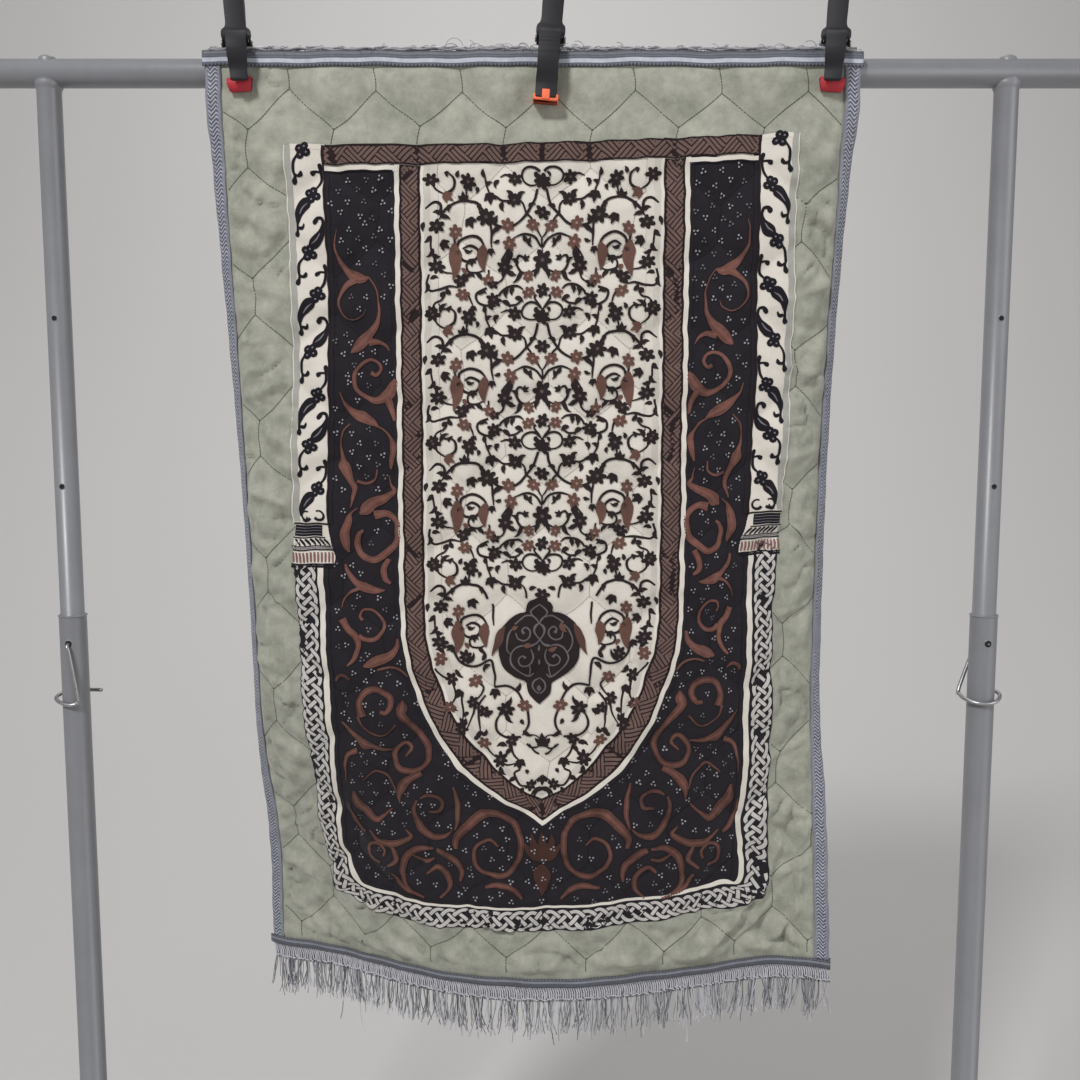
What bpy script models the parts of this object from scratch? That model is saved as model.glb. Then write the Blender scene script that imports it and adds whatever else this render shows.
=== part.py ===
"""A quilted prayer rug that hangs from the crossbar of a tubular stand by three spring clamps.

Metres, +Z up, the rug faces -Y. The origin is on the floor, midway between the two feet.
The cloth is worked out from a place on the flat rug, (across, drop): across runs from the
printed design's centre line towards +X, drop runs down from the rug's top edge.
"""
import math
from collections import namedtuple

import bmesh
import bpy
import numpy as np
from mathutils import Matrix, Vector

# ---------------------------------------------------------------- driving dimensions
FIT = 0.0003                      # gap between pieces that touch
CLOTH_FIT = 0.0004                # further gap where a stiff piece presses on the cloth

# stand
BAR_HEIGHT = 1.650                # axis of the crossbar
BAR_RADIUS = 0.015
BAR_LENGTH = 1.300
UPRIGHT_OFFSET = 0.523            # from the middle of the stand to each upright
UPPER_RADIUS = 0.013
SLEEVE_RADIUS = 0.015
SLEEVE_RIM_BELOW_BAR = 0.597
SLEEVE_BORE_DEPTH = 0.170
UPPER_TUBE_INSERT = 0.150
PIN_HOLE_BELOW_BAR = 0.629
PIN_HOLE_RADIUS = 0.004
SPARE_HOLES_BELOW_BAR = (0.264, 0.450)
SPARE_HOLE_RADIUS = 0.003
SPARE_HOLE_DEPTH = 0.006
HOLE_SIDES = 12
CUT_BEYOND = 0.01                 # how far a cutter reaches past the surface it opens
CUT_THROUGH = 0.03                # half length of a cutter through a tube
SADDLE_REACH = 0.05               # half length of a cutter along a crossing tube
FOOT_LENGTH = 0.500
FOOT_CLEARANCE = 0.004            # under the foot tube, inside its shoes
FOOT_TUBE_INSET = 0.006           # from the shoe's outer end
SHOE_SIZE = (0.040, 0.046, 0.040)
SHOE_BEVEL = 0.003
PLUG_RADIUS = 0.0158
PLUG_LENGTH = 0.006
WELD_CAP_RADIUS = 0.009
WELD_CAP_TOP = 0.0185             # above the crossbar's axis

# lock pins
WIRE_RADIUS = 0.0022
WIRE_CLEAR = 0.0008               # between the wire and its sleeve
RING_BELOW_BAR = 0.696

# rug
RUG_LENGTH = 1.054
EDGE_LEFT = -0.362
EDGE_RIGHT_TOP = 0.342
EDGE_RIGHT_WIDENS = 0.014         # the right margin is cut wider towards the bottom
WIDENING_STARTS = 0.60            # of drop
WIDENING_RUN = 0.45
DESIGN_CENTRE_X = 0.0158          # place of the design's centre line on the stand
RUG_TOP_ABOVE_BAR = 0.0175
FULL_HALF_THICKNESS = 0.0048      # padded cells
SEAM_SHARE = 0.50                 # what the quilting seams leave of it
EDGE_HALF_THICKNESS = 0.0022      # pressed flat under the tapes
PINCH_SHARE = 0.50                # what the clamp pads leave of the thickness
PINCH_RADIUS = 0.026
PINCH_FLAT = 0.8                  # share of that radius that is pinched fully
HEM_FLAT = 0.002                  # inside the trims, before the padding starts to rise
HEM_RISE = 0.018                  # over which the padding rises from the hem
THINNEST = 0.9                    # of the edge's half thickness, under a pad
TAPE_WIDTH = 0.0175
TAPE_THICKNESS = 0.0012
TAPE_GAP = 0.0006
FRINGE_HEADING = 0.018
FRINGE_LENGTH = 0.060
FRINGE_THICKNESS = 0.0022
FRINGE_INSET = 0.002              # from the rug's side edges
FRINGE_STRANDS = 32
FRINGE_CLEAR_OF_BAR = 0.0022
FRINGE_OVER_BAR = (8, -20, -50, -80, -110)   # degrees past the top of the crossbar
RUG_MIDDLE_Y = -(BAR_RADIUS + FIT + FULL_HALF_THICKNESS + CLOTH_FIT)
RUG_TOP_Z = BAR_HEIGHT + RUG_TOP_ABOVE_BAR

# honeycomb quilting
CELL_WIDTH = 0.0928
ZIGZAG_RISE = 0.039
SEAM_UPRIGHT = 0.039
FIRST_PEAK_ACROSS = 0.0062
FIRST_PEAK_DROP = 0.043
PUFF_RUN = 0.020                  # distance from a seam at which a cell is full
HALF_CELL_ROWS = 25               # section lines across the rug, one for each half cell
QUARTER_CELLS = 14                # section lines down the rug, to each side of the centre
FINE_FROM = 9                     # from this line outwards every quarter cell has one
SECTION_CLEAR = 0.006             # from a clamp pad's own section lines to the others

# How the cloth turns away from the viewer, in degrees, at named stations across the rug.
# One row every SECTION_STEP of drop, from the top edge to the bottom edge.
SECTION_STEP = 0.15
HELD_FLAT = 0.02                  # of drop, pressed against the crossbar
HELD_RUN = 0.10                   # over which the turning sets in
STATIONS = {
    "edge_left": -0.362, "hem_left": -0.335, "margin_left": -0.300, "column_left": -0.240,
    "panel_left": -0.120, "centre": 0.0, "panel_right": 0.120, "column_right": 0.240,
    "margin_right": 0.290, "hem_right": 0.320, "edge_right": 0.345,
}
Turn = namedtuple("Turn", STATIONS)
TURNS = (
    Turn(0, 0, 0, 0, 0, 0, 0, 0, 0, 0, 0),
    Turn(34, 14, 4, 1, 0, 0, 0, 2, 6, 24, 52),
    Turn(50, 28, 9, 3, 1, 0, 2, 5, 14, 36, 56),
    Turn(66, 38, 15, 4, 0, 0, 3, 9, 22, 34, 55),
    Turn(66, 42, 22, 6, 0, 0, 4, 13, 22, 30, 55),
    Turn(58, 38, 26, 12, 2, 0, 7, 17, 22, 22, 38),
    Turn(28, 20, 26, 29, 12, 0, 11, 19, 12, -4, -6),
    Turn(34, 14, 14, 30, 20, 0, 14, 17, 4, -12, -16),
)

# clamps: a lever's middle line is a row of stations, each a height along the clamp counted
# from the pivot, a distance from the clamp's own middle plane, and a width (0 at the ears). Its
# jaw, below STRETCH_BELOW, is stretched with the clamp's reach from pivot to pad.
Station = namedtuple("Station", "height offset width")
LEVER = (
    Station(0.098, 0.0315, 0.0170), Station(0.092, 0.0310, 0.0215), Station(0.060, 0.0250, 0.0215),
    Station(0.030, 0.0165, 0.0210), Station(0.014, 0.0122, 0.0215), Station(0.007, 0.0112, 0.0),
    Station(-0.003, 0.0138, 0.0), Station(-0.006, 0.0215, 0.0210), Station(-0.010, 0.0272, 0.0210),
    Station(-0.015, 0.0318, 0.0210), Station(-0.020, 0.0350, 0.0210), Station(-0.026, 0.0362, 0.0210),
    Station(-0.033, 0.0348, 0.0210), Station(-0.040, 0.0298, 0.0205),
)
REAR_TIP = (Station(-0.045, 0.0220, 0.0195), Station(-0.048, 0.0170, 0.0180))
SIDE_TIP = (Station(-0.045, 0.0235, 0.0190), Station(-0.050, 0.0198, 0.0185),
            Station(-0.0588, 0.0178, 0.0178))
MIDDLE_TIP = (Station(-0.045, 0.0240, 0.0215), Station(-0.050, 0.0200, 0.0213),
              Station(-0.0595, 0.0175, 0.0210))
JAW_REACH = 0.052                 # pivot to pad centre, for the tables above
STRETCH_BELOW = -0.02
RED = (0.48, 0.03, 0.05, 1.0)
ORANGE = (0.90, 0.20, 0.07, 1.0)
# Places on the stand; lean_deg tips a clamp sideways and turn_deg turns it about the vertical.
Clamp = namedtuple("Clamp", "name across above_bar lean_deg turn_deg pad_below_bar widen front_tip "
                            "pad_colour")
CLAMPS = (
    Clamp("left", -0.3168, 0.0315, -3.8, 12.3, 0.020, 1.0, SIDE_TIP, RED),
    Clamp("middle", 0.0247, 0.0365, 4.2, 0.0, 0.033, 1.08, MIDDLE_TIP, ORANGE),
    Clamp("right", 0.3350, 0.0315, 3.8, -12.3, 0.020, 1.0, SIDE_TIP, RED),
)
PIVOT_Y = 0.002
PAD_SIZE = (0.027, 0.0066, 0.014)
PAD_AWAY = FULL_HALF_THICKNESS * PINCH_SHARE + FIT + CLOTH_FIT + PAD_SIZE[1] / 2
PAD_CLEAR = 0.0165                # from a pad's middle to the rug's next section line
PAD_ROWS = (0.030, 0.0445, 0.0585)
EAR_RADIUS = 0.0068
EAR_THICKNESS = 0.0024
EAR_ROOT_AT = 0.0125              # from the clamp's middle plane, inside its lever
EAR_ROOT_BELOW = 0.45             # shares of the ear's radius, where it joins the lever
EAR_ROOT_ABOVE = 0.9
INNER_EAR_AT = 0.0110
OUTER_EAR_AT = 0.0138
PIVOT_PIN_RADIUS = 0.0024
PIVOT_PIN_HEAD = (0.0042, 0.0016)
PIVOT_SIDES = 16
LEVER_THICKNESS = 0.005
CLAMP_BEVEL = 0.0012
SPRING_RADIUS = 0.0052
SPRING_WIRE = 0.0008
SPRING_TURNS = 3
SPRING_STEPS = 9                  # points in each turn
SPRING_STARTS_DEG = 60
SPRING_HALF_WIDTH = 0.0065
SPRING_LEG = (0.0028, 0.016)      # outwards and upwards

ROUND_SIDES = 28
SMOOTH_BELOW_DEG = 40


# ---------------------------------------------------------------- scene and materials
def clear_scene():
    for obj in list(bpy.data.objects):
        bpy.data.objects.remove(obj, do_unlink=True)


def new_collection(name):
    collection = bpy.data.collections.new(name)
    bpy.context.scene.collection.children.link(collection)
    return collection


def finish_material(name, colour, roughness, metallic=0.0):
    material = bpy.data.materials.new(name)
    material.use_nodes = True
    shader = material.node_tree.nodes["Principled BSDF"]
    shader.inputs["Base Color"].default_value = colour
    shader.inputs["Roughness"].default_value = roughness
    shader.inputs["Metallic"].default_value = metallic
    return material


def mesh_object(name, bm, material, smooth=False, collection=None):
    """Turn a bmesh into a named object with its own material."""
    mesh = bpy.data.meshes.new(name)
    bm.to_mesh(mesh)
    bm.free()
    if smooth:
        mesh.shade_smooth()
        mesh.set_sharp_from_angle(angle=math.radians(SMOOTH_BELOW_DEG))
    obj = bpy.data.objects.new(name, mesh)
    mesh.materials.append(material)
    (collection or PARTS).objects.link(obj)
    return obj


def face_outwards(bm):
    """Make a closed body's faces point out of it."""
    bmesh.ops.recalc_face_normals(bm, faces=bm.faces)
    if bm.calc_volume(signed=True) < 0:
        bmesh.ops.reverse_faces(bm, faces=bm.faces)


def hide_cutter(obj):
    obj.hide_render = True
    obj.display_type = "WIRE"
    return obj


def combine(obj, other, operation):
    modifier = obj.modifiers.new(f"{operation.lower()} {other.name}", "BOOLEAN")
    modifier.operation = operation
    modifier.object = other
    modifier.solver = "EXACT"
    return obj


# ---------------------------------------------------------------- hard shapes
def rod_between(name, start, end, radius, material, sides=ROUND_SIDES, collection=None):
    """A round rod from one point to another."""
    start, end = Vector(start), Vector(end)
    bm = bmesh.new()
    bmesh.ops.create_cone(bm, cap_ends=True, segments=sides, radius1=radius, radius2=radius,
                          depth=(end - start).length)
    turn = Vector((0, 0, 1)).rotation_difference(end - start).to_matrix().to_4x4()
    bm.transform(Matrix.Translation((start + end) / 2) @ turn)
    return mesh_object(name, bm, material, smooth=True, collection=collection)


def box_at(name, centre, size, material, bevel=0.0, collection=None):
    bm = bmesh.new()
    bmesh.ops.create_cube(bm, size=1.0, matrix=Matrix.Diagonal((*size, 1.0)))
    obj = mesh_object(name, bm, material, collection=collection)
    obj.location = centre
    if bevel:
        modifier = obj.modifiers.new("rounded edges", "BEVEL")
        modifier.width = bevel
        modifier.segments = 1
    return obj


def cut_rod(obj, label, start, end, radius, sides=ROUND_SIDES):
    cutter = rod_between(f"{obj.name}_{label}", start, end, radius, CUTTER_FINISH, sides, CUTTERS)
    return combine(obj, hide_cutter(cutter), "DIFFERENCE")


def wire_through(name, points, radius, material, resolution=2):
    """A bent wire: a smooth curve read at short steps and given a round section."""
    data = bpy.data.curves.new(name, "CURVE")
    data.dimensions = "3D"
    data.bevel_depth = radius
    data.bevel_resolution = resolution
    data.use_fill_caps = True
    spline = data.splines.new("POLY")
    spline.points.add(len(points) - 1)
    for point, place in zip(spline.points, points):
        point.co = (*place, 1.0)
    data.materials.append(material)
    obj = bpy.data.objects.new(name, data)
    PARTS.objects.link(obj)
    return obj


def smooth_route(corners, steps):
    """Points read from a Catmull-Rom curve through the corners, ends held straight."""
    corners = [Vector(c) for c in corners]
    padded = [2 * corners[0] - corners[1], *corners, 2 * corners[-1] - corners[-2]]
    route = []
    for a, b, c, d in zip(padded, padded[1:], padded[2:], padded[3:]):
        for step in range(steps):
            f = step / steps
            route.append(0.5 * ((2 * b) + (c - a) * f + (2 * a - 5 * b + 4 * c - d) * f ** 2
                                + (3 * b - a - 3 * c + d) * f ** 3))
    return route + [corners[-1]]


# ---------------------------------------------------------------- the hanging cloth
def edge_right(drop):
    share = np.clip((drop - WIDENING_STARTS) / WIDENING_RUN, 0, 1)
    return EDGE_RIGHT_TOP + EDGE_RIGHT_WIDENS * share


def turn_angle(across, drop):
    """The cloth's turn in radians: straight between stations, a cubic between sections."""
    place = np.clip(drop / SECTION_STEP, 0, len(TURNS) - 1.0001)
    section = np.floor(place).astype(int)
    f = place - section
    stations = list(STATIONS.values())
    rows = np.stack([np.interp(across, stations, row) for row in TURNS])
    weights = (-f / 2 + f ** 2 - f ** 3 / 2, 1 - 2.5 * f ** 2 + 1.5 * f ** 3,
               f / 2 + 2 * f ** 2 - 1.5 * f ** 3, (f ** 3 - f ** 2) / 2)
    angle = np.zeros_like(across)
    for k, weight in enumerate(weights):
        index = np.clip(section + k - 1, 0, len(TURNS) - 1)
        angle += weight * np.take_along_axis(rows, index[None], 0)[0]
    return np.radians(angle * smooth_step((drop - HELD_FLAT) / HELD_RUN))


def middle_surface(across, drop):
    """Where the middle of the cloth hangs: the turn angle summed outwards from the centre."""
    steps = 24
    x = np.zeros_like(across)
    y = np.zeros_like(across)
    for k in range(steps):
        angle = turn_angle(across * (k + 0.5) / steps, drop)
        x += np.cos(angle) * across / steps
        y += np.sin(angle) * np.abs(across) / steps
    return np.stack([x + DESIGN_CENTRE_X, y + RUG_MIDDLE_Y, RUG_TOP_Z - drop], axis=-1)


def cloth_points(across, drop, lift=0.0):
    """Points on the hanging cloth, lifted off its middle towards the viewer."""
    across, drop = np.broadcast_arrays(np.asarray(across, float), np.asarray(drop, float))
    across, drop = across.copy(), drop.copy()
    step = 0.0005
    along = middle_surface(across, drop + step) - middle_surface(across, drop - step)
    aside = middle_surface(across + step, drop) - middle_surface(across - step, drop)
    normal = np.cross(along, aside)
    normal /= np.linalg.norm(normal, axis=-1, keepdims=True)
    return middle_surface(across, drop) + normal * np.asarray(lift)[..., None]


def seam_distance(across, drop):
    """Distance from a place on the flat rug to the nearest quilting seam."""
    half = CELL_WIDTH / 2
    slope = math.cos(math.atan2(ZIGZAG_RISE, half))
    row_step = ZIGZAG_RISE + SEAM_UPRIGHT
    phase = np.abs((across - FIRST_PEAK_ACROSS + CELL_WIDTH * 100) / half % 2 - 1)
    nearest = np.full_like(across, 1.0)
    for row in range(-1, math.ceil(RUG_LENGTH / row_step) + 1):
        rise = 1 - phase if row % 2 == 0 else phase
        zigzag = FIRST_PEAK_DROP + row * row_step + ZIGZAG_RISE * rise
        nearest = np.minimum(nearest, np.abs(drop - zigzag) * slope)
        upright_top = FIRST_PEAK_DROP + row * row_step + ZIGZAG_RISE
        sideways = (1 - rise) * half
        beyond = np.maximum(np.maximum(upright_top - drop, drop - upright_top - SEAM_UPRIGHT), 0)
        nearest = np.minimum(nearest, np.hypot(sideways, beyond))
    return nearest


def smooth_step(value):
    value = np.clip(value, 0, 1)
    return value * value * (3 - 2 * value)


def half_thickness(across, drop):
    """Half the rug's thickness: full in the cells, less at seams, edges and clamp pads."""
    puff = SEAM_SHARE + (1 - SEAM_SHARE) * smooth_step(seam_distance(across, drop) / PUFF_RUN)
    inset = np.minimum(np.minimum(across - EDGE_LEFT, edge_right(drop) - across),
                       np.minimum(drop, RUG_LENGTH - drop))
    body = smooth_step((inset - TAPE_WIDTH - HEM_FLAT) / HEM_RISE)
    half = EDGE_HALF_THICKNESS + (FULL_HALF_THICKNESS - EDGE_HALF_THICKNESS) * body * puff
    for clamp in CLAMPS:
        pad_drop = RUG_TOP_ABOVE_BAR + clamp.pad_below_bar
        away = np.hypot(across - pad_across(clamp), drop - pad_drop)
        half *= 1 - (1 - PINCH_SHARE) * (1 - smooth_step(away / PINCH_RADIUS - PINCH_FLAT))
    return np.maximum(half, EDGE_HALF_THICKNESS * THINNEST)


def split_falling(bm):
    """Split every four-sided face along its diagonal that falls to the right, so that layers
    one over the other bend alike.
    """
    for method, first_falls in (("FIXED", True), ("ALTERNATE", False)):
        chosen = []
        for face in bm.faces:
            if len(face.verts) == 4:
                diagonal = face.verts[2].co - face.verts[0].co
                if (diagonal.x * diagonal.z < 0) == first_falls:
                    chosen.append(face)
        bmesh.ops.triangulate(bm, faces=chosen, quad_method=method)


def lay_grid(name, places, material, thickness, shares=None, drop_face=None):
    """A sheet: a grid laid on given points, then thickened evenly about them by Solidify."""
    rows, columns = places.shape[:2]
    bm = bmesh.new()
    bmesh.ops.create_grid(bm, x_segments=columns - 1, y_segments=rows - 1, size=1.0)
    layer = bm.verts.layers.deform.verify()

    def grid_place(vertex):
        return (round((1 - vertex.co.y) / 2 * (rows - 1)),
                round((vertex.co.x + 1) / 2 * (columns - 1)))

    if drop_face:
        lost = [face for face in bm.faces if drop_face(min(map(grid_place, face.verts)))]
        bmesh.ops.delete(bm, geom=lost, context="FACES")
    for vertex in bm.verts:
        row, column = grid_place(vertex)
        vertex.co = places[row, column]
        vertex[layer][0] = 1.0 if shares is None else float(shares[row, column])
    split_falling(bm)
    obj = mesh_object(name, bm, material)
    obj.vertex_groups.new(name="padding")
    modifier = obj.modifiers.new("thickness", "SOLIDIFY")
    modifier.thickness = thickness
    modifier.offset = 0.0
    modifier.vertex_group = "padding"
    return obj


def rug_rows():
    """Drops of the rug's sections: the band's edges, the clamp pads' and every half cell's."""
    fold = TAPE_THICKNESS + TAPE_GAP
    half_cells = FIRST_PEAK_DROP + SEAM_UPRIGHT * (1 + np.arange(HALF_CELL_ROWS))
    return np.array([fold, TAPE_WIDTH, *PAD_ROWS, *half_cells, RUG_LENGTH - TAPE_WIDTH,
                     RUG_LENGTH - fold])


def rug_columns(drop):
    """Places across the rug, from edge to edge, at each drop."""
    fold = TAPE_THICKNESS + TAPE_GAP
    number = np.arange(-QUARTER_CELLS, QUARTER_CELLS)
    number = number[(np.abs(number) >= FINE_FROM) | (number % 2 == 0)]
    middle = FIRST_PEAK_ACROSS + number * CELL_WIDTH / 4
    beside_pads = [pad_across(clamp) + side * PAD_CLEAR for clamp in CLAMPS for side in (-1, 1)]
    clear = np.min(np.abs(middle[:, None] - np.array(beside_pads)), axis=1) > SECTION_CLEAR
    middle = np.sort([*middle[clear], *beside_pads[:-1]])
    left = EDGE_LEFT + 0 * drop
    right = edge_right(drop)
    return [left + fold, left + TAPE_WIDTH, *[place + 0 * drop for place in middle],
            right - TAPE_WIDTH, right - fold]


def make_quilt():
    drops = rug_rows()
    across = np.stack(rug_columns(drops), axis=1)
    drop = np.repeat(drops[:, None], across.shape[1], axis=1)
    shares = half_thickness(across, drop) / FULL_HALF_THICKNESS
    plush = finish_material("plush", (0.35, 0.38, 0.29, 1.0), 0.9)
    lay_grid("rug_quilt", cloth_points(across, drop), plush, 2 * FULL_HALF_THICKNESS, shares)


def wrap_profile():
    """A folded binding: inset from the edge and lift off the cloth's middle, front to back."""
    lift = EDGE_HALF_THICKNESS + TAPE_GAP + TAPE_THICKNESS / 2
    fold = TAPE_THICKNESS / 2
    return (TAPE_WIDTH, lift), (fold, lift), (fold, -lift), (TAPE_WIDTH, -lift)


def make_side_tapes():
    tape = finish_material("woven tape", (0.24, 0.25, 0.31, 1.0), 0.6)
    drops = rug_rows()
    drops[0] = TAPE_WIDTH + FIT + TAPE_THICKNESS
    drops[-1] = RUG_LENGTH - drops[0]
    drops = np.delete(drops, (1, len(drops) - 2))
    for side, sign in (("left", 1), ("right", -1)):
        edge = EDGE_LEFT + 0 * drops if sign > 0 else edge_right(drops)
        strips = [cloth_points(edge + sign * inset, drops, lift + 0 * drops)
                  for inset, lift in wrap_profile()]
        lay_grid(f"side_tape_{side}", np.stack(strips, axis=1), tape, TAPE_THICKNESS)


def make_end_bands():
    band = finish_material("striped satin band", (0.30, 0.31, 0.34, 1.0), 0.35)
    for end, edge, sign in (("top", 0.0, 1), ("bottom", RUG_LENGTH, -1)):
        drops = np.array([edge + sign * inset for inset, _ in wrap_profile()])
        lifts = np.array([lift for _, lift in wrap_profile()])
        across = np.stack(rug_columns(drops * 0 + edge), axis=1)
        across[:, 0] = EDGE_LEFT
        across[:, -1] = edge_right(edge)
        drop = np.repeat(drops[:, None], across.shape[1], axis=1)
        lift = np.repeat(lifts[:, None], across.shape[1], axis=1)
        lay_grid(f"end_band_{end}", cloth_points(across, drop, lift), band, TAPE_THICKNESS)


def comb_columns(edge):
    return np.linspace(EDGE_LEFT + FRINGE_INSET, edge_right(edge) - FRINGE_INSET,
                       2 * FRINGE_STRANDS)


def between_strands(corner):
    """True for the grid cells that are left open between a comb's strands."""
    row, column = corner
    return row >= 1 and column % 2 == 1


def make_bottom_fringe(yarn):
    drops = RUG_LENGTH + FIT + np.array([0.0, FRINGE_HEADING, FRINGE_LENGTH])
    across, drop = np.meshgrid(comb_columns(RUG_LENGTH), drops)
    lay_grid("fringe_bottom", cloth_points(across, drop), yarn, FRINGE_THICKNESS,
             drop_face=between_strands)


def make_top_fringe(yarn):
    """The top fringe folds back over the crossbar and hangs down behind it."""
    radius = BAR_RADIUS + FRINGE_CLEAR_OF_BAR + FRINGE_THICKNESS / 2
    arc = [(-radius * math.sin(a), radius * math.cos(a)) for a in np.radians(FRINGE_OVER_BAR)]
    lies_at = RUG_TOP_ABOVE_BAR + FIT + FRINGE_THICKNESS / 2
    route = [(RUG_MIDDLE_Y, lies_at), (RUG_MIDDLE_Y / 2, lies_at), *arc]
    across = comb_columns(0.0)
    places = np.array([[(place + DESIGN_CENTRE_X, y, BAR_HEIGHT + z) for place in across]
                       for y, z in route])
    lay_grid("fringe_top", places, yarn, FRINGE_THICKNESS,
             drop_face=lambda corner: corner[0] >= 2 and corner[1] % 2 == 1)


def make_rug():
    make_quilt()
    make_side_tapes()
    make_end_bands()
    yarn = finish_material("fringe yarn", (0.58, 0.58, 0.61, 1.0), 0.7)
    make_bottom_fringe(yarn)
    make_top_fringe(yarn)


# ---------------------------------------------------------------- the stand
def make_crossbar(paint):
    half = BAR_LENGTH / 2
    rod_between("crossbar", (-half, 0, BAR_HEIGHT), (half, 0, BAR_HEIGHT), BAR_RADIUS, paint)
    plastic = finish_material("plug plastic", (0.02, 0.02, 0.02, 1.0), 0.5)
    for side, sign in (("left", -1), ("right", 1)):
        inner = sign * (half + FIT)
        outer = sign * (half + PLUG_LENGTH)
        rod_between(f"crossbar_plug_{side}", (inner, 0, BAR_HEIGHT), (outer, 0, BAR_HEIGHT),
                    PLUG_RADIUS, plastic)


def make_upright(side, x, paint):
    rim = BAR_HEIGHT - SLEEVE_RIM_BELOW_BAR
    foot_axis = FOOT_CLEARANCE + SLEEVE_RADIUS
    hole = BAR_HEIGHT - PIN_HOLE_BELOW_BAR
    bar_ends = ((x - SADDLE_REACH, 0, BAR_HEIGHT), (x + SADDLE_REACH, 0, BAR_HEIGHT))
    through = ((x, -CUT_THROUGH, hole), (x, CUT_THROUGH, hole))

    upper = rod_between(f"upper_tube_{side}", (x, 0, rim - UPPER_TUBE_INSERT), (x, 0, BAR_HEIGHT),
                        UPPER_RADIUS, paint)
    cut_rod(upper, "saddle", *bar_ends, BAR_RADIUS + FIT)
    cut_rod(upper, "pin_hole", *through, PIN_HOLE_RADIUS, HOLE_SIDES)
    for number, below in enumerate(SPARE_HOLES_BELOW_BAR):
        z = BAR_HEIGHT - below
        cut_rod(upper, f"spare_hole_{number}", (x, -CUT_THROUGH, z),
                (x, SPARE_HOLE_DEPTH - UPPER_RADIUS, z), SPARE_HOLE_RADIUS, HOLE_SIDES)

    cap = rod_between(f"weld_cap_{side}", (x, 0, BAR_HEIGHT), (x, 0, BAR_HEIGHT + WELD_CAP_TOP),
                      WELD_CAP_RADIUS, paint)
    cut_rod(cap, "saddle", *bar_ends, BAR_RADIUS + FIT)

    lower = rod_between(f"lower_tube_{side}", (x, 0, foot_axis), (x, 0, rim), SLEEVE_RADIUS, paint)
    cut_rod(lower, "bore", (x, 0, rim - SLEEVE_BORE_DEPTH), (x, 0, rim + CUT_BEYOND),
            UPPER_RADIUS + FIT)
    cut_rod(lower, "foot_saddle", (x, -SADDLE_REACH, foot_axis), (x, SADDLE_REACH, foot_axis),
            SLEEVE_RADIUS + FIT)
    cut_rod(lower, "pin_hole", *through, PIN_HOLE_RADIUS, HOLE_SIDES)


def make_foot(side, x, paint, rubber):
    axis = FOOT_CLEARANCE + SLEEVE_RADIUS
    half = FOOT_LENGTH / 2
    tube_half = half - FOOT_TUBE_INSET
    rod_between(f"foot_tube_{side}", (x, -tube_half, axis), (x, tube_half, axis), SLEEVE_RADIUS,
                paint)
    for end, sign in (("front", -1), ("back", 1)):
        middle = sign * (half - SHOE_SIZE[1] / 2)
        shoe = box_at(f"foot_shoe_{side}_{end}", (x, middle, SHOE_SIZE[2] / 2), SHOE_SIZE, rubber,
                      bevel=SHOE_BEVEL)
        mouth = half - SHOE_SIZE[1]
        cut_rod(shoe, "bore", (x, sign * (mouth - CUT_BEYOND), axis),
                (x, sign * (tube_half + FIT), axis), SLEEVE_RADIUS + FIT)


def lock_pin_corners(x, side):
    """The wire's bends: through the hole, down one side of the sleeve and round it."""
    hole = BAR_HEIGHT - PIN_HOLE_BELOW_BAR
    ring = BAR_HEIGHT - RING_BELOW_BAR
    clear = SLEEVE_RADIUS + WIRE_RADIUS + WIRE_CLEAR
    if side == "left":
        bends = ((0.0, clear + 0.001, hole), (0.0, 0.008, hole), (0.0, -0.012, hole),
                 (0.0, -clear - 0.001, hole - 0.003), (0.002, -clear - 0.001, hole - 0.010),
                 (0.009, -clear, ring + 0.006), (0.0078, -clear, ring - 0.001),
                 (0.0, -clear - 0.0008, ring - 0.003), (-0.013, -0.0140, ring - 0.001),
                 (-0.0215, -0.004, ring + 0.002), (-0.0185, 0.009, ring + 0.005),
                 (-0.008, clear - 0.0005, ring + 0.006), (0.008, clear + 0.0005, ring + 0.006),
                 (0.0235, 0.017, ring + 0.006))
    else:
        bends = ((0.0, -clear + 0.001, hole), (0.0, -0.006, hole), (0.0, 0.012, hole),
                 (0.0, clear + 0.001, hole - 0.003), (-0.002, clear + 0.001, hole - 0.010),
                 (-0.0205, 0.012, ring + 0.010), (-0.0225, 0.004, ring + 0.004),
                 (-0.0195, -0.008, ring + 0.001), (-0.010, -0.0172, ring - 0.001),
                 (0.002, -clear - 0.001, ring - 0.001), (0.013, -0.0150, ring + 0.001),
                 (0.0205, -0.004, ring + 0.005), (0.0185, 0.007, ring + 0.008),
                 (0.012, 0.0155, ring + 0.009))
    return [(x + a, b, c) for a, b, c in bends]


def make_stand():
    paint = finish_material("grey paint", (0.21, 0.22, 0.23, 1.0), 0.35)
    rubber = finish_material("foot rubber", (0.03, 0.03, 0.03, 1.0), 0.8)
    steel = finish_material("zinc plated wire", (0.55, 0.56, 0.57, 1.0), 0.35, 1.0)
    make_crossbar(paint)
    for side, sign in (("left", -1), ("right", 1)):
        x = sign * UPRIGHT_OFFSET
        make_upright(side, x, paint)
        make_foot(side, x, paint, rubber)
        wire_through(f"lock_pin_{side}", smooth_route(lock_pin_corners(x, side), 2), WIRE_RADIUS,
                     steel)


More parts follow.
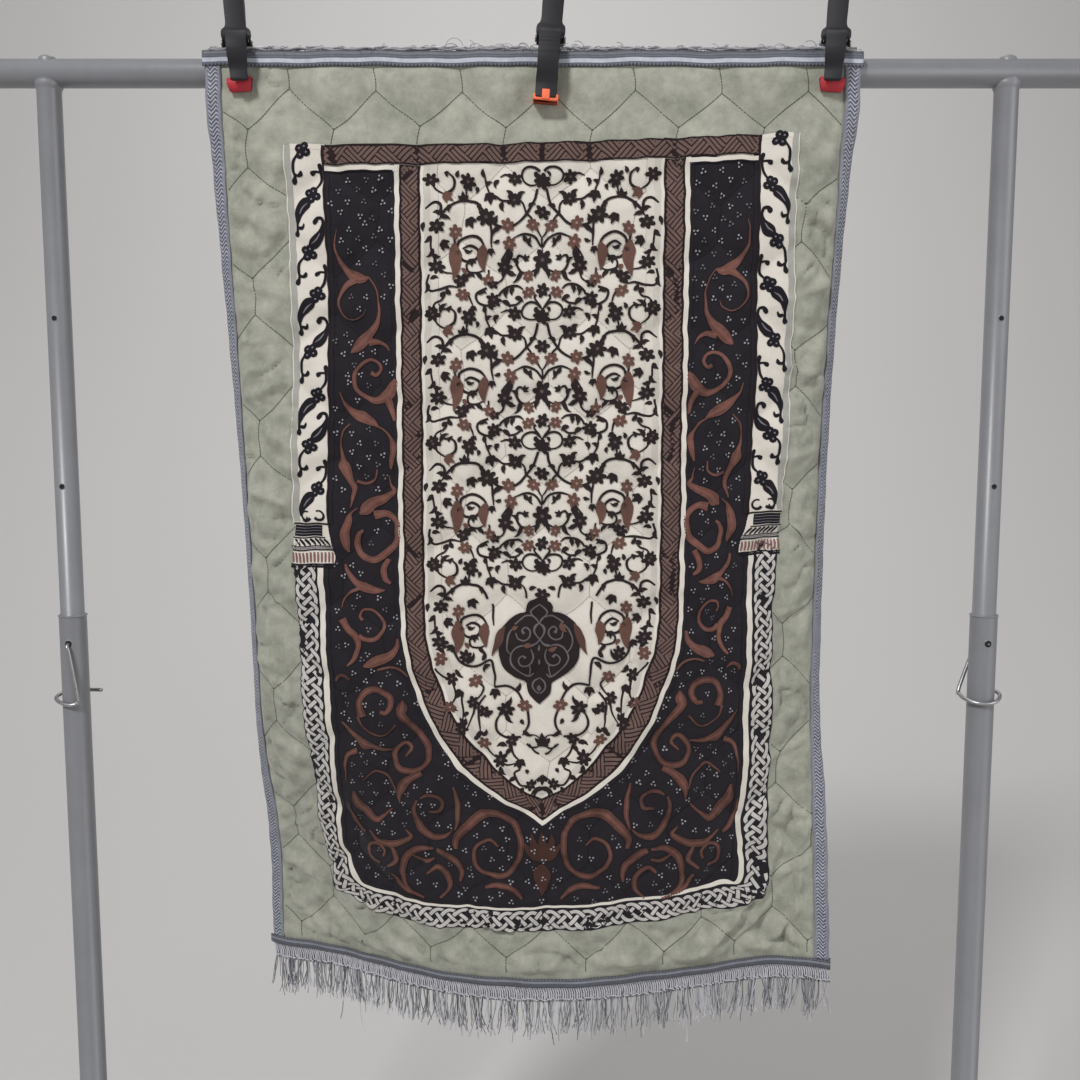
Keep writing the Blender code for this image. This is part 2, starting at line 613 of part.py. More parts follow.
# ---------------------------------------------------------------- the clamps
def clamp_frame(clamp):
    """The clamp's own frame: origin on its pivot, -Z towards the pads, -Y towards the front."""
    turn = math.radians(clamp.turn_deg)
    forward = (PIVOT_Y - RUG_MIDDLE_Y) / math.cos(turn)
    fall = clamp.above_bar + clamp.pad_below_bar
    pivot = Vector((clamp.across, PIVOT_Y, BAR_HEIGHT + clamp.above_bar))
    lean = Matrix.Rotation(math.radians(clamp.lean_deg), 4, "Y")
    tilt = Matrix.Rotation(-math.atan2(forward, fall), 4, "X")
    facing = lean @ Matrix.Rotation(turn, 4, "Z")
    return Matrix.Translation(pivot) @ facing @ tilt, math.hypot(forward, fall)


def lever_sections(stations, reach, pivot_width):
    """Four corners of each section along a lever, front lever on the -Y side."""
    stretch = reach / JAW_REACH
    line = [(-s.offset, s.height * (stretch if s.height < STRETCH_BELOW else 1.0))
            for s in stations]
    sections = []
    for index, station in enumerate(stations):
        before = Vector(line[max(index - 1, 0)])
        after = Vector(line[min(index + 1, len(line) - 1)])
        along = (after - before).normalized()
        outward = Vector((along.y, -along.x)) * LEVER_THICKNESS / 2
        half = (station.width or pivot_width) / 2
        here = Vector(line[index])
        sections.append([Vector((x, *(here + side * outward)))
                         for x, side in ((-half, 1), (half, 1), (half, -1), (-half, -1))])
    return sections


def loft(sections):
    """Join like sections, each a loop of corners, into one closed body."""
    bm = bmesh.new()
    loops = [[bm.verts.new(corner) for corner in section] for section in sections]
    for a, b in zip(loops, loops[1:]):
        for k in range(len(a)):
            j = (k + 1) % len(a)
            bm.faces.new((a[k], a[j], b[j], b[k]))
    bm.faces.new(reversed(loops[0]))
    bm.faces.new(loops[-1])
    return bm


def ear_plate(name, centre_x, reach_to, frame):
    """A flat ear: round about the pivot, straight to the lever it grows from."""
    angles = np.linspace(math.pi / 2, -math.pi / 2, 9)
    outline = [(-EAR_RADIUS * math.cos(a) * math.copysign(1, reach_to), EAR_RADIUS * math.sin(a))
               for a in angles]
    outline += [(reach_to, -EAR_RADIUS * EAR_ROOT_BELOW), (reach_to, EAR_RADIUS * EAR_ROOT_ABOVE)]
    bm = bmesh.new()
    face = bm.faces.new([bm.verts.new((centre_x - EAR_THICKNESS / 2, y, z)) for y, z in outline])
    grown = bmesh.ops.extrude_face_region(bm, geom=[face])
    moved = [v for v in grown["geom"] if isinstance(v, bmesh.types.BMVert)]
    bmesh.ops.translate(bm, verts=moved, vec=(EAR_THICKNESS, 0, 0))
    bm.transform(frame)
    face_outwards(bm)
    return hide_cutter(mesh_object(name, bm, CUTTER_FINISH, collection=CUTTERS))


def make_lever(clamp, face, frame, reach, plastic):
    """One lever: handle, ears at the pivot and curved jaw. The front one has the outer ears."""
    front = face == "front"
    ear_at = OUTER_EAR_AT if front else INNER_EAR_AT
    pivot_width = 2 * ear_at + EAR_THICKNESS + 2 * FIT
    stations = [station._replace(width=station.width * clamp.widen)
                for station in LEVER + (clamp.front_tip if front else REAR_TIP)]
    bm = loft(lever_sections(stations, reach, pivot_width))
    if not front:
        bm.transform(Matrix.Diagonal((1, -1, 1, 1)))
    bm.transform(frame)
    face_outwards(bm)
    name = f"clamp_{clamp.name}_{face}"
    lever = mesh_object(name, bm, plastic)
    modifier = lever.modifiers.new("rounded edges", "BEVEL")
    modifier.width = CLAMP_BEVEL
    modifier.segments = 1
    reach_to = -EAR_ROOT_AT if front else EAR_ROOT_AT
    for number, sign in enumerate((-1, 1)):
        combine(lever, ear_plate(f"{name}_ear_{number}", sign * ear_at, reach_to, frame), "UNION")
    ends = [frame @ Vector((side * CUT_THROUGH, 0, 0)) for side in (-1, 1)]
    cut_rod(lever, "hole", *ends, PIVOT_PIN_RADIUS + FIT, PIVOT_SIDES)


def make_pivot_pin(clamp, frame, steel):
    """A headed pin: a turned profile about the pivot's axis."""
    head_radius, head_length = PIVOT_PIN_HEAD
    inner = OUTER_EAR_AT + EAR_THICKNESS / 2 + FIT
    outer = inner + head_length
    profile = ((0, outer), (head_radius, outer), (head_radius, inner), (PIVOT_PIN_RADIUS, inner),
               (PIVOT_PIN_RADIUS, -inner), (head_radius, -inner), (head_radius, -outer), (0, -outer))
    bm = bmesh.new()
    points = [bm.verts.new((radius, 0, height)) for radius, height in profile]
    for a, b in zip(points, points[1:]):
        bm.edges.new((a, b))
    pin = mesh_object(f"clamp_{clamp.name}_pin", bm, steel, smooth=True)
    pin.matrix_world = frame @ Matrix.Rotation(math.radians(90), 4, "Y")
    screw = pin.modifiers.new("turned", "SCREW")
    screw.steps = screw.render_steps = PIVOT_SIDES
    screw.merge_threshold = 0.0001
    screw.use_merge_vertices = True


def make_spring(clamp, frame, steel):
    """A torsion spring round the pin, its two legs lying along the handles."""
    steps = SPRING_STEPS * SPRING_TURNS
    starts = math.radians(SPRING_STARTS_DEG)
    route = []
    for k in range(steps + 1):
        angle = starts + 2 * math.pi * (SPRING_TURNS - 1 / 3) * k / steps
        route.append(Vector((SPRING_HALF_WIDTH * (2 * k / steps - 1),
                             -SPRING_RADIUS * math.sin(angle), SPRING_RADIUS * math.cos(angle))))
    outwards, upwards = SPRING_LEG
    first = route[0] + Vector((0, -outwards, upwards))
    last = route[-1] + Vector((0, outwards, upwards))
    places = [frame @ place for place in (first, *route, last)]
    wire_through(f"clamp_{clamp.name}_spring", places, SPRING_WIRE, steel, resolution=1)


def pad_place(clamp):
    """The middle of a clamp's front pad, on the clamp's turned and leaning middle plane."""
    pivot = Vector((clamp.across, PIVOT_Y, BAR_HEIGHT + clamp.above_bar))
    forward = PIVOT_Y - RUG_MIDDLE_Y + PAD_AWAY
    aside = forward * math.tan(math.radians(clamp.turn_deg))
    fall = clamp.above_bar + clamp.pad_below_bar
    lean = Matrix.Rotation(math.radians(clamp.lean_deg), 3, "Y")
    return pivot + lean @ Vector((aside, -forward, -fall))


def pad_across(clamp):
    """The middle of a clamp's grip, as a place across the rug."""
    return pad_place(clamp).x - DESIGN_CENTRE_X


def make_pads(clamp, colour_finish):
    """Swivelling pads, upright against the cloth and opposite one another."""
    for face, behind in (("front", 0), ("rear", 2 * PAD_AWAY)):
        place = pad_place(clamp) + Vector((0, behind, 0))
        pad = box_at(f"clamp_{clamp.name}_pad_{face}", place, PAD_SIZE, colour_finish,
                     bevel=CLAMP_BEVEL)
        pad.rotation_euler = (0, math.radians(clamp.lean_deg), 0)


def make_clamps():
    plastic = finish_material("clamp plastic", (0.025, 0.025, 0.03, 1.0), 0.4)
    steel = finish_material("clamp steel", (0.5, 0.5, 0.5, 1.0), 0.35, 1.0)
    for clamp in CLAMPS:
        frame, reach = clamp_frame(clamp)
        make_lever(clamp, "front", frame, reach, plastic)
        make_lever(clamp, "rear", frame, reach, plastic)
        make_pivot_pin(clamp, frame, steel)
        make_spring(clamp, frame, steel)
        make_pads(clamp, finish_material(f"pad {clamp.name}", clamp.pad_colour, 0.5))


clear_scene()
PARTS = new_collection("prayer_rug_on_stand")
CUTTERS = new_collection("cutters")
CUTTER_FINISH = finish_material("cutter", (0.8, 0.2, 0.2, 1.0), 0.5)
make_rug()
make_stand()
make_clamps()
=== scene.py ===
"""The looks of a quilted prayer rug that hangs by three spring clamps from a tubular stand.

Laid out as a Blender add-on and run as a script. Metres, +Z up, the rug faces -Y.
A place on the flat rug is (across, drop): across runs from the design's centre line
towards +X, drop runs down from the top edge. Tables of the printed design are in
millimetres, because its motifs are a few millimetres wide.
"""
import math
from collections import namedtuple

import bpy
import numpy as np
from bpy.props import FloatProperty, FloatVectorProperty, IntProperty, PointerProperty
from mathutils import Matrix, Vector


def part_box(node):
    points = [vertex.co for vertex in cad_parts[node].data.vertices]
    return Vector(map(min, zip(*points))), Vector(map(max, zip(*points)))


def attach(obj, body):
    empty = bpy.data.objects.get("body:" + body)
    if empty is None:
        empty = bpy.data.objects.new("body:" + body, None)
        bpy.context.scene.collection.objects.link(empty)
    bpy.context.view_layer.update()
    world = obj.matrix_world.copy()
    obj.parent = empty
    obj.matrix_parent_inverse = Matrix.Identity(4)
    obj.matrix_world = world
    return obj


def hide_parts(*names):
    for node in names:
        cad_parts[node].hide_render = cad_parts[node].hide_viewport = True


bl_info = {
    "name": "Prayer rug on a display stand",
    "version": (1, 0, 0),
    "blender": (4, 5, 0),
    "location": "3D View > Sidebar > Rug",
    "description": "Builds the quilted rug, its printed niche design, trims, clamps and stand",
    "category": "Object",
}

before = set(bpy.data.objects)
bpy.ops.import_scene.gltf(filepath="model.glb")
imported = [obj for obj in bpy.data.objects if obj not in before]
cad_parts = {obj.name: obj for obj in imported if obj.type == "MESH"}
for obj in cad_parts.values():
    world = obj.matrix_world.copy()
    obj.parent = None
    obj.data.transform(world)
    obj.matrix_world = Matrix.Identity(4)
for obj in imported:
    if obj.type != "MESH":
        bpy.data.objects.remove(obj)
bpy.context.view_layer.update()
MM = 0.001
TAU = 2 * math.pi

# ---------------------------------------------------------------- places taken from the frame
BAR_LOW, BAR_HIGH = (np.array(corner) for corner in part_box("crossbar"))
BAR_RADIUS = (BAR_HIGH[2] - BAR_LOW[2]) / 2
BAR_HEIGHT = (BAR_HIGH[2] + BAR_LOW[2]) / 2
RUG_TOP_ABOVE_BAR = 0.0175
RUG_TOP_Z = BAR_HEIGHT + RUG_TOP_ABOVE_BAR

# ---------------------------------------------------------------- the hanging cloth
RUG_LENGTH = 1.054
EDGE_LEFT = -0.362
EDGE_RIGHT_TOP = 0.342
EDGE_RIGHT_WIDENS = 0.014
WIDENING_STARTS = 0.60
WIDENING_RUN = 0.45
DESIGN_CENTRE_X = 0.0158
RUG_MIDDLE_Y = -0.0205
TAPE_WIDTH = 0.0175

# Turn of the cloth away from the viewer, in degrees, at named stations across the rug, with one
# row every SECTION_STEP of drop, from the top edge to the bottom edge.
SECTION_STEP = 0.15
HELD_FLAT = 0.02
HELD_RUN = 0.10
STATIONS = {
    "edge_left": -0.362, "hem_left": -0.335, "margin_left": -0.300, "column_left": -0.240,
    "panel_left": -0.120, "centre": 0.0, "panel_right": 0.120, "column_right": 0.240,
    "margin_right": 0.290, "hem_right": 0.320, "edge_right": 0.345,
}
Turn = namedtuple("Turn", STATIONS)
TURNS = (
    Turn(0, 0, 0, 0, 0, 0, 0, 0, 0, 0, 0),
    Turn(34, 14, 4, 1, 0, 0, 0, 2, 6, 24, 52),
    Turn(50, 28, 9, 3, 1, 0, 2, 5, 14, 36, 56),
    Turn(66, 38, 15, 4, 0, 0, 3, 9, 22, 34, 55),
    Turn(66, 42, 22, 6, 0, 0, 4, 13, 22, 30, 55),
    Turn(58, 38, 26, 12, 2, 0, 7, 17, 22, 22, 38),
    Turn(28, 20, 26, 29, 12, 0, 11, 19, 12, -4, -6),
    Turn(34, 14, 14, 30, 20, 0, 14, 17, 4, -12, -16),
)
SUMMED_STEPS = 24
LATTICE_STEP = 0.004
LATTICE_ACROSS = (-0.380, 0.380)
LATTICE_DROP = (-0.012, 1.160)

# Honeycomb quilting: upright hexagons.
CELL_WIDTH = 0.0928
ZIGZAG_RISE = 0.039
SEAM_UPRIGHT = 0.039
CELL_CENTRE = (0.0062, 0.1015)
PUFF_RUN = 0.026
SEAM_FOOT = 0.0028

# Spring clamps: the pivot's place across and height above the bar's axis, its lean in the plane
# of the cloth, its turn about the upright, how far the pad lies below the bar's axis, and how
# many times as wide as a side clamp's its levers are.
Clamp = namedtuple("Clamp", "name across above_bar lean_deg turn_deg pad_below_bar widen")
CLAMPS = (
    Clamp("left", -0.3168, 0.0315, -3.8, 12.3, 0.020, 1.0),
    Clamp("middle", 0.0247, 0.0365, 4.2, 0.0, 0.033, 1.08),
    Clamp("right", 0.3350, 0.0315, 3.8, -12.3, 0.020, 1.0),
)

FIT = 0.0003
PIVOT_Y = 0.002
PAD_SIZE = (0.027, 0.0066, 0.014)
PINCHED_THICKNESS = 0.0048
PAD_GAP = 0.0004
PAD_AWAY = PINCHED_THICKNESS * 0.50 + FIT + PAD_GAP + PAD_SIZE[1] / 2


def pivot_of(clamp):
    return Vector((clamp.across, PIVOT_Y, BAR_HEIGHT + clamp.above_bar))


def pad_place(clamp):
    """The middle of a clamp's front pad, on the clamp's turned and leaning middle plane."""
    forward = PIVOT_Y - RUG_MIDDLE_Y + PAD_AWAY
    aside = forward * math.tan(math.radians(clamp.turn_deg))
    fall = clamp.above_bar + clamp.pad_below_bar
    lean = Matrix.Rotation(math.radians(clamp.lean_deg), 3, "Y")
    return pivot_of(clamp) + lean @ Vector((aside, -forward, -fall))


PAD_ACROSS = {clamp.name: pad_place(clamp).x for clamp in CLAMPS}


def smooth_step(value):
    """0 below 0, 1 above 1, and 3x² - 2x³ between."""
    value = np.clip(value, 0, 1)
    return value * value * (3 - 2 * value)


def edge_right(drop):
    share = np.clip((drop - WIDENING_STARTS) / WIDENING_RUN, 0, 1)
    return EDGE_RIGHT_TOP + EDGE_RIGHT_WIDENS * share


def turn_angle(across, drop):
    """The cloth's turn: straight between stations, a Catmull-Rom cubic between sections."""
    place = np.clip(drop / SECTION_STEP, 0, len(TURNS) - 1.0001)
    section = np.floor(place).astype(int)
    f = place - section
    rows = np.stack([np.interp(across, list(STATIONS.values()), row) for row in TURNS])
    weights = (-f / 2 + f ** 2 - f ** 3 / 2, 1 - 2.5 * f ** 2 + 1.5 * f ** 3,
               f / 2 + 2 * f ** 2 - 1.5 * f ** 3, (f ** 3 - f ** 2) / 2)
    angle = np.zeros_like(across)
    for k, weight in enumerate(weights):
        index = np.clip(section + k - 1, 0, len(TURNS) - 1)
        angle += weight * np.take_along_axis(rows, index[None], 0)[0]
    return np.radians(angle * smooth_step((drop - HELD_FLAT) / HELD_RUN))


def middle_surface(across, drop):
    """The middle of the cloth: the cosine and sine of the turn summed outwards from the centre."""
    x = np.zeros_like(across)
    y = np.zeros_like(across)
    for k in range(SUMMED_STEPS):
        angle = turn_angle(across * (k + 0.5) / SUMMED_STEPS, drop)
        x += np.cos(angle) * across / SUMMED_STEPS
        y += np.sin(angle) * np.abs(across) / SUMMED_STEPS
    return np.stack([x + DESIGN_CENTRE_X, y + RUG_MIDDLE_Y, RUG_TOP_Z - drop], axis=-1)


def hanging_lattice():
    """The middle surface and its front normal, worked out once on a regular lattice."""
    across, drop = np.meshgrid(np.arange(*LATTICE_ACROSS, LATTICE_STEP),
                               np.arange(*LATTICE_DROP, LATTICE_STEP))
    place = middle_surface(across, drop)
    normal = np.cross(np.gradient(place, axis=0), np.gradient(place, axis=1))
    normal /= np.linalg.norm(normal, axis=-1, keepdims=True)
    return np.concatenate([place, normal], axis=-1)


LATTICE = hanging_lattice()


def on_cloth(across, drop, lift):
    """Places on the cloth: the four nearest lattice points blended by distance, then moved
    along the front normal by lift.
    """
    across, drop, lift = np.broadcast_arrays(across, drop, lift)
    column = (across - LATTICE_ACROSS[0]) / LATTICE_STEP
    row = (drop - LATTICE_DROP[0]) / LATTICE_STEP
    i = np.clip(np.floor(row).astype(int), 0, LATTICE.shape[0] - 2)
    j = np.clip(np.floor(column).astype(int), 0, LATTICE.shape[1] - 2)
    f = (row - i)[..., None]
    g = (column - j)[..., None]
    both = ((LATTICE[i, j] * (1 - g) + LATTICE[i, j + 1] * g) * (1 - f)
            + (LATTICE[i + 1, j] * (1 - g) + LATTICE[i + 1, j + 1] * g) * f)
    return both[..., :3] + both[..., 3:] * lift[..., None]


def wander_across(drop):
    """How far the hand-guided stitching strays sideways: two waves down the rug."""
    return 0.0016 * np.sin(drop * 61 + 1.0) + 0.0010 * np.sin(drop * 143)


def wander_down(across):
    """How far it strays up or down: two waves across the rug."""
    return 0.0020 * np.sin(across * 47 + 2.0) + 0.0010 * np.sin(across * 131)


def seam_distance(across, drop):
    """Distance to the nearest quilting seam. Cells are upright hexagons whose centres form two
    interleaved lattices; a point lies in the cell that it is deepest inside.
    """
    pitch = ZIGZAG_RISE + SEAM_UPRIGHT
    half = CELL_WIDTH / 2
    along_slope = math.cos(math.atan2(ZIGZAG_RISE, half))
    bent_across = across + wander_across(drop)
    bent_drop = drop + wander_down(across)
    deepest = np.full(np.shape(across), -1.0)
    for shift in (0, 1):
        x = (bent_across - CELL_CENTRE[0] - shift * half + half) % CELL_WIDTH - half
        y = (bent_drop - CELL_CENTRE[1] - shift * pitch + pitch) % (2 * pitch) - pitch
        to_slope = SEAM_UPRIGHT / 2 + ZIGZAG_RISE - np.abs(y) - ZIGZAG_RISE / half * np.abs(x)
        deepest = np.maximum(deepest, np.minimum(half - np.abs(x), to_slope * along_slope))
    return np.maximum(deepest, 0)


def edge_distance(across, drop):
    """Distance inwards from the cut edge of the cloth."""
    return np.minimum(np.minimum(across - EDGE_LEFT, edge_right(drop) - across),
                      np.minimum(drop, RUG_LENGTH - drop))


# Creases pressed into the cloth: middle (across, drop), direction in degrees from level, length,
# width and height, in millimetres; every height is multiplied by CREASE_SCALE.
CREASES = (
    (-300, 1010, 35, 70, 9, 1.6), (-250, 1015, 28, 60, 8, 1.5), (-190, 1018, 24, 60, 9, 1.4),
    (-120, 1022, -30, 50, 8, 1.2), (-60, 1020, 30, 46, 8, 1.2), (10, 1022, -34, 50, 8, 1.3),
    (80, 1016, 36, 56, 8, 1.4), (150, 1014, -32, 60, 9, 1.6), (215, 1008, -38, 64, 9, 1.9),
    (262, 990, -42, 70, 9, 2.0), (300, 1000, -50, 70, 9, 2.0), (312, 930, -20, 60, 8, 1.6),
    (-318, 940, 24, 60, 8, 1.4), (-310, 880, -24, 60, 8, 1.2), (-316, 800, 16, 50, 8, 1.2),
    (305, 860, 14, 60, 8, 1.4), (300, 780, -22, 56, 8, 1.3), (306, 700, 18, 50, 8, 1.2),
    (300, 610, -16, 56, 8, 1.3), (296, 520, 22, 56, 8, 1.3), (300, 430, -14, 50, 8, 1.2),
    (292, 340, 18, 56, 8, 1.2), (298, 250, -24, 60, 8, 1.3), (-305, 700, 20, 50, 8, 1.0),
    (-308, 600, -14, 50, 8, 1.0), (-312, 480, 16, 56, 8, 1.1), (-306, 360, -18, 50, 8, 1.0),
    (-310, 250, 14, 60, 8, 1.0), (-305, 150, -50, 60, 9, 1.2), (285, 150, 56, 60, 9, 1.4),
    (276, 940, -72, 120, 10, 2.2), (316, 960, -84, 110, 9, 2.2), (236, 985, -52, 70, 8, 1.8),
    (330, 880, -60, 80, 9, 1.6), (-280, 985, 52, 60, 8, 1.6), (-226, 1026, 10, 60, 7, 1.3),
    (120, 1028, 6, 70, 7, 1.3), (-20, 1030, -8, 60, 7, 1.2), (180, 1030, -14, 60, 7, 1.4),
)
CREASE_SCALE = 3.0


def creases(across, drop):
    """The sum of all creases, each a ridge of bell-shaped section that fades out along its line
    as it does across it.
    """
    total = np.zeros(np.shape(across))
    for u, v, degrees, length, width, height in np.array(CREASES, float):
        turn = math.radians(degrees)
        x = across / MM - u
        y = drop / MM - v
        along = (x * math.cos(turn) + y * math.sin(turn)) / length * 2
        aside = (y * math.cos(turn) - x * math.sin(turn)) / width * 2
        total += CREASE_SCALE * height * MM * np.exp(-along ** 2 - aside ** 2)
    return total


def ripples(across, drop):
    """Slow unevenness of the padding: three crossed waves 20 to 50 mm long."""
    return (np.sin(across * 131 + 2.1 * np.sin(drop * 53)) * np.sin(drop * 117 + 1.3)
            + 0.7 * np.sin(across * 71 - drop * 189 + 0.7)
            + 0.6 * np.sin(across * 211 + drop * 97)) / 2.3


def folds(across, drop):
    """Sharp-bottomed folds of the slack pile: 1 on winding lines, 0 elsewhere. A line is where
    two crossed waves cancel, and a third wave keeps only pieces of it.
    """
    bend = (np.sin(across * 96 + 2.3 * np.sin(drop * 58))
            + np.sin(drop * 86 + 1.8 * np.sin(across * 67)))
    kept = smooth_step(0.5 + np.sin(across * 43 + 1.0) * np.sin(drop * 37 + 0.6))
    return 1.5 * kept * np.exp(-(bend / 0.20) ** 2)


# The print holds the cloth flatter than the plain margins around it.
MARGIN_ACROSS = 0.262
MARGIN_DROP = 0.955
MARGIN_RUN = 0.03
PRINTED_UNEVENNESS = 0.22
SWELL_RUN = 0.010
TRIM_RUN = 0.016
PRESSED_ROUND = 0.026
PRESSED_FLAT = 0.55


def face_lift(across, drop):
    """Height of the plush over the middle of the cloth: a cell rises from its seams as a
    parabola with a rounded foot, and is pressed flat under the trims and the clamp pads.
    """
    cloth = bpy.context.scene.rug_cloth
    seam = np.sqrt(seam_distance(across, drop) ** 2 + SEAM_FOOT ** 2) - SEAM_FOOT
    share = np.clip(seam / PUFF_RUN, 0, 1)
    puff = cloth.cell_height * (1 - (1 - share) ** 2)
    swell = smooth_step(seam / SWELL_RUN)
    plain = np.maximum(smooth_step((np.abs(across) - MARGIN_ACROSS) / MARGIN_RUN),
                       smooth_step((drop - MARGIN_DROP) / MARGIN_RUN))
    loose = PRINTED_UNEVENNESS + (1 - PRINTED_UNEVENNESS) * plain
    uneven = ripples(across, drop) * loose - folds(across, drop) * plain
    rise = puff + swell * cloth.unevenness * uneven + creases(across, drop)
    body = smooth_step((edge_distance(across, drop) - TAPE_WIDTH + TRIM_RUN / 4) / TRIM_RUN)
    for clamp in CLAMPS:
        pad_drop = RUG_TOP_ABOVE_BAR + clamp.pad_below_bar
        away = np.hypot(across - PAD_ACROSS[clamp.name] + DESIGN_CENTRE_X, drop - pad_drop)
        body = body * smooth_step(away / PRESSED_ROUND - PRESSED_FLAT)
    return cloth.seam_half_thickness + rise * body


# ---------------------------------------------------------------- meshes from arrays
MAP_NAME = "OFBake"


def grid_faces(rows, columns, closed=False):
    """Four-sided faces of a grid of points, its last column joined to its first if closed."""
    index = np.arange(rows * columns).reshape(rows, columns)
    if closed:
        index = np.concatenate([index, index[:, :1]], axis=1)
    return np.stack([index[:-1, :-1], index[:-1, 1:], index[1:, 1:], index[1:, :-1]],
                    axis=-1).reshape(-1, 4)


def make_piece(name, points, faces, finishes, slots=None, uv=None):
    """A smooth mesh object from an array of points and a list of face arrays, one array for
    each number of corners. slots gives each face's material, uv each point's place in the map.
    """
    points = np.asarray(points, np.float32).reshape(-1, 3)
    faces = [np.asarray(group) for group in faces if len(group)]
    corners = np.concatenate([group.ravel() for group in faces])
    sizes = np.concatenate([np.full(len(group), group.shape[1]) for group in faces])
    mesh = bpy.data.meshes.new(name)
    mesh.vertices.add(len(points))
    mesh.vertices.foreach_set("co", points.ravel())
    mesh.loops.add(len(corners))
    mesh.loops.foreach_set("vertex_index", corners.astype(np.int32))
    mesh.polygons.add(len(sizes))
    starts = np.concatenate([[0], np.cumsum(sizes)[:-1]]).astype(np.int32)
    mesh.polygons.foreach_set("loop_start", starts)
    mesh.polygons.foreach_set("use_smooth", np.full(len(sizes), True))
    for finish in finishes:
        mesh.materials.append(finish)
    if slots is not None:
        mesh.polygons.foreach_set("material_index", np.asarray(slots, np.int32))
    mesh.update(calc_edges=True)
    if uv is not None:
        places = mesh.uv_layers.new(name=MAP_NAME)
        places.uv.foreach_set("vector", np.asarray(uv, np.float32)[corners].ravel())
    if mesh.validate(clean_customdata=False):
        raise RuntimeError(f"{name} had faces that Blender refused")
    obj = bpy.data.objects.new(name, mesh)
    bpy.context.scene.collection.objects.link(obj)
    return obj


def join_parts(parts):
    """Several (points, faces) pairs as one: the later parts' indices are shifted."""
    points = []
    faces = {}
    count = 0
    for part_points, part_faces in parts:
        for group in part_faces:
            if len(group):
                faces.setdefault(group.shape[1], []).append(group + count)
        points.append(part_points.reshape(-1, 3))
        count += len(points[-1])
    return np.concatenate(points), [np.concatenate(group) for group in faces.values()]


def smooth_line(corners, step, places=2):
    """Rows read every step or so from a Catmull-Rom curve through the corners. All columns are
    read alike; the first ones are places, and more may follow, such as a width.
    """
    corners = np.asarray(corners, float)
    padded = np.concatenate([2 * corners[:1] - corners[1:2], corners,
                             2 * corners[-1:] - corners[-2:-1]])
    rows = []
    for a, b, c, d in zip(padded, padded[1:], padded[2:], padded[3:]):
        count = max(1, math.ceil(np.linalg.norm((c - b)[:places]) / step))
        f = (np.arange(count) / count)[:, None]
        rows.append(0.5 * (2 * b + (c - a) * f + (2 * a - 5 * b + 4 * c - d) * f ** 2
                           + (3 * b - a - 3 * c + d) * f ** 3))
    return np.concatenate([*rows, corners[-1:]])


def wall_and_caps(rows, columns):
    """Faces of a closed wall of points, row after row, and of the flat caps on its ends."""
    ring = np.arange(columns)
    return [grid_faces(rows, columns, closed=True)[:, ::-1],
            np.stack([ring[::-1], ring + (rows - 1) * columns])]


def tube(path, radius, sides):
    """A round wall carried along a path: at each point a circle square to the path, turned as
    little as possible from the last one, and a flat cap at each end. radius may be one number
    or one for each point.
    """
    path = np.asarray(path, float)
    along = np.gradient(path, axis=0)
    along /= np.linalg.norm(along, axis=1, keepdims=True)
    guide = np.eye(3)[np.argmin(np.abs(along[0]))]
    side = []
    for direction in along:
        guide = guide - direction * (guide @ direction)
        guide /= np.linalg.norm(guide)
        side.append(guide)
    side = np.array(side)
    other = np.cross(along, side)
    angle = np.arange(sides) / sides * TAU
    radius = np.broadcast_to(radius, len(path))[:, None, None]
    ring = (side[:, None] * np.cos(angle)[:, None] + other[:, None] * np.sin(angle)[:, None])
    points = (path[:, None] + ring * radius).reshape(-1, 3)
    return points, wall_and_caps(len(path), sides)


def turned(profile, base, axis, sides):
    """A turned body: a profile of (radius, height) rows swept round an axis through base, with
    a flat cap on its first and its last row.
    """
    profile = np.asarray(profile, float)
    angle = np.arange(sides) / sides * TAU
    order = {"X": (2, 0, 1), "Y": (1, 2, 0), "Z": (0, 1, 2)}[axis]
    wall = np.stack([profile[:, :1] * np.cos(angle), profile[:, :1] * np.sin(angle),
                     np.repeat(profile[:, 1:], sides, axis=1)], axis=-1)
    faces = wall_and_caps(len(profile), sides)
    points = wall.reshape(-1, 3)
    if profile[-1, 1] < profile[0, 1]:
        faces = [group[:, ::-1] for group in faces]
    return points[:, order] + np.array(base), faces


# ---------------------------------------------------------------- node materials
class Value:
    """A node's output that Python expressions can use: each operator adds one Math node."""

    def __init__(self, finish, socket):
        self.finish = finish
        self.socket = socket

    def maths(self, operation, other, reflected=False):
        pair = (other, self) if reflected else (self, other)
        return self.finish.node("Math", {"operation": operation}, dict(enumerate(pair)))

    def __add__(self, other):
        return self.maths("ADD", other)

    def __sub__(self, other):
        return self.maths("SUBTRACT", other)

    def __rsub__(self, other):
        return self.maths("SUBTRACT", other, reflected=True)

    def __mul__(self, other):
        return self.maths("MULTIPLY", other)

    def __truediv__(self, other):
        return self.maths("DIVIDE", other)

    def __gt__(self, other):
        return self.maths("GREATER_THAN", other)

    def __lt__(self, other):
        return self.maths("LESS_THAN", other)

    __radd__ = __add__
    __rmul__ = __mul__


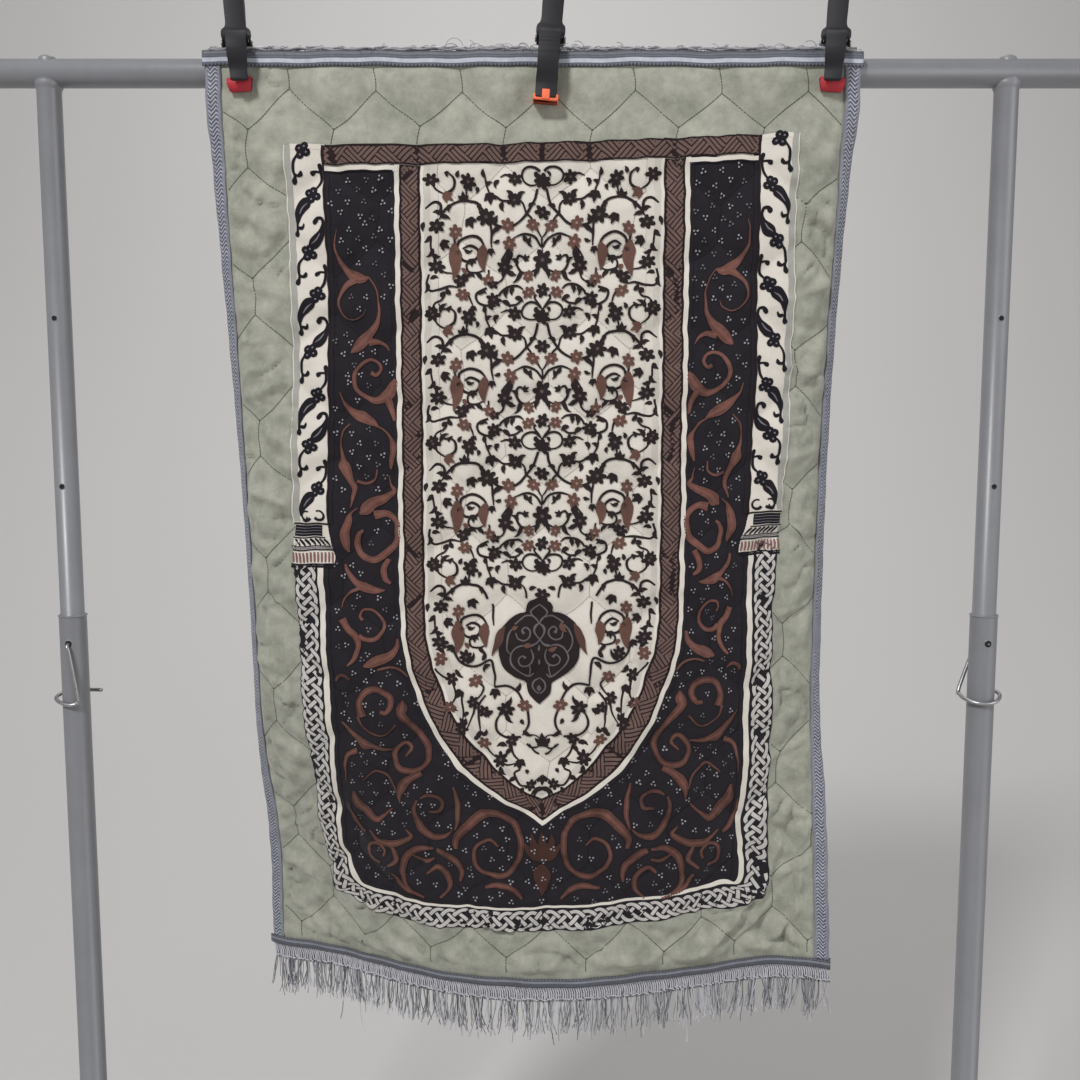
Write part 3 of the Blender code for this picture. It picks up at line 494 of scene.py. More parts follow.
class Finish:
    """A material on the Principled shader. Constants go on the shader's own sockets."""

    def __init__(self, name, constants):
        self.material = bpy.data.materials.new(name)
        self.material.use_nodes = True
        self.tree = self.material.node_tree
        self.shader = self.tree.nodes["Principled BSDF"]
        for socket, value in constants.items():
            self.shader.inputs[socket].default_value = value
        self.place = self.node("TexCoord", {}, {}, output="Object")

    def plug(self, socket, value):
        if isinstance(value, Value):
            self.tree.links.new(value.socket, socket)
        else:
            socket.default_value = value

    def node(self, kind, settings, values, output=0):
        """Any node: its settings or ramp stops first, then its sockets' values or links."""
        made = self.tree.nodes.new("ShaderNode" + kind)
        for key, value in settings.items():
            if key == "stops":
                elements = made.color_ramp.elements
                while len(elements) < len(value):
                    elements.new(1.0)
                for element, (position, colour) in zip(elements, value):
                    element.position = position
                    element.color = colour
            else:
                setattr(made, key, value)
        for key, value in values.items():
            self.plug(made.inputs[key], value)
        return Value(self, made.outputs[output])

    def noise(self, scale, detail=2.0, roughness=0.5, where=None):
        return self.node("TexNoise", {}, {"Vector": where or self.place, "Scale": scale,
                                          "Detail": detail, "Roughness": roughness})

    def mix(self, factor, first, second):
        return self.node("Mix", {"data_type": "RGBA"}, {0: factor, 6: first, 7: second}, output=2)

    def scaled(self, colour, factor):
        if not isinstance(colour, Value):
            colour = tuple(colour)[:3]
        return self.node("VectorMath", {"operation": "SCALE"}, {0: colour, 3: factor})

    def between(self, value, low, high):
        """0 below low, 1 above high, and straight between."""
        return self.node("MapRange", {}, {0: value, 1: low, 2: high})

    def zigzag(self, value, half):
        """Up from 0 to half and down again, over and over."""
        return self.node("Math", {"operation": "PINGPONG"}, {0: value, 1: half})

    def map_place(self):
        """Where a point lies in the piece's own map: two values from 0 to 1."""
        where = self.node("UVMap", {"uv_map": MAP_NAME}, {})
        outputs = self.node("SeparateXYZ", {}, {0: where}).socket.node.outputs
        return Value(self, outputs[0]), Value(self, outputs[1])

    def surface(self, colour, roughness, height=None, distance=0.001, strength=1.0):
        """Link what changes over the surface: colour, roughness and bump."""
        self.plug(self.shader.inputs["Base Color"], colour)
        self.plug(self.shader.inputs["Roughness"], roughness)
        if height is not None:
            bump = self.node("Bump", {}, {"Height": height, "Distance": distance,
                                          "Strength": strength})
            self.plug(self.shader.inputs["Normal"], bump)
        return self.material


def linear(red, green, blue):
    """A screen colour, 0 to 255, as the linear colour that Blender's sockets take."""
    parts = np.array((red, green, blue)) / 255
    curved = np.where(parts > 0.04045, ((parts + 0.055) / 1.055) ** 2.4, parts / 12.92)
    return (*(float(part) for part in curved), 1.0)


def tint(colour, factor):
    return (*(min(1.0, part * factor) for part in colour[:3]), 1.0)


def pile_finish(name, colour, mottling=0.3, nap=1.0, sheen=0.35):
    """Short velvety pile. Clouds 30 mm and streaks 8 mm wide, where the nap lies differently,
    lighten and darken the colour; fine grain lifts the surface.
    """
    finish = Finish(name, {"Sheen Weight": sheen, "Sheen Roughness": 0.45,
                           "Specular IOR Level": 0.15})
    clouds = finish.noise(34.0, 4.0, 0.6)
    streaks = finish.noise(110.0, 3.0, 0.65)
    grain = finish.noise(900.0, 2.0, 0.7)
    shade = 1.0 + ((clouds - 0.5) * 2.8 + (streaks - 0.5) * 1.5) * mottling \
        + (grain - 0.5) * (0.8 * mottling + 0.08)
    height = grain * 0.6 + streaks * 1.2
    return finish.surface(finish.scaled(colour, shade), 0.95 - streaks * 0.15, height,
                          0.0006 * nap, 0.9)


# ---------------------------------------------------------------- figures of the printed design
SKEW = -0.0245
BOW = -0.060
SKEW_ENDS = 0.72
SKEW_RUN = 0.20
# Where the columns and panel edges lean inwards most, two places on each side of the rug:
# place down the rug, how far, and the length over which it fades.
LEAN_LEFT = ((0.26, 0.0062, 0.17), (0.81, 0.0049, 0.14))
LEAN_RIGHT = ((0.18, 0.0050, 0.20), (0.61, 0.0113, 0.18))
HAND = 0.00045
LEVEL = 0.00028
FIRST_LEVEL = 0.0005


def leaning_in(across, drop):
    """How far the print's outer parts are moved towards its middle: nothing within 170 mm of
    it, all of the lean from 235 mm outwards, by 3x² - 2x³ between. Down the rug, a side's lean
    is the sum of its bumps far · exp(-((drop - place) / length)²).
    """
    left, right = (sum(far * np.exp(-((drop - place) / length) ** 2)
                       for place, far, length in bumps) for bumps in (LEAN_LEFT, LEAN_RIGHT))
    return (np.where(across > 0, right, left) * np.sign(across)
            * smooth_step((np.abs(across) - 0.17) / 0.065))


def askew(across, drop):
    """How far the print sits too low: it rises towards the right and towards both sides, less
    towards the bottom.
    """
    return ((SKEW * across + BOW * across ** 2)
            * (1 - smooth_step((drop - SKEW_ENDS) / SKEW_RUN)))


def design_place(u, v):
    """Millimetres of the even drawing as (across, drop) in metres. The print was laid on
    slightly askew, and its outer parts lean inwards. Lines waver by HAND, as if drawn by hand.
    """
    u = u * MM
    v = v * MM
    across = u - leaning_in(u, v)
    return (across + HAND * (np.sin(v * 151 + u * 23) + 0.6 * np.sin(v * 323 + 2.0)),
            v + askew(u, v) + HAND * (np.sin(u * 137 + 1.0) + 0.6 * np.sin(u * 291 + v * 31)))


class Print:
    """Printed figures gathered as flat patches, in millimetres, and laid on the cloth together:
    each point goes to its place on the puffed face and a fraction of a millimetre above it.
    """

    def __init__(self):
        self.points = []
        self.faces = {}
        self.finishes = []
        self.count = 0

    def add(self, places, faces, finish, level, mirrored=True, height=0.0):
        """Patches at (u, v) places; mirrored ones are repeated at -u. level is 1 on the cloth
        and 1 more on each figure below.
        """
        if finish not in self.finishes:
            self.finishes.append(finish)
        slot = self.finishes.index(finish)
        places = places.reshape(-1, 2)
        lift = np.full(len(places), FIRST_LEVEL + LEVEL * level) + np.ravel(height)
        for side in (1, -1) if mirrored else (1,):
            self.points.append(np.column_stack([places[:, 0] * side, places[:, 1], lift]))
            for group in faces:
                kept = self.faces.setdefault(group.shape[1], [])
                kept.append(np.column_stack([group + self.count, np.full(len(group), slot)]))
            self.count += len(places)

    def stroke(self, line, finish, level=2, mirrored=True, step=2.6):
        """A brush stroke: rows of (u, v, width) on a smooth line, width laid off square to it."""
        line = smooth_line(line, step)
        along = np.gradient(line[:, :2], axis=0)
        side = np.stack([-along[:, 1], along[:, 0]], axis=1)
        side /= np.maximum(np.linalg.norm(side, axis=1, keepdims=True), 1e-9)
        width = np.maximum(line[:, 2], 0.15)
        columns = max(2, math.ceil(width.max() / 3.6) + 1)
        share = np.linspace(-0.5, 0.5, columns)
        places = line[:, None, :2] + side[:, None] * (width[:, None] * share)[..., None]
        self.add(places, [grid_faces(len(line), columns)], finish, level, mirrored)

    def stem(self, numbers, finish, level=2, mirrored=True, origin=(0, 0), stretch=1.0):
        """An even stroke from (width, u, v, u, v, ...), thinner at its far end."""
        width, *rest = numbers
        corners = np.array(rest, float).reshape(-1, 2) * (1, stretch) + origin
        widths = np.full(len(corners), width * 1.3)
        widths[-1] *= 0.55
        self.stroke(np.column_stack([corners, widths]), finish, level, mirrored)

    def leaf(self, start, tip, width, finish, bend=0.12, level=2, mirrored=True):
        """A pointed leaf: a stroke from stem to tip that swells to its width a third of the way
        and bows sideways by a share of its length.
        """
        start, tip = np.array(start, float), np.array(tip, float)
        run = tip - start
        aside = np.array((-run[1], run[0])) * bend
        rows = [(*(start + run * f + aside * bow), 1.25 * width * w)
                for f, bow, w in ((0, 0, 0.25), (0.3, 0.8, 1.0), (0.68, 0.9, 0.66), (1, 0, 0.06))]
        self.stroke(rows, finish, level, mirrored, step=2.2)

    def blot(self, centre, radius, finish, lobes=0, depth=0.0, turn=0.0, aspect=1.0, level=3,
             mirrored=True):
        """A round or lobed blot: the edge's radius is radius less depth times a rounded wave
        with that many lobes. Rings 3.6 mm apart or less fill it in to a middle point.
        """
        spokes = max(8, lobes * 4)
        rings = max(1, math.ceil(radius / 3.8))
        angle = np.arange(spokes) / spokes * TAU
        wave = np.abs(np.cos(lobes * angle / 2)) if lobes else np.ones(spokes)
        uneven = 0.1 * np.sin(2 * angle + turn) if lobes else 0
        reach = radius * (1 - depth * (1 - wave)) * (1 + uneven)
        share = (np.arange(rings) + 1) / rings
        flat = np.stack([np.cos(angle) * reach, np.sin(angle) * reach * aspect], axis=-1)
        tilt = math.radians(turn)
        flat = flat @ np.array(((math.cos(tilt), math.sin(tilt)),
                                (-math.sin(tilt), math.cos(tilt))))
        rows = share[:, None, None] * flat + np.array(centre)
        places = np.concatenate([rows.reshape(-1, 2), [centre]])
        ring = np.arange(spokes)
        middle = np.full(spokes, len(places) - 1)
        fan = np.stack([middle, ring, (ring + 1) % spokes], axis=1)
        self.add(places, [fan, grid_faces(rings, spokes, closed=True)], finish, level, mirrored)

    def flower(self, centre, radius, finish, heart, petals, turn, mirrored=True):
        self.blot(centre, radius * 1.08, finish, petals, 0.42, turn, mirrored=mirrored)
        self.blot(centre, radius * 0.2, heart, level=4, mirrored=mirrored)

    def lay(self, name):
        """One piece of all the figures. A face whose corners run the wrong way is reversed."""
        flat = np.concatenate(self.points)
        across, drop = design_place(flat[:, 0], flat[:, 1])
        points = on_cloth(across, drop, face_lift(across, drop) + flat[:, 2])
        groups = []
        slots = []
        for size, rows in self.faces.items():
            rows = np.concatenate(rows)
            group, slot = rows[:, :-1], rows[:, -1]
            a, b, c = (flat[group[:, k], :2] for k in (0, 1, size - 1))
            cross = (b - a)[:, 0] * (c - a)[:, 1] - (b - a)[:, 1] * (c - a)[:, 0]
            group = np.where(cross[:, None] > 0, group[:, ::-1], group)
            groups.append(group)
            slots.append(slot)
        piece = make_piece(name, points, groups, self.finishes, np.concatenate(slots))
        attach(piece, "root")
        return piece


class Track:
    """A band of the design along a smooth line. Rows of (u, v, half u, half v): its middle and
    the step from the middle to its outer edge. It is read by the distance along it and by the
    share of the way to the outer edge.
    """
    STEP = 4.0
    STRIP_STEP = 3.2
    PLAIT_SAMPLES = 26

    def __init__(self, rows):
        self.rows = rows
        steps = np.linalg.norm(np.diff(rows[:, :2], axis=0), axis=1)
        self.at = np.concatenate([[0], np.cumsum(steps)])
        self.length = self.at[-1]
        self.half = np.median(np.linalg.norm(rows[:, 2:], axis=1))

    @classmethod
    def between(cls, outer, inner):
        rows = smooth_line(np.column_stack([outer, inner]), cls.STEP)
        return cls(np.column_stack([(rows[:, :2] + rows[:, 2:]) / 2,
                                    (rows[:, :2] - rows[:, 2:]) / 2]))

    @classmethod
    def around(cls, line, half):
        rows = smooth_line(line, cls.STEP)
        along = np.gradient(rows, axis=0)
        side = np.stack([along[:, 1], -along[:, 0]], axis=1)
        side /= np.linalg.norm(side, axis=1, keepdims=True)
        return cls(np.column_stack([rows, side * half]))

    def place(self, along, share):
        read = np.stack([np.interp(along, self.at, column) for column in self.rows.T], axis=-1)
        return read[..., :2] + read[..., 2:] * np.asarray(share)[..., None]

    def strip(self, sheet, low, high, finish, level, mirrored):
        """A strip of the band between two shares of its half width. Each share is a number, or
        a table of (places along, shares).
        """
        along = np.linspace(0, self.length, max(2, math.ceil(self.length / self.STRIP_STEP)))
        low, high = (np.interp(along / self.length, *np.array(edge)) if isinstance(edge, tuple)
                     else np.full(len(along), edge) for edge in (low, high))
        columns = max(2, math.ceil((high - low).max() * self.half / 3.4) + 1)
        across = np.linspace(0, 1, columns)[None]
        places = self.place(along[:, None], low[:, None] * (1 - across) + high[:, None] * across)
        sheet.add(places, [grid_faces(len(along), columns)], finish, level, mirrored)

    def braid(self, sheet, swing, period, widths, finishes, level):
        """A flat plait of four strands. A strand swings to and fro as a sine, a quarter of a
        period after the one before, and rises and falls as cos(a)·cos(4a), which puts it over
        and under the others by turns. Each has a dark outline just below it.
        """
        along = np.arange(0, self.length, period / self.PLAIT_SAMPLES)
        for strand in range(4):
            phase = TAU * (along / period + strand / 4) + 0.16 * np.sin(along * 0.083 + strand)
            aside = swing * np.sin(phase)
            slope = swing * np.cos(phase) * TAU / period
            square = np.stack([-slope, np.ones_like(slope)], axis=1)
            square /= np.linalg.norm(square, axis=1, keepdims=True)
            over = np.cos(phase) * np.cos(4 * phase)
            for width, finish, above in zip(widths, finishes, (0.0, 0.00014)):
                edge = np.array((-0.5, 0.5)) * width * (0.9 + 0.1 * over[:, None])
                s = along[:, None] + square[:, :1] * edge
                y = aside[:, None] + square[:, 1:] * edge
                places = self.place(np.clip(s, 0, self.length), y / self.half)
                height = np.repeat((0.00026 * over + above)[:, None], 2, axis=1)
                sheet.add(places, [grid_faces(len(along), 2)], finish, level, False, height)

    def slats(self, sheet, half, middle, spacing, count, run, widths, finishes, level):
        """A basket border of slanting slats: sets of parallel slats that start at either edge by
        turns and cross straight to the other. A slat sinks along its length, so that its end
        lies under the set that starts there; late slats lie lowest and fill the gaps.
        """
        share = np.linspace(0, 1, 7)
        side = 1
        late = math.ceil(run / spacing)
        for start in np.arange(-run - spacing * count, self.length, spacing * count):
            side = -side
            for number in range(count + late):
                s = start + number * spacing + run * share
                y = middle + side * (half + 1.5) * (1 - 2 * share)
                slope = np.gradient(y, s)
                square = np.stack([-slope, np.ones_like(slope)], axis=1)
                square /= np.linalg.norm(square, axis=1, keepdims=True)
                sink = (0.0005 * (1 - share) if number < count
                        else -0.00008 - 0.000014 * number * share)
                for width, finish, above in zip(widths, finishes, (0.0, 0.00012)):
                    edge = np.array((-0.5, 0.5)) * width
                    place_s = s[:, None] + square[:, :1] * edge
                    place_y = np.clip(y[:, None] + square[:, 1:] * edge, middle - half - 0.6,
                                      middle + half + 0.6)
                    kept = (place_s.min(axis=1) >= 0) & (place_s.max(axis=1) <= self.length)
                    if kept.sum() < 2:
                        continue
                    places = self.place(place_s[kept], place_y[kept] / self.half)
                    height = np.repeat((above + sink)[kept, None], 2, axis=1)
                    sheet.add(places, [grid_faces(int(kept.sum()), 2)], finish, level, True,
                              height)


def arc(centre, radii, degrees, widths, count=9):
    """Rows of (u, v, width) on an arc; degrees from +u towards +v."""
    angle = np.radians(np.linspace(*degrees, count))
    return np.column_stack([centre[0] + radii[0] * np.cos(angle),
                            centre[1] + radii[1] * np.sin(angle), np.linspace(*widths, count)])


# Outer and inner edge of the niche's border, (u, v), from the top down to its point.
NICHE_OUTER = ((157, 118), (157, 250), (157, 420), (157, 560), (156.5, 614), (153, 649),
               (145, 686), (126, 735), (99, 780), (70, 807), (35, 830), (0, 851))
NICHE_INNER = ((132.5, 118), (132.5, 250), (132.5, 420), (132.5, 560), (132, 614), (128, 649),
               (120, 680), (104, 720), (80, 758), (52, 788), (25, 812), (0, 825))
PANEL_TOP = 119
PANEL_OUT = 239.5
COLUMN_OUT = 273.4
TOP_BAND = (97.6, 117.0)
TOP_BAND_OUT = 238.5
CAPITAL = (506, 556)
# Outer and inner edge of the white plait, from each capital down and round to the centre line.
FRAME_LEFT = (
    ((-278, 552), (-278, 640), (-278, 740), (-278.5, 820), (-279, 865), (-275, 905), (-270, 938),
     (-270.5, 964), (-242, 964), (-212, 977), (-175, 982.5), (-126, 984.5), (-70, 982.5),
     (0, 983)),
    ((-252.9, 552), (-252.9, 640), (-252.9, 740), (-253.5, 820), (-255, 868), (-254, 898),
     (-247, 922), (-237, 941), (-224, 948), (-207, 953), (-174, 957), (-128, 959), (-70, 958),
     (0, 955.9)))
FRAME_RIGHT = (
    ((278, 540), (278, 640), (278, 740), (276, 820), (275, 864), (276, 907), (277.5, 932),
     (276, 957), (256, 967), (228, 972), (199, 971), (168, 973), (100, 978), (0, 983)),
    ((252.9, 540), (252.9, 640), (251, 740), (247, 820), (243, 867), (245, 892), (247, 918),
     (242, 941), (229, 942), (213, 943), (196, 946), (168, 947.5), (100, 951), (0, 955.9)))
# Where the black ground inside the frame's white line ends: |u| and the lowest v there.
PANEL_FOOT_TOP = 900
PANEL_FOOT = ((0, 951), (135, 951), (175, 944), (205, 938), (228, 930), (238, 905), (240, 600))

# Where the plaits' black ground ends in the lower corners: lowest v, and |u| there.
FRAME_GROUND = ((900, 266), (930, 260), (948, 245), (958, 215), (967, 150), (970, 0))


def track_niche():
    return Track.between(NICHE_OUTER, NICHE_INNER)


def ground_slot(across, drop):
    """Which printed ground covers a place: 0 plush, 1 black, 2 white, 3 brown. The place goes
    back to the even drawing first, its lean by one corrected guess.
    """
    even = across + leaning_in(across, drop)
    u = np.abs(across + leaning_in(even, drop)) / MM
    v = (drop - askew(across, drop)) / MM
    outer_u, inner_u = (np.interp(v, *np.array(edge).T[::-1], right=-1)
                        for edge in (NICHE_OUTER, NICHE_INNER))
    slot = np.zeros(np.shape(u), int)
    slot[(v > TOP_BAND[0]) & (v < CAPITAL[0]) & (u < COLUMN_OUT)] = 2
    frame_out = np.interp(v, *np.array(FRAME_GROUND).T, right=-1)
    slot[(v > CAPITAL[0]) & (u < frame_out)] = 1
    slot[(v > PANEL_TOP) & (u < PANEL_OUT)] = 1
    slot[(v > PANEL_FOOT_TOP) & (u >= frame_out)] = 0
    slot[(v > TOP_BAND[0]) & (v < TOP_BAND[1]) & (u < TOP_BAND_OUT)] = 3
    slot[(v > PANEL_TOP) & (u < outer_u)] = 3
    slot[(v > PANEL_TOP - 3) & (u < inner_u)] = 2
    return slot


# ---------------------------------------------------------------- sizes and colours to change
def colour_property(name, description, red, green, blue):
    return FloatVectorProperty(name=name, description=description, size=4, subtype="COLOR",
                               min=0.0, max=1.0, default=linear(red, green, blue))


def length_property(name, description, value, low, high):
    return FloatProperty(name=name, description=description, default=value, min=low, max=high,
                         unit="LENGTH")


def power_property(name, description, value):
    return FloatProperty(name=name, description=description, default=value, min=0.0,
                         unit="POWER")


class RugClothSettings(bpy.types.PropertyGroup):
    cell_height: length_property(
        "Cell height", "How far a quilted cell stands above its seams", 0.0060, 0.0, 0.008)
    unevenness: length_property(
        "Unevenness", "Height of the padding's own ripples", 0.0040, 0.0, 0.006)
    seam_half_thickness: length_property(
        "Half thickness at seams", "From the middle of the cloth to a seam", 0.0018, 0.001, 0.004)
    face_step: length_property(
        "Mesh step", "Spacing of the points on the plush face", 0.0034, 0.002, 0.02)
    plush: colour_property("Plush", "Sage green pile of the margins", 159, 160, 147)
    backing: colour_property("Backing", "Plain cloth on the back", 150, 155, 140)
    # Darker than the thread alone: part of this colour is painted shade of the seams' grooves.
    thread: colour_property("Quilting thread", "Thread of the honeycomb seams", 84, 87, 74)


class RugPrintSettings(bpy.types.PropertyGroup):
    black: colour_property("Black ground", "Printed ground of the side panels", 36, 33, 38)
    white: colour_property("White ground", "Printed ground of the niche", 218, 211, 201)
    brown: colour_property("Brown strands", "Light strands of the niche's border", 108, 87, 81)
    outline: colour_property("Outlines", "Dark lines of the plaits", 40, 30, 32)
    dark_motif: colour_property("Dark motifs", "Stems and dark flowers", 42, 34, 35)
    brown_motif: colour_property("Brown motifs", "Brown flowers and leaves", 100, 72, 64)
    scroll: colour_property("Scrolls", "Brown scrolls of the black panels", 106, 72, 64)
    dots: colour_property("Dots", "Small grey dots of the black panels", 150, 148, 152)
    vine: colour_property("Vine", "Vine of the two columns", 28, 26, 31)
    pale_strand: colour_property("Pale strands", "Strands of the outer plait", 192, 188, 184)


class RugTrimSettings(bpy.types.PropertyGroup):
    tape_dark: colour_property("Tape ground", "Dark threads of the side tapes", 82, 84, 95)
    tape_light: colour_property("Tape threads", "Light threads of the side tapes", 172, 174, 186)
    band: colour_property("Band", "Satin of the end bands", 98, 101, 112)
    band_stripe: colour_property("Band stripe", "Pale stripe of the end bands", 196, 199, 212)
    yarn: colour_property("Fringe yarn", "Threads of both fringes", 200, 200, 207)
    fringe_threads: IntProperty(
        name="Fringe threads", description="Threads in the bottom fringe",
        default=700, min=50, max=1600)
    thread_radius: length_property(
        "Thread radius", "Radius of one thread of the fringes", 0.00058, 0.0001, 0.001)


class RugStandSettings(bpy.types.PropertyGroup):
    paint: colour_property("Paint", "Grey paint of the tubes", 126, 127, 131)
    clamp_plastic: colour_property("Clamp plastic", "Black plastic of the clamps", 33, 32, 37)
    red_pad: colour_property("Red pads", "Pads of the outer clamps", 184, 52, 62)
    orange_pad: colour_property("Orange pads", "Pads of the middle clamp", 250, 118, 78)
    tube_sides: IntProperty(
        name="Tube sides", description="Flats round each tube of the stand",
        default=56, min=16, max=128)


class RugStageSettings(bpy.types.PropertyGroup):
    wall: colour_property("Floor and backdrop", "The one plain pale colour", 202, 200, 198)
    key_power: power_property("Key light", "Soft light from the upper left front", 160.0)
    fill_power: power_property("Fill light", "Soft light from the right", 22.0)
    backdrop_power: power_property("Backdrop light", "Soft light on the backdrop alone", 58.0)
    surround: FloatProperty(
        name="Surround", description="Strength of the pale surroundings",
        default=0.40, min=0.0, max=4.0, subtype="FACTOR")


def placed(piece, slot, *nodes):
    """Say that a piece moves with the rug and stands for nodes, which are hidden.
    slot is not used.
    """
    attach(piece, "root")
    if nodes:
        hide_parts(*nodes)
    return piece


def add_body(name, body, finish, slot, node):
    """A piece of one finish, made from a (points, faces) pair, that stands for one node."""
    return placed(make_piece(name, *body, [finish]), slot, node)


# ---------------------------------------------------------------- the padded cloth
EDGE_INSET = 0.0032
BACK_SHARE = 0.45
# The cloth's map: where its front and its back start, and the width of each.
FRONT_MAP = 0.005
BACK_MAP = 0.51
MAP_SPAN = 0.485


class RUG_OT_cloth(bpy.types.Operator):
    """Quilted cloth: a fine front grid and a back grid of every second point, closed round"""
    bl_idname = "rug.cloth"
    bl_label = "Quilted cloth"

    def execute(self, context):
        cloth, printed = context.scene.rug_cloth, context.scene.rug_print
        rows = 2 * round((RUG_LENGTH - 2 * EDGE_INSET) / cloth.face_step / 2) + 1
        columns = 2 * round((EDGE_RIGHT_TOP - EDGE_LEFT) / cloth.face_step / 2) + 1
        share, drop = np.meshgrid(np.linspace(0, 1, columns),
                                  np.linspace(EDGE_INSET, RUG_LENGTH - EDGE_INSET, rows))
        left = EDGE_LEFT + EDGE_INSET
        across = left + share * (edge_right(drop) - EDGE_INSET - left)
        lift = face_lift(across, drop)
        front = on_cloth(across, drop, lift)
        low = cloth.seam_half_thickness
        back = on_cloth(across, drop, -(low + (lift - low) * BACK_SHARE))[::2, ::2]
        back_rows, back_columns = back.shape[:2]
        f = np.arange(rows * columns).reshape(rows, columns)
        b = f.size + np.arange(back_rows * back_columns).reshape(back_rows, back_columns)
        rims = []
        for fine, coarse in ((f[0], b[0]), (f[-1, ::-1], b[-1, ::-1]),
                             (f[::-1, 0], b[::-1, 0]), (f[:, -1], b[:, -1])):
            rims.append(np.stack([fine[:-2:2], fine[1::2], fine[2::2], coarse[1:], coarse[:-1]],
                                 axis=1))
        quads = np.concatenate([grid_faces(rows, columns)[:, ::-1],
                                grid_faces(back_rows, back_columns) + f.size])
        rims = np.concatenate(rims)

        middle = (slice(None, -1), slice(None, -1))
        half_step = cloth.face_step / 2
        front_slots = ground_slot(across[middle] + half_step, drop[middle] + half_step).ravel()
        others = len(quads) - len(front_slots) + len(rims)
        slots = np.concatenate([front_slots, np.full(others, 4)])
        fall = 1 - drop / RUG_LENGTH
        front_uv = np.stack([FRONT_MAP + share * MAP_SPAN, fall], axis=-1).reshape(-1, 2)
        back_uv = np.stack([BACK_MAP + share * MAP_SPAN, fall], axis=-1)[::2, ::2].reshape(-1, 2)
        uv = np.concatenate([front_uv, back_uv])[quads.ravel()]
        uv = np.concatenate([uv, np.full((rims.size, 2), 0.5)])

        finishes = [
            pile_finish("plush", cloth.plush, 0.34, 1.2),
            pile_finish("black ground", printed.black, 0.22, 1.0, 0.12),
            pile_finish("white ground", printed.white, 0.07, 1.0, 0.25),
            pile_finish("brown ground", printed.outline, 0.2, 1.0, 0.2),
            pile_finish("backing", cloth.backing, 0.12, 0.5, 0.2),
        ]
        points = np.concatenate([front.reshape(-1, 3), back.reshape(-1, 3)])
        piece = make_piece("rug_cloth", points, [quads, rims], finishes, slots, uv)
        placed(piece, "plush", "rug_quilt")
        return {"FINISHED"}


def seam_lines():
    """Every straight run of the honeycomb: start and end (across, drop), two slants and one
    upright for each corner of the lattice.
    """
    half = CELL_WIDTH / 2
    pitch = ZIGZAG_RISE + SEAM_UPRIGHT
    runs = []
    for row in range(-1, 15):
        peak = CELL_CENTRE[1] + row * pitch - SEAM_UPRIGHT / 2 - ZIGZAG_RISE
        shift = half * (row % 2)
        for column in range(-5, 6):
            u = CELL_CENTRE[0] + column * CELL_WIDTH + shift
            valley = peak + ZIGZAG_RISE
            runs += [(u, peak, u + half, valley), (u, peak, u - half, valley),
                     (u, peak, u, peak - SEAM_UPRIGHT)]
    return np.array(runs)


class RUG_OT_seams(bpy.types.Operator):
    """Stitches of the honeycomb: short humps of thread end to end along every seam. Their
    colours are darker than thread: painted shade of the seams' grooves.
    """
    bl_idname = "rug.seams"
    bl_label = "Quilting stitches"

    def execute(self, context):
        cloth, printed = context.scene.rug_cloth, context.scene.rug_print
        pitch, length, width = 0.0034, 0.0030, 0.0010
        places = []
        for u0, v0, u1, v1 in seam_lines():
            run = np.array((u1 - u0, v1 - v0))
            reach = np.linalg.norm(run)
            start = (np.arange(math.ceil(reach / pitch)) + 0.5) * pitch
            along = run / reach
            square = np.array((-along[1], along[0]))
            t = start[:, None, None, None] + (np.linspace(-0.5, 0.5, 3) * length)[:, None, None]
            s = (np.array((-0.5, 0.5)) * width)[:, None]
            places.append(np.array((u0, v0)) + t * along + s * square)
        places = np.concatenate(places)
        across = places[..., 0]
        drop = places[..., 1]
        across = across - wander_across(drop)
        drop = drop - wander_down(across)
        inside = edge_distance(across, drop).min(axis=(1, 2)) > TAPE_WIDTH
        across, drop = across[inside], drop[inside]
        hump = np.array((0.0, 0.0003, 0.0))[:, None] + 0.0002
        points = on_cloth(across, drop, face_lift(across, drop) + hump)
        count = len(points)
        faces = (np.arange(count)[:, None, None] * 6 + grid_faces(3, 2)[:, ::-1]).reshape(-1, 4)
        ground = ground_slot(across.mean(axis=(1, 2)), drop.mean(axis=(1, 2)))
        # Painted groove shade: dark thread on the plush, and on the printed grounds the ground's
        # own colour darkened, so that each seam reads as a shaded groove.
        finishes = [pile_finish("quilting thread", cloth.thread, 0.1, 0.3),
                    pile_finish("groove shade on black", tint(printed.black, 0.7), 0.1, 0.3, 0.1),
                    pile_finish("groove shade on white", tint(printed.white, 0.62), 0.1, 0.3)]
        slots = np.repeat(np.where(ground == 3, 1, ground), 2)
        placed(make_piece("seam_stitches", points, [faces], finishes, slots), "plush")
        return {"FINISHED"}


# ---------------------------------------------------------------- trims
TAPE_THICKNESS = 0.0012
WRAP_LIFT = 0.0028


def wrap_loop(width):
    """Section of a folded binding as a closed loop of (inset, lift): out along the front, round
    the edge in a half circle, in along the back, then back along the inner wall.
    """
    outer = WRAP_LIFT + TAPE_THICKNESS
    fold = np.linspace(0, math.pi, 9)
    flat = np.linspace(width, outer, 6)[:-1]

    def wall(lift):
        bend = np.column_stack([outer - lift * np.sin(fold), lift * np.cos(fold)])
        return np.concatenate([np.column_stack([flat, np.full(len(flat), lift)]), bend,
                               np.column_stack([flat[::-1], np.full(len(flat), -lift)])])

    return np.concatenate([wall(outer), wall(WRAP_LIFT)[::-1]])


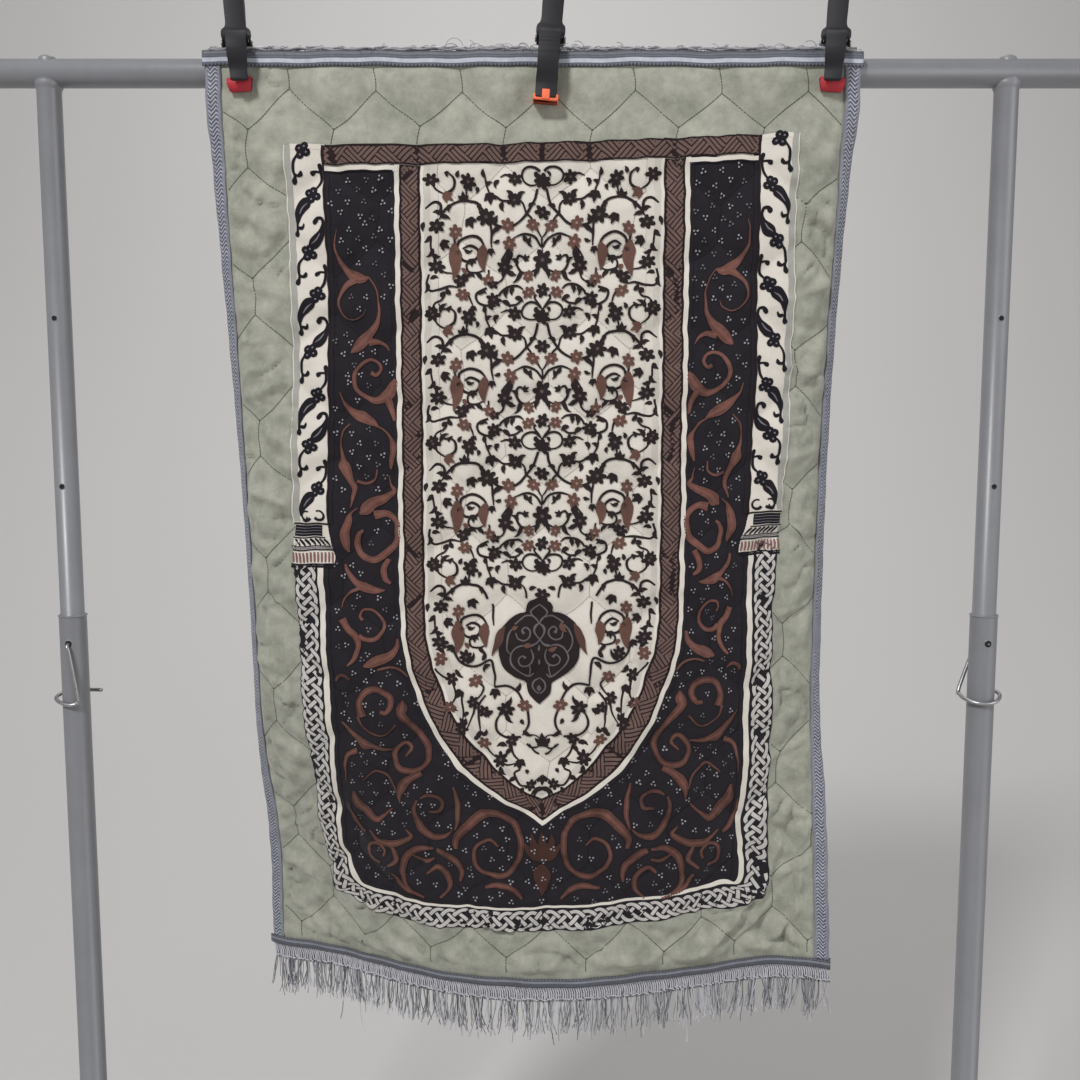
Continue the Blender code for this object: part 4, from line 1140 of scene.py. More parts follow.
def lay_loop(name, across, drop, lift, finish, uv_along):
    """A binding from arrays with one row for each place along it and one column for each point
    of its section, closed round the section and at both ends.
    """
    rows, columns = across.shape
    wall, caps = wall_and_caps(rows, columns)
    points = on_cloth(across, drop, lift)
    around = np.repeat(np.linspace(0, 1, columns)[None], rows, axis=0)
    uv = np.stack([around, np.repeat(uv_along[:, None], columns, axis=1)], axis=-1).reshape(-1, 2)
    return make_piece(name, points, face_out(points, [wall[:, ::-1], caps]), [finish], uv=uv)


def face_out(points, faces):
    """Reverse a closed body's faces if its volume comes out negative."""
    points = points.reshape(-1, 3)
    volume = 0.0
    for group in faces:
        a = points[group[:, 0]]
        for k in range(1, group.shape[1] - 1):
            b, c = points[group[:, k]], points[group[:, k + 1]]
            volume += np.einsum("ij,ij->", a, np.cross(b, c))
    return [group[:, ::-1] for group in faces] if volume < 0 else faces


# The tape's map in mm: its length round the section, and the size of its herringbone.
TAPE_ROUND = 84.0
HERRINGBONE_TURN = 4.6
HERRINGBONE_RIB = 2.1


def tape_finish(trim):
    """Herringbone tape: slanted light and dark threads that change direction every quarter of
    the tape's width, read from its own map.
    """
    finish = Finish("woven tape", {"Sheen Weight": 0.2, "Specular IOR Level": 0.3})
    x, y = finish.map_place()
    x = x * TAPE_ROUND
    y = y * (RUG_LENGTH / MM)
    wear_and_shade = finish.noise(60.0, 3.0)
    loose = (finish.noise(300.0, 2.0) - 0.5) * 3.0
    ways = finish.zigzag(x + loose * 0.5, HERRINGBONE_TURN)
    twill = finish.zigzag(y + ways * 1.2 + loose, HERRINGBONE_RIB) / HERRINGBONE_RIB
    middle = finish.between(x, 2.4, 3.2) * (1.0 - finish.between(x, 11.6, 12.6))
    cord = finish.between(twill, 0.42, 0.66) * middle + (1.0 - middle) * 0.42
    colour = finish.mix(cord, trim.tape_dark, trim.tape_light)
    colour = finish.scaled(colour, 0.7 + wear_and_shade * 0.6)
    return finish.surface(colour, 0.62, cord + wear_and_shade * 0.3, 0.0005)


# A side tape starts and ends this far from the cloth's short edges, under the end bands.
TAPE_END_INSET = 0.012
TAPE_ROWS = 260


class RUG_OT_tapes(bpy.types.Operator):
    """Side tapes: a binding's folded section carried down each long edge"""
    bl_idname = "rug.tapes"
    bl_label = "Side tapes"

    def execute(self, context):
        trim = context.scene.rug_trim
        loop = wrap_loop(TAPE_WIDTH)
        along = np.linspace(TAPE_END_INSET, RUG_LENGTH - TAPE_END_INSET, TAPE_ROWS)
        finish = tape_finish(trim)
        for side, sign in (("left", 1), ("right", -1)):
            edge = EDGE_LEFT + 0 * along if sign > 0 else edge_right(along)
            wave = 0.0005 * np.sin(along * 74) + 0.0003 * np.sin(along * 211 + sign)
            across = edge[:, None] + sign * (loop[:, 0] + wave[:, None])
            drop = np.repeat(along[:, None], len(loop), axis=1)
            lift = np.repeat(loop[None, :, 1], len(along), axis=0)
            piece = lay_loop(f"side_tape_{side}_woven", across, drop, lift, finish,
                             along / RUG_LENGTH)
            placed(piece, "woven_tape", f"side_tape_{side}")
        return {"FINISHED"}


def band_finish(trim, wear_and_shade):
    """Satin ribbon in stripes, from its toothed inner edge to the fold: a dark cord, grey, a
    broad pale stripe, fine grey lines, then grey that darkens towards the fold as painted shade.
    wear_and_shade below 1 darkens all of it as painted shade, for the bottom band, which curls
    away from the light.
    """
    finish = Finish("striped satin band", {"Anisotropic": 0.4, "Sheen Weight": 0.15})
    x, y = finish.map_place()
    drift = (finish.noise(22.0) - 0.5) * 0.05
    share = finish.zigzag(x * 2.0, 0.5) * 2.0 + drift
    grey = tint(trim.band, wear_and_shade)
    pale = tint(trim.band_stripe, 1 - 2 * (1 - wear_and_shade))
    # From share 0.55 to the fold at 1.0 the grey darkens from 0.65 to 0.45: painted shade of the
    # fold.
    stops = [(place, tint(colour, factor)) for place, colour, factor in (
        (0.0, grey, 0.35), (0.085, grey, 0.45), (0.10, grey, 1.0), (0.15, grey, 0.55),
        (0.17, pale, 0.9), (0.32, pale, 0.9), (0.34, grey, 0.7), (0.39, grey, 0.85),
        (0.41, grey, 1.35), (0.44, grey, 0.7), (0.49, grey, 0.8), (0.51, grey, 1.3),
        (0.55, grey, 0.65), (1.0, grey, 0.45))]
    ramp = finish.node("ValToRGB", {"stops": stops}, {0: share})
    teeth = finish.zigzag(y * 350.0, 1.0) > 0.45
    at_hem = (share < 0.105) * teeth
    colour = finish.mix(at_hem, ramp, tint(grey, 1.35))
    ribs = finish.zigzag(y * 900.0, 1.0)
    colour = finish.scaled(colour, 0.62 + finish.noise(160.0) * 0.4 + finish.noise(40.0) * 0.34)
    return finish.surface(colour, 0.34 + finish.noise(220.0) * 0.2, ribs * 0.4 + share * 2.0,
                          0.0004)


# The padding bulges over the lower band, so less of it shows.
LOW_BAND_WIDTH = 0.0125
# A band runs this far past the side tapes, and is raised by this factor to lie over them.
BAND_PAST_TAPE = 0.0012
BAND_RAISED = 1.22
BAND_ROWS = 200


class RUG_OT_bands(bpy.types.Operator):
    """End bands: a binding's folded section carried along each short edge"""
    bl_idname = "rug.bands"
    bl_label = "End bands"

    def execute(self, context):
        trim = context.scene.rug_trim
        # Painted shade: the bottom band takes 0.72 of the satin's colour, darker where it curls
        # away from the light.
        for end, edge, sign, width, wear_and_shade in (("top", 0.0, 1, TAPE_WIDTH, 1.0),
                                             ("bottom", RUG_LENGTH, -1, LOW_BAND_WIDTH, 0.72)):
            loop = wrap_loop(width)
            finish = band_finish(trim, wear_and_shade)
            share = np.linspace(0, 1, BAND_ROWS)
            left, right = EDGE_LEFT - BAND_PAST_TAPE, edge_right(edge) + BAND_PAST_TAPE
            line = left + share * (right - left)
            wave = 0.0007 * np.sin(line * 41 + edge * 9) + 0.0004 * np.sin(line * 117)
            across = np.repeat(line[:, None], len(loop), axis=1)
            drop = edge + sign * (loop[None, :, 0] + wave[:, None])
            lift = np.repeat(loop[None, :, 1] * BAND_RAISED, len(line), axis=0)
            piece = lay_loop(f"end_band_{end}_satin", across, drop, lift, finish, share)
            placed(piece, "satin_band", f"end_band_{end}")
        return {"FINISHED"}


def threads(paths, radius, sides=4):
    """Many round threads at once: paths has a row of points for each thread. A section stands
    square to the thread, turned by a fixed guide near +Y. Each thread has a cap at both ends.
    """
    count, steps = paths.shape[:2]
    along = np.gradient(paths, axis=1)
    along /= np.maximum(np.linalg.norm(along, axis=-1, keepdims=True), 1e-9)
    side = np.cross(along, np.array((0.03, 1.0, 0.02)))
    side /= np.linalg.norm(side, axis=-1, keepdims=True)
    other = np.cross(along, side)
    angle = np.arange(sides) / sides * TAU
    radius = np.broadcast_to(radius, (count, steps))[..., None, None]
    ring = (side[..., None, :] * np.cos(angle)[:, None]
            + other[..., None, :] * np.sin(angle)[:, None])
    points = paths[:, :, None] + ring * radius
    base = np.arange(count)[:, None, None] * steps * sides
    wall, caps = (base + faces for faces in wall_and_caps(steps, sides))
    return points.reshape(-1, 3), [np.concatenate([wall.reshape(-1, 4), caps.reshape(-1, sides)])]


def thread_slots(tones, steps, sides=4):
    """The slot of every face of threads(): the walls of each thread, then the caps of each."""
    tones = np.asarray(tones)
    return np.concatenate([np.repeat(tones, (steps - 1) * sides), np.repeat(tones, 2)])


def yarn_finish(name, colour):
    finish = Finish(name, {"Sheen Weight": 0.3, "Specular IOR Level": 0.3})
    shade = 0.62 + finish.noise(90.0, 3.0) * 0.5 + finish.noise(700.0) * 0.26
    return finish.surface(finish.scaled(colour, shade), 0.6, finish.noise(2400.0), 0.0003)


# Threads of the bottom fringe that hang lower than the rest: place across and full length.
STRAY_THREADS = ((-0.262, 0.094), (-0.243, 0.100), (0.330, 0.072), (0.12, 0.070))
HEADING_PITCH = 0.0027
HEADING_LEAN = 0.0052
HEADING_HEIGHT = 0.0155
BUNCH_PITCH = 0.0062
MOST_BUNCHES = 200
# How far the ends of a bunch, and of each thread in it, swing aside.
BUNCH_SWING = 0.0042
THREAD_SWING = 0.0046
THREAD_LENGTH = 0.058
THREAD_LENGTH_SPREAD = 0.004
LONG_SHARE = 0.012
# The fringe starts inside the rug's corners: at the bottom, and at the top.
LOW_FRINGE_INSET = 0.002
TOP_FRINGE_INSET = 0.004
# Degrees round the crossbar from its top, front to back, where a laid thread starts and ends.
LAID_TURN = (38, -118)
CURLS = 520
# How tall the curls stand along the top edge: place across, and share of their height.
CURL_FULLNESS = ((-0.36, 0.3), (-0.16, 0.4), (-0.12, 0.8), (0.0, 1.0), (0.03, 0.9),
                 (0.16, 0.45), (0.2, 0.5), (0.28, 0.9), (0.34, 0.8))
CURL_LENGTH = 2.2
ROLLS = 5
ROLL_INSET = 0.006
# Points along a loose thread, a thread laid over the bar, and a roll of yarn.
THREAD_ROWS = 9
LAID_ROWS = 11
ROLL_ROWS = 240


class RUG_OT_fringes(bpy.types.Operator):
    """Both fringes: looped headings and loose threads, each a thin tube on its own curve"""
    bl_idname = "rug.fringes"
    bl_label = "Fringes"

    def execute(self, context):
        trim = context.scene.rug_trim
        draw = np.random.default_rng(11)
        finishes = [yarn_finish("fringe yarn", trim.yarn),
                    yarn_finish("grey fringe yarn", tint(trim.yarn, 0.55)),
                    yarn_finish("dark fringe yarn", tint(trim.yarn, 0.26))]
        self.bottom(trim, draw, finishes)
        self.top(trim, draw, finishes)
        return {"FINISHED"}

    def bottom(self, trim, draw, finishes):
        """Threads hang in bunches that swing together: sideways drift grows with the square of
        the way down, and each thread has its own small wave. A heading of slanted loops lies
        over their upper part.
        """
        count = trim.fringe_threads
        left = EDGE_LEFT + LOW_FRINGE_INSET
        right = edge_right(RUG_LENGTH) - LOW_FRINGE_INSET
        start = np.sort(draw.uniform(left, right, count))
        bunch = np.floor((start - left) / BUNCH_PITCH)
        swing = (draw.normal(0, BUNCH_SWING, MOST_BUNCHES)[bunch.astype(int)]
                 + draw.normal(0, THREAD_SWING, count))
        length = (THREAD_LENGTH + draw.normal(0, THREAD_LENGTH_SPREAD, count)
                  + 0.003 * np.sin(bunch * 1.7))
        long = draw.random(count) < LONG_SHARE
        length = np.where(long, length * draw.uniform(1.1, 1.5, count), length)
        for place, reach in STRAY_THREADS:
            length[np.abs(start - place).argmin()] = reach
        share = np.linspace(0, 1, THREAD_ROWS)[None]
        gather = (left + (bunch + 0.5) * BUNCH_PITCH - start)[:, None]
        across = (start[:, None] + gather * 0.6 * np.sin(share * math.pi * 0.6)
                  + swing[:, None] * share ** 2
                  + 0.0016 * np.sin(share * draw.uniform(5, 11, count)[:, None]
                                    + draw.uniform(0, TAU, count)[:, None]) * share)
        drop = RUG_LENGTH - 0.004 + share * length[:, None]
        lift = (draw.uniform(-0.0016, 0.0030, count)[:, None]
                + draw.normal(0, 0.003, count)[:, None] * share ** 2)
        hang = on_cloth(across, drop, lift)
        loose = threads(hang, trim.thread_radius * (1.1 - 0.3 * share))
        tones = draw.choice(3, count, p=(0.36, 0.40, 0.24))

        # The heading: pale slanted loops, and behind them a dark net of threads that is painted
        # shade between the loops.
        loops = int((right - left) / HEADING_PITCH)
        foot = left + (np.arange(loops) + 0.5) * HEADING_PITCH
        across = foot[:, None] + 0.0010 * np.sin(share * TAU) + HEADING_LEAN * share
        tall = HEADING_HEIGHT + draw.normal(0, 0.0009, loops)[:, None]
        drop = RUG_LENGTH - 0.002 + tall * np.sin(share * math.pi * 0.5)
        lift = 0.0030 + 0.0009 * np.sin(share * math.pi + np.arange(loops)[:, None] % 3)
        heading = threads(on_cloth(across, drop, lift), trim.thread_radius * 1.55)
        painted_shade_net = threads(on_cloth(foot[:, None] + HEADING_LEAN * share,
                               RUG_LENGTH + 0.001 + 0.016 * share, 0.0006),
                      trim.thread_radius * 1.9)
        points, faces = join_parts([loose, heading, painted_shade_net])
        tones = np.concatenate([tones, np.zeros(loops, int), np.full(loops, 2)])
        slots = np.concatenate([thread_slots(part, THREAD_ROWS)
                                for part in np.split(tones, (count, count + loops))])
        piece = make_piece("fringe_bottom_threads", points, faces, finishes, slots)
        placed(piece, "fringe_yarn", "fringe_bottom")

    def top(self, trim, draw, finishes):
        """Threads rise from the top band, turn over the crossbar and hang behind it. The stray
        ones stand up in open curls, and loose rolls of yarn lie along the band's top.
        """
        left, right = EDGE_LEFT + TOP_FRINGE_INSET, EDGE_RIGHT_TOP - TOP_FRINGE_INSET
        count = trim.fringe_threads // 2
        start = np.sort(draw.uniform(left, right, count)) + DESIGN_CENTRE_X
        radius = BAR_RADIUS + draw.uniform(0.0012, 0.0044, count)[:, None]
        share = np.linspace(0, 1, LAID_ROWS)[None]
        turn = (np.radians(np.linspace(*LAID_TURN, LAID_ROWS))[None]
                + draw.normal(0, 0.12, count)[:, None] * share)
        drift = draw.normal(0, 0.006, count)[:, None] * share
        over = np.stack([start[:, None] + drift, -radius * np.sin(turn),
                         BAR_HEIGHT + radius * np.cos(turn)], axis=-1)
        over[:, 0, 1:] = (RUG_MIDDLE_Y + 0.003, RUG_TOP_Z - 0.001)
        laid = threads(over, trim.thread_radius * 0.75)

        base = draw.uniform(left, right, CURLS)
        full = np.interp(base, *np.array(CURL_FULLNESS).T)
        tall = draw.gamma(2.0, 0.0018, CURLS) * full + 0.001
        lean = draw.normal(0, 0.5, CURLS)
        bend = draw.uniform(0.6, 1.5, CURLS) * math.pi
        t = np.linspace(0, 1, THREAD_ROWS)[None]
        angle = lean[:, None] + bend[:, None] * t * draw.choice((-1, 1), CURLS)[:, None]
        step = tall[:, None] * CURL_LENGTH / (THREAD_ROWS - 1)
        x = np.cumsum(np.sin(angle) * step, axis=1) + base[:, None] + DESIGN_CENTRE_X
        z = np.cumsum(np.cos(angle) * step, axis=1)
        z = np.maximum(z, -0.0005) + RUG_TOP_Z - 0.0008
        y = (RUG_MIDDLE_Y + draw.uniform(-0.0035, 0.006, CURLS)[:, None]
             + draw.normal(0, 0.003, CURLS)[:, None] * t)
        strays = threads(np.stack([x, y, z], axis=-1), trim.thread_radius * 0.55)

        line = np.linspace(EDGE_LEFT + ROLL_INSET, EDGE_RIGHT_TOP - ROLL_INSET,
                           ROLL_ROWS)[None]
        roll = np.arange(ROLLS)[:, None]
        phase = roll * 1.9
        rise = 0.0005 + 0.0008 * roll
        rolled = np.stack([line + DESIGN_CENTRE_X + 0 * phase,
                           RUG_MIDDLE_Y - 0.0030 + 0.0018 * roll
                           + 0.0010 * np.sin(line * 170 + phase * 2),
                           RUG_TOP_Z + rise + 0.0007 * np.sin(line * 260 + phase)
                           + 0.0006 * np.sin(line * 93 + phase * 3)], axis=-1)
        heading = threads(rolled, 0.0011 + 0.0003 * np.sin(line * 410 + phase))
        points, faces = join_parts([laid, strays, heading])
        slots = np.concatenate([thread_slots(np.zeros(count), LAID_ROWS),
                                thread_slots(draw.choice((1, 2), CURLS), THREAD_ROWS),
                                thread_slots((1, 2, 1, 0, 1), ROLL_ROWS)])
        piece = make_piece("fringe_top_threads", points, faces, finishes, slots)
        placed(piece, "fringe_yarn", "fringe_top")


# ---------------------------------------------------------------- the printed design
def lines_of_bands(sheet, ink):
    """The grounds' edges: flat strips beside each boundary, white lines and dark outlines."""
    niche = track_niche()
    for low, high, finish, level in ((-1.0, 0.95, "brown_ground", 1), (-1.34, -0.97, "white", 1),
                                     (-1.95, -1.34, "shade", 1), (-2.6, -1.95, "faint shade", 1),
                                     (-1.07, -0.93, "outline", 2), (0.70, 0.80, "outline", 2),
                                     (0.80, 1.22, "white", 2), (1.22, 1.34, "black", 1),
                                     (1.20, 1.60, "black", 1)):
        niche.strip(sheet, low, high, ink[finish], level, True)
    top, low = TOP_BAND
    middle = (top + low) / 2
    band = Track.around([(u, middle) for u in (-TOP_BAND_OUT, -80, 80, TOP_BAND_OUT)],
                        (low - top) / 2)
    for a, b, finish, level in ((-1.0, 1.0, "brown_ground", 1), (-1.04, -0.88, "outline", 3),
                                (0.88, 1.04, "outline", 3)):
        band.strip(sheet, a, b, ink[finish], level, False)
    # White line over each black panel, and the panel's outer edge.
    for v, width, finish in ((121.2, 4.6, "white"), (124.2, 1.4, "black")):
        sheet.stroke(((-PANEL_OUT + 1, v, width), (-200, v - 0.2, width), (-159, v, width)),
                     ink[finish], 3)
    sheet.stroke(((-158.5, 119, 5), (-158.5, 121, 5), (-158.5, 125, 5)), ink["white"], 3)
    sheet.stroke(((-PANEL_OUT, 97, 2.2), (-PANEL_OUT, 300, 2.0), (-PANEL_OUT, 508, 2.0)),
                 ink["outline"], 3)
    sheet.stroke(((-236.5, 123, 5), (-236.5, 300, 5), (-236.5, 506, 5)), ink["black"], 1)
    # Column: white ground, a grey shadow and a thin bright line on its outer side.
    for u, width, finish, level in ((-257, 33.4, "white", 1), (-276.4, 6.4, "shadow", 2),
                                    (-280.2, 1.2, "white", 3)):
        sheet.stroke(((u, 97.5, width), (u, 300, width), (u, 506, width)), ink[finish], level)
    sheet.stroke(((-273.4, 99.5, 5), (-256, 99.5, 5), (-240, 99.5, 5)), ink["white"], 2)


class RUG_OT_plaits(bpy.types.Operator):
    """Printed grounds, lines and plaits: strips and four-strand braids along smooth tracks"""
    bl_idname = "rug.plaits"
    bl_label = "Printed bands and plaits"

    def execute(self, context):
        printed = context.scene.rug_print
        ink = {key: pile_finish(name, colour, *look) for key, name, colour, *look in (
            ("white", "white line", printed.white, 0.06, 0.7, 0.2),
            ("black", "black edge", printed.black, 0.15, 0.7, 0.1),
            ("outline", "dark outline", printed.outline, 0.1, 0.6, 0.1),
            ("brown_ground", "plait ground", tint(printed.outline, 1.1), 0.15, 0.6, 0.1),
            ("shade", "mauve shade", tint(printed.white, 0.80), 0.14, 0.7, 0.2),
            ("faint shade", "faint mauve shade", tint(printed.white, 0.91), 0.1, 0.7, 0.2),
            ("shadow", "grey shadow", linear(163, 163, 156), 0.12, 0.7, 0.2),
            ("brown", "brown strand", printed.brown, 0.22, 0.7, 0.2),
            ("pale", "pale strand", printed.pale_strand, 0.16, 0.7, 0.2))}
        sheet = Print()
        lines_of_bands(sheet, ink)
        brown_pair = (ink["outline"], ink["brown"])
        niche = track_niche()
        niche.slats(sheet, half=8.4, middle=-1.6, spacing=6.0, count=3, run=20.0,
                    widths=(5.4, 2.85), finishes=brown_pair, level=2)
        middle = sum(TOP_BAND) / 2
        half_band = Track.around([(u, middle) for u in (0, -80, -160, -TOP_BAND_OUT)], -9.7)
        half_band.slats(sheet, half=8.0, middle=0.0, spacing=6.4, count=3, run=19.0,
                        widths=(6.2, 3.1), finishes=brown_pair, level=2)
        # The white line inside the plait narrows towards the centre line.
        narrow = (0, 0.5, 0.66, 0.8, 1)
        near = (narrow, (-1.12, -1.12, -1.12, -1.08, -1.08))
        far = (narrow, (-1.62, -1.62, -1.5, -1.34, -1.28))
        beyond = (narrow, (-2.05, -2.05, -1.95, -1.6, -1.5))
        for track in (Track.between(*FRAME_LEFT), Track.between(*FRAME_RIGHT)):
            track.strip(sheet, -1.14, 1.0, ink["black"], 1, False)
            track.strip(sheet, far, near, ink["white"], 2, False)
            track.strip(sheet, beyond, far, ink["black"], 1, False)
            track.braid(sheet, swing=10.2, period=54.0, widths=(6.7, 4.3),
                        finishes=(ink["black"], ink["pale"]), level=2)
        sheet.lay("printed_bands")
        return {"FINISHED"}


# One repeat of the niche's field, right half, in millimetres from its ring palmette.
# Stems: width, then (u, v) after (u, v).
FIELD_STEMS = (
    (2.2, 5, 10, 8.7, 24, 17, 37, 26, 46.5, 37.6, 51, 50.6, 48, 58, 42),
    (1.7, 18, 40, 18, 35, 20, 27, 25, 22), (1.8, 32, 22.5, 43, 22.5, 50.6, 17.5, 56, 15),
    (1.6, 57, 15, 61, 4, 62, -7.5), (1.8, 33, -3, 39, -5.5, 45.5, -3),
    (1.7, 81, 5, 82, 11, 83, 18),
    (2.3, 60.8, 40, 64.5, 31.6, 71, 24, 78.5, 21.4, 86, 20.5, 95, 23.3, 104.5, 31.6, 111, 42),
    (1.8, 118, 4, 114, 10, 105, 15), (2.2, 105, 14, 96, 7.5, 95, -2, 100, -7.5),
    (2.6, 100, -7.5, 103.6, -7, 101.7, -3.6), (2.4, 109, 35, 110, 26, 117.5, 23.3, 126, 29.8),
    (1.7, 121, 59.5, 120.3, 72.5, 116.6, 85), (1.7, 110, 95, 106, 97.5, 97, 98.6),
    (2.0, 124, 98.6, 126, 109.7, 121.3, 117, 112, 116, 100.8, 112.5, 91.5, 113.4),
    (1.8, 96, 58, 95, 65, 92, 72), (1.9, 56, 46, 55, 61.4, 54.3, 72),
    (2.3, 92.4, 72.5, 89.7, 63, 78.5, 58.6, 67.3, 63, 60, 74),
    (2.2, 90.6, 76, 86, 83.7, 76.6, 85.6, 70, 81, 70, 73.5, 78.5, 68.4, 86, 71.5),
    (1.7, 76.6, 85.6, 82, 89, 80.4, 96.7, 71, 98.6, 63.6, 94.9),
    (2.0, 0.6, 71.6, 2.2, 68.8, 7.8, 61.4, 19, 58.6, 31, 62.5),
    (2.2, 13.4, 99.5, 22.7, 98.6, 28.3, 89.3, 25.5, 81, 19, 83.7),
    (1.7, 59, 95, 58, 106), (1.6, 80, 122, 77.6, 128, 75.7, 134.8),
    (2.0, 60, 115, 71, 121, 70, 130, 61.8, 134, 57, 133),
    (2.0, 47, 123, 45, 119, 37.6, 113.5, 26.4, 113.5, 21, 117.5),
    (1.8, 6.5, 123, 8.7, 126.5, 3.2, 134, 0, 139), (1.5, 5, 54, 3, 58, 0, 62),
    (1.6, 44, 84, 40, 78, 36, 72), (1.7, 41, 98, 44, 106, 52, 111),
    (1.7, 88, 113, 88, 106, 97, 99), (1.6, 3, 94, 8, 97, 13.4, 99.5),
    (1.7, 34.8, 73, 33, 80, 37, 88), (1.8, 17, 37, 12, 42, 11, 46), (1.5, 0, 62, 0, 76),
    (1.7, 105, 121, 109, 127, 117, 131, 122, 139), (1.7, 99, 134, 107, 137, 113, 131),
    (1.8, 23, 129, 29, 133, 37, 133, 44, 128),
)
# Flowers: (u, v), radius, 0 dark or 1 brown, petals. The pale heart comes with each.
FIELD_FLOWERS = (
    (60.8, 40, 9.6, 0, 7), (30, 22.3, 7.6, 0, 6), (30, -1, 7.6, 0, 6), (80, 2, 8.6, 0, 7),
    (114, 49, 8.2, 0, 6), (120, -1, 8, 0, 6), (114.8, 91, 8.6, 0, 7), (94.3, 54, 7.4, 1, 6),
    (37.6, 48.4, 7.4, 1, 6), (0, 35.3, 7.8, 0, 6), (10, 49.0, 7, 1, 6), (34.8, 68, 7.6, 1, 6),
    (0, 85.6, 11, 0, 6), (15, 103.5, 6.2, 1, 6), (41, 92, 9, 0, 7), (88, 106, 7.6, 0, 6),
    (86, 121, 7.2, 1, 6), (52.5, 127.5, 7.6, 0, 7), (15, 121, 6.8, 1, 6), (0, 118, 7.4, 0, 6),
    (58, 107, 6.8, 1, 6), (53, 111, 5.6, 0, 5), (122, 139, 6.4, 0, 6),
)
# Palmettes: (u, v), size, the way its middle leaf points in degrees from +v towards -u, brown.
FIELD_PALMETTES = ((86, 19.5, 8.5, 180, 0), (104.5, 16, 9.5, 60, 1), (57, 17, 10, 10, 0),
                   (107.3, 67, 9, 60, 0), (78.5, 42, 9.5, 20, 0), (76.6, 85, 7, 0, 0),
                   (92, 75, 5, 20, 0), (19, 84, 6, 120, 0), (57, 134, 7, 90, 0),
                   (75.7, 136, 6, 0, 0), (55.5, 75, 6.5, 0, 0))
# Leaves: from (u, v) to tip (u, v), width, bend, 0 dark or 1 brown.
FIELD_LEAVES = (
    (26, 21, 18, 14, 4.6, 0.2, 0), (33, 19, 39, 12, 4.6, -0.2, 0),
    (42, 24, 41, 34, 4.4, -0.2, 0), (62.5, -2, 62.7, -11, 4.0, 0.1, 0),
    (61, 7, 54, 2, 3.8, 0.2, 0), (90.5, -3, 88.5, -10, 4, 0.2, 0),
    (109, 37, 118, 34, 4.4, -0.2, 0), (109, 40, 99, 41, 4.4, 0.2, 0),
    (121, 58, 128, 65, 4.4, 0.1, 0), (99, 121, 103, 113, 4.4, 0.2, 0),
    (110, 124, 103, 119, 4, 0.2, 0), (45, 51, 54, 60, 4.6, -0.2, 0),
    (95.8, 66, 97, 106, 11.5, 0.06, 1), (62.7, 69, 63.5, 98, 9.4, -0.08, 1),
    (84, 72, 75, 73, 3.6, -0.3, 0), (20, 60, 12, 66, 4.2, -0.2, 0),
    (36, 72, 42, 84, 4.6, 0.2, 0), (38, 88, 33, 80, 4.4, 0.2, 0),
    (36, 96, 28, 101, 4.6, -0.2, 0), (84, 103, 73, 104, 4.2, 0.3, 0),
    (69, 122, 60, 121, 4.2, 0.3, 0), (31, 114, 33, 123, 4.2, -0.2, 0),
    (37, 114, 39, 125, 4.2, -0.2, 0), (44, 128, 36, 136, 4.4, 0.2, 0),
    (30, 126, 21, 131, 4.4, 0.2, 0), (118, 72, 126, 80, 4, 0.2, 0),
    (119, 78, 110, 80, 4.4, -0.2, 0), (122, 104, 113, 104, 4, 0.2, 0),
    (125, 108, 129, 118, 4, 0.2, 0), (24, 96, 32, 110, 4.2, 0.2, 0),
    (27, 90, 34, 84, 3.8, -0.2, 0), (14, 30, 6, 27, 4, 0.2, 0), (70, 25, 68, 34, 4.2, 0.2, 0),
    (98, 25, 100, 34, 4.2, -0.2, 0), (3, 96, 7, 106, 3.8, -0.2, 0),
    (50, 47, 48, 38, 4.2, 0.2, 0), (46, 64, 53, 66, 3.6, 0.2, 0),
    (112, 141, 103, 131, 4, 0.2, 0), (47, 0, 50, 9, 4.2, -0.3, 0),
    (12, 62, 10, 72, 3.8, -0.3, 0), (88, 93, 84, 100, 4, 0.2, 1), (72, 100, 66, 107, 4, 0.2, 0),
    (71, 7, 72, 14, 3.6, 0.2, 0), (127, 44, 129, 54, 4, -0.1, 0),
)
# The repeats: where each starts, and its length. The figures are drawn for FIELD_PITCH.
FIELD_PITCH = 143.5
FIELD_ROWS = ((134.6, 143.5), (278.1, 140.5), (418.6, 135.4), (554.0, 135.4))

# The niche's foot, in its own drawing grid (see foot_place): the same four kinds of figure, with
# all its palmettes and leaves dark and bent alike.
FOOT_STEMS = (
    (1.8, 150, 150, 165, 175, 200, 205, 235, 215), (1.9, 240, 215, 265, 310, 235, 372),
    (2.1, 245, 30, 290, 110, 380, 145, 470, 105, 490, 180, 490, 265),
    (1.8, 380, 225, 425, 260, 415, 300, 380, 340), (1.8, 370, 345, 370, 400, 325, 505),
    (2.1, 490, 265, 560, 255, 620, 290, 650, 330, 680, 400, 690, 480, 655, 550),
    (2.1, 645, 560, 550, 552, 505, 510, 500, 460, 525, 415),
    (1.9, 440, 310, 400, 370, 400, 450, 410, 520), (1.8, 430, 590, 460, 640, 520, 680),
    (2.0, 640, 745, 606, 765, 640, 835, 700, 835), (1.8, 580, 575, 600, 650, 640, 695),
    (1.8, 750, 660, 720, 640, 690, 600), (1.8, 300, 300, 310, 380, 305, 460),
    (1.8, 525, 680, 560, 710, 640, 700), (1.8, 700, 835, 768, 780),
)
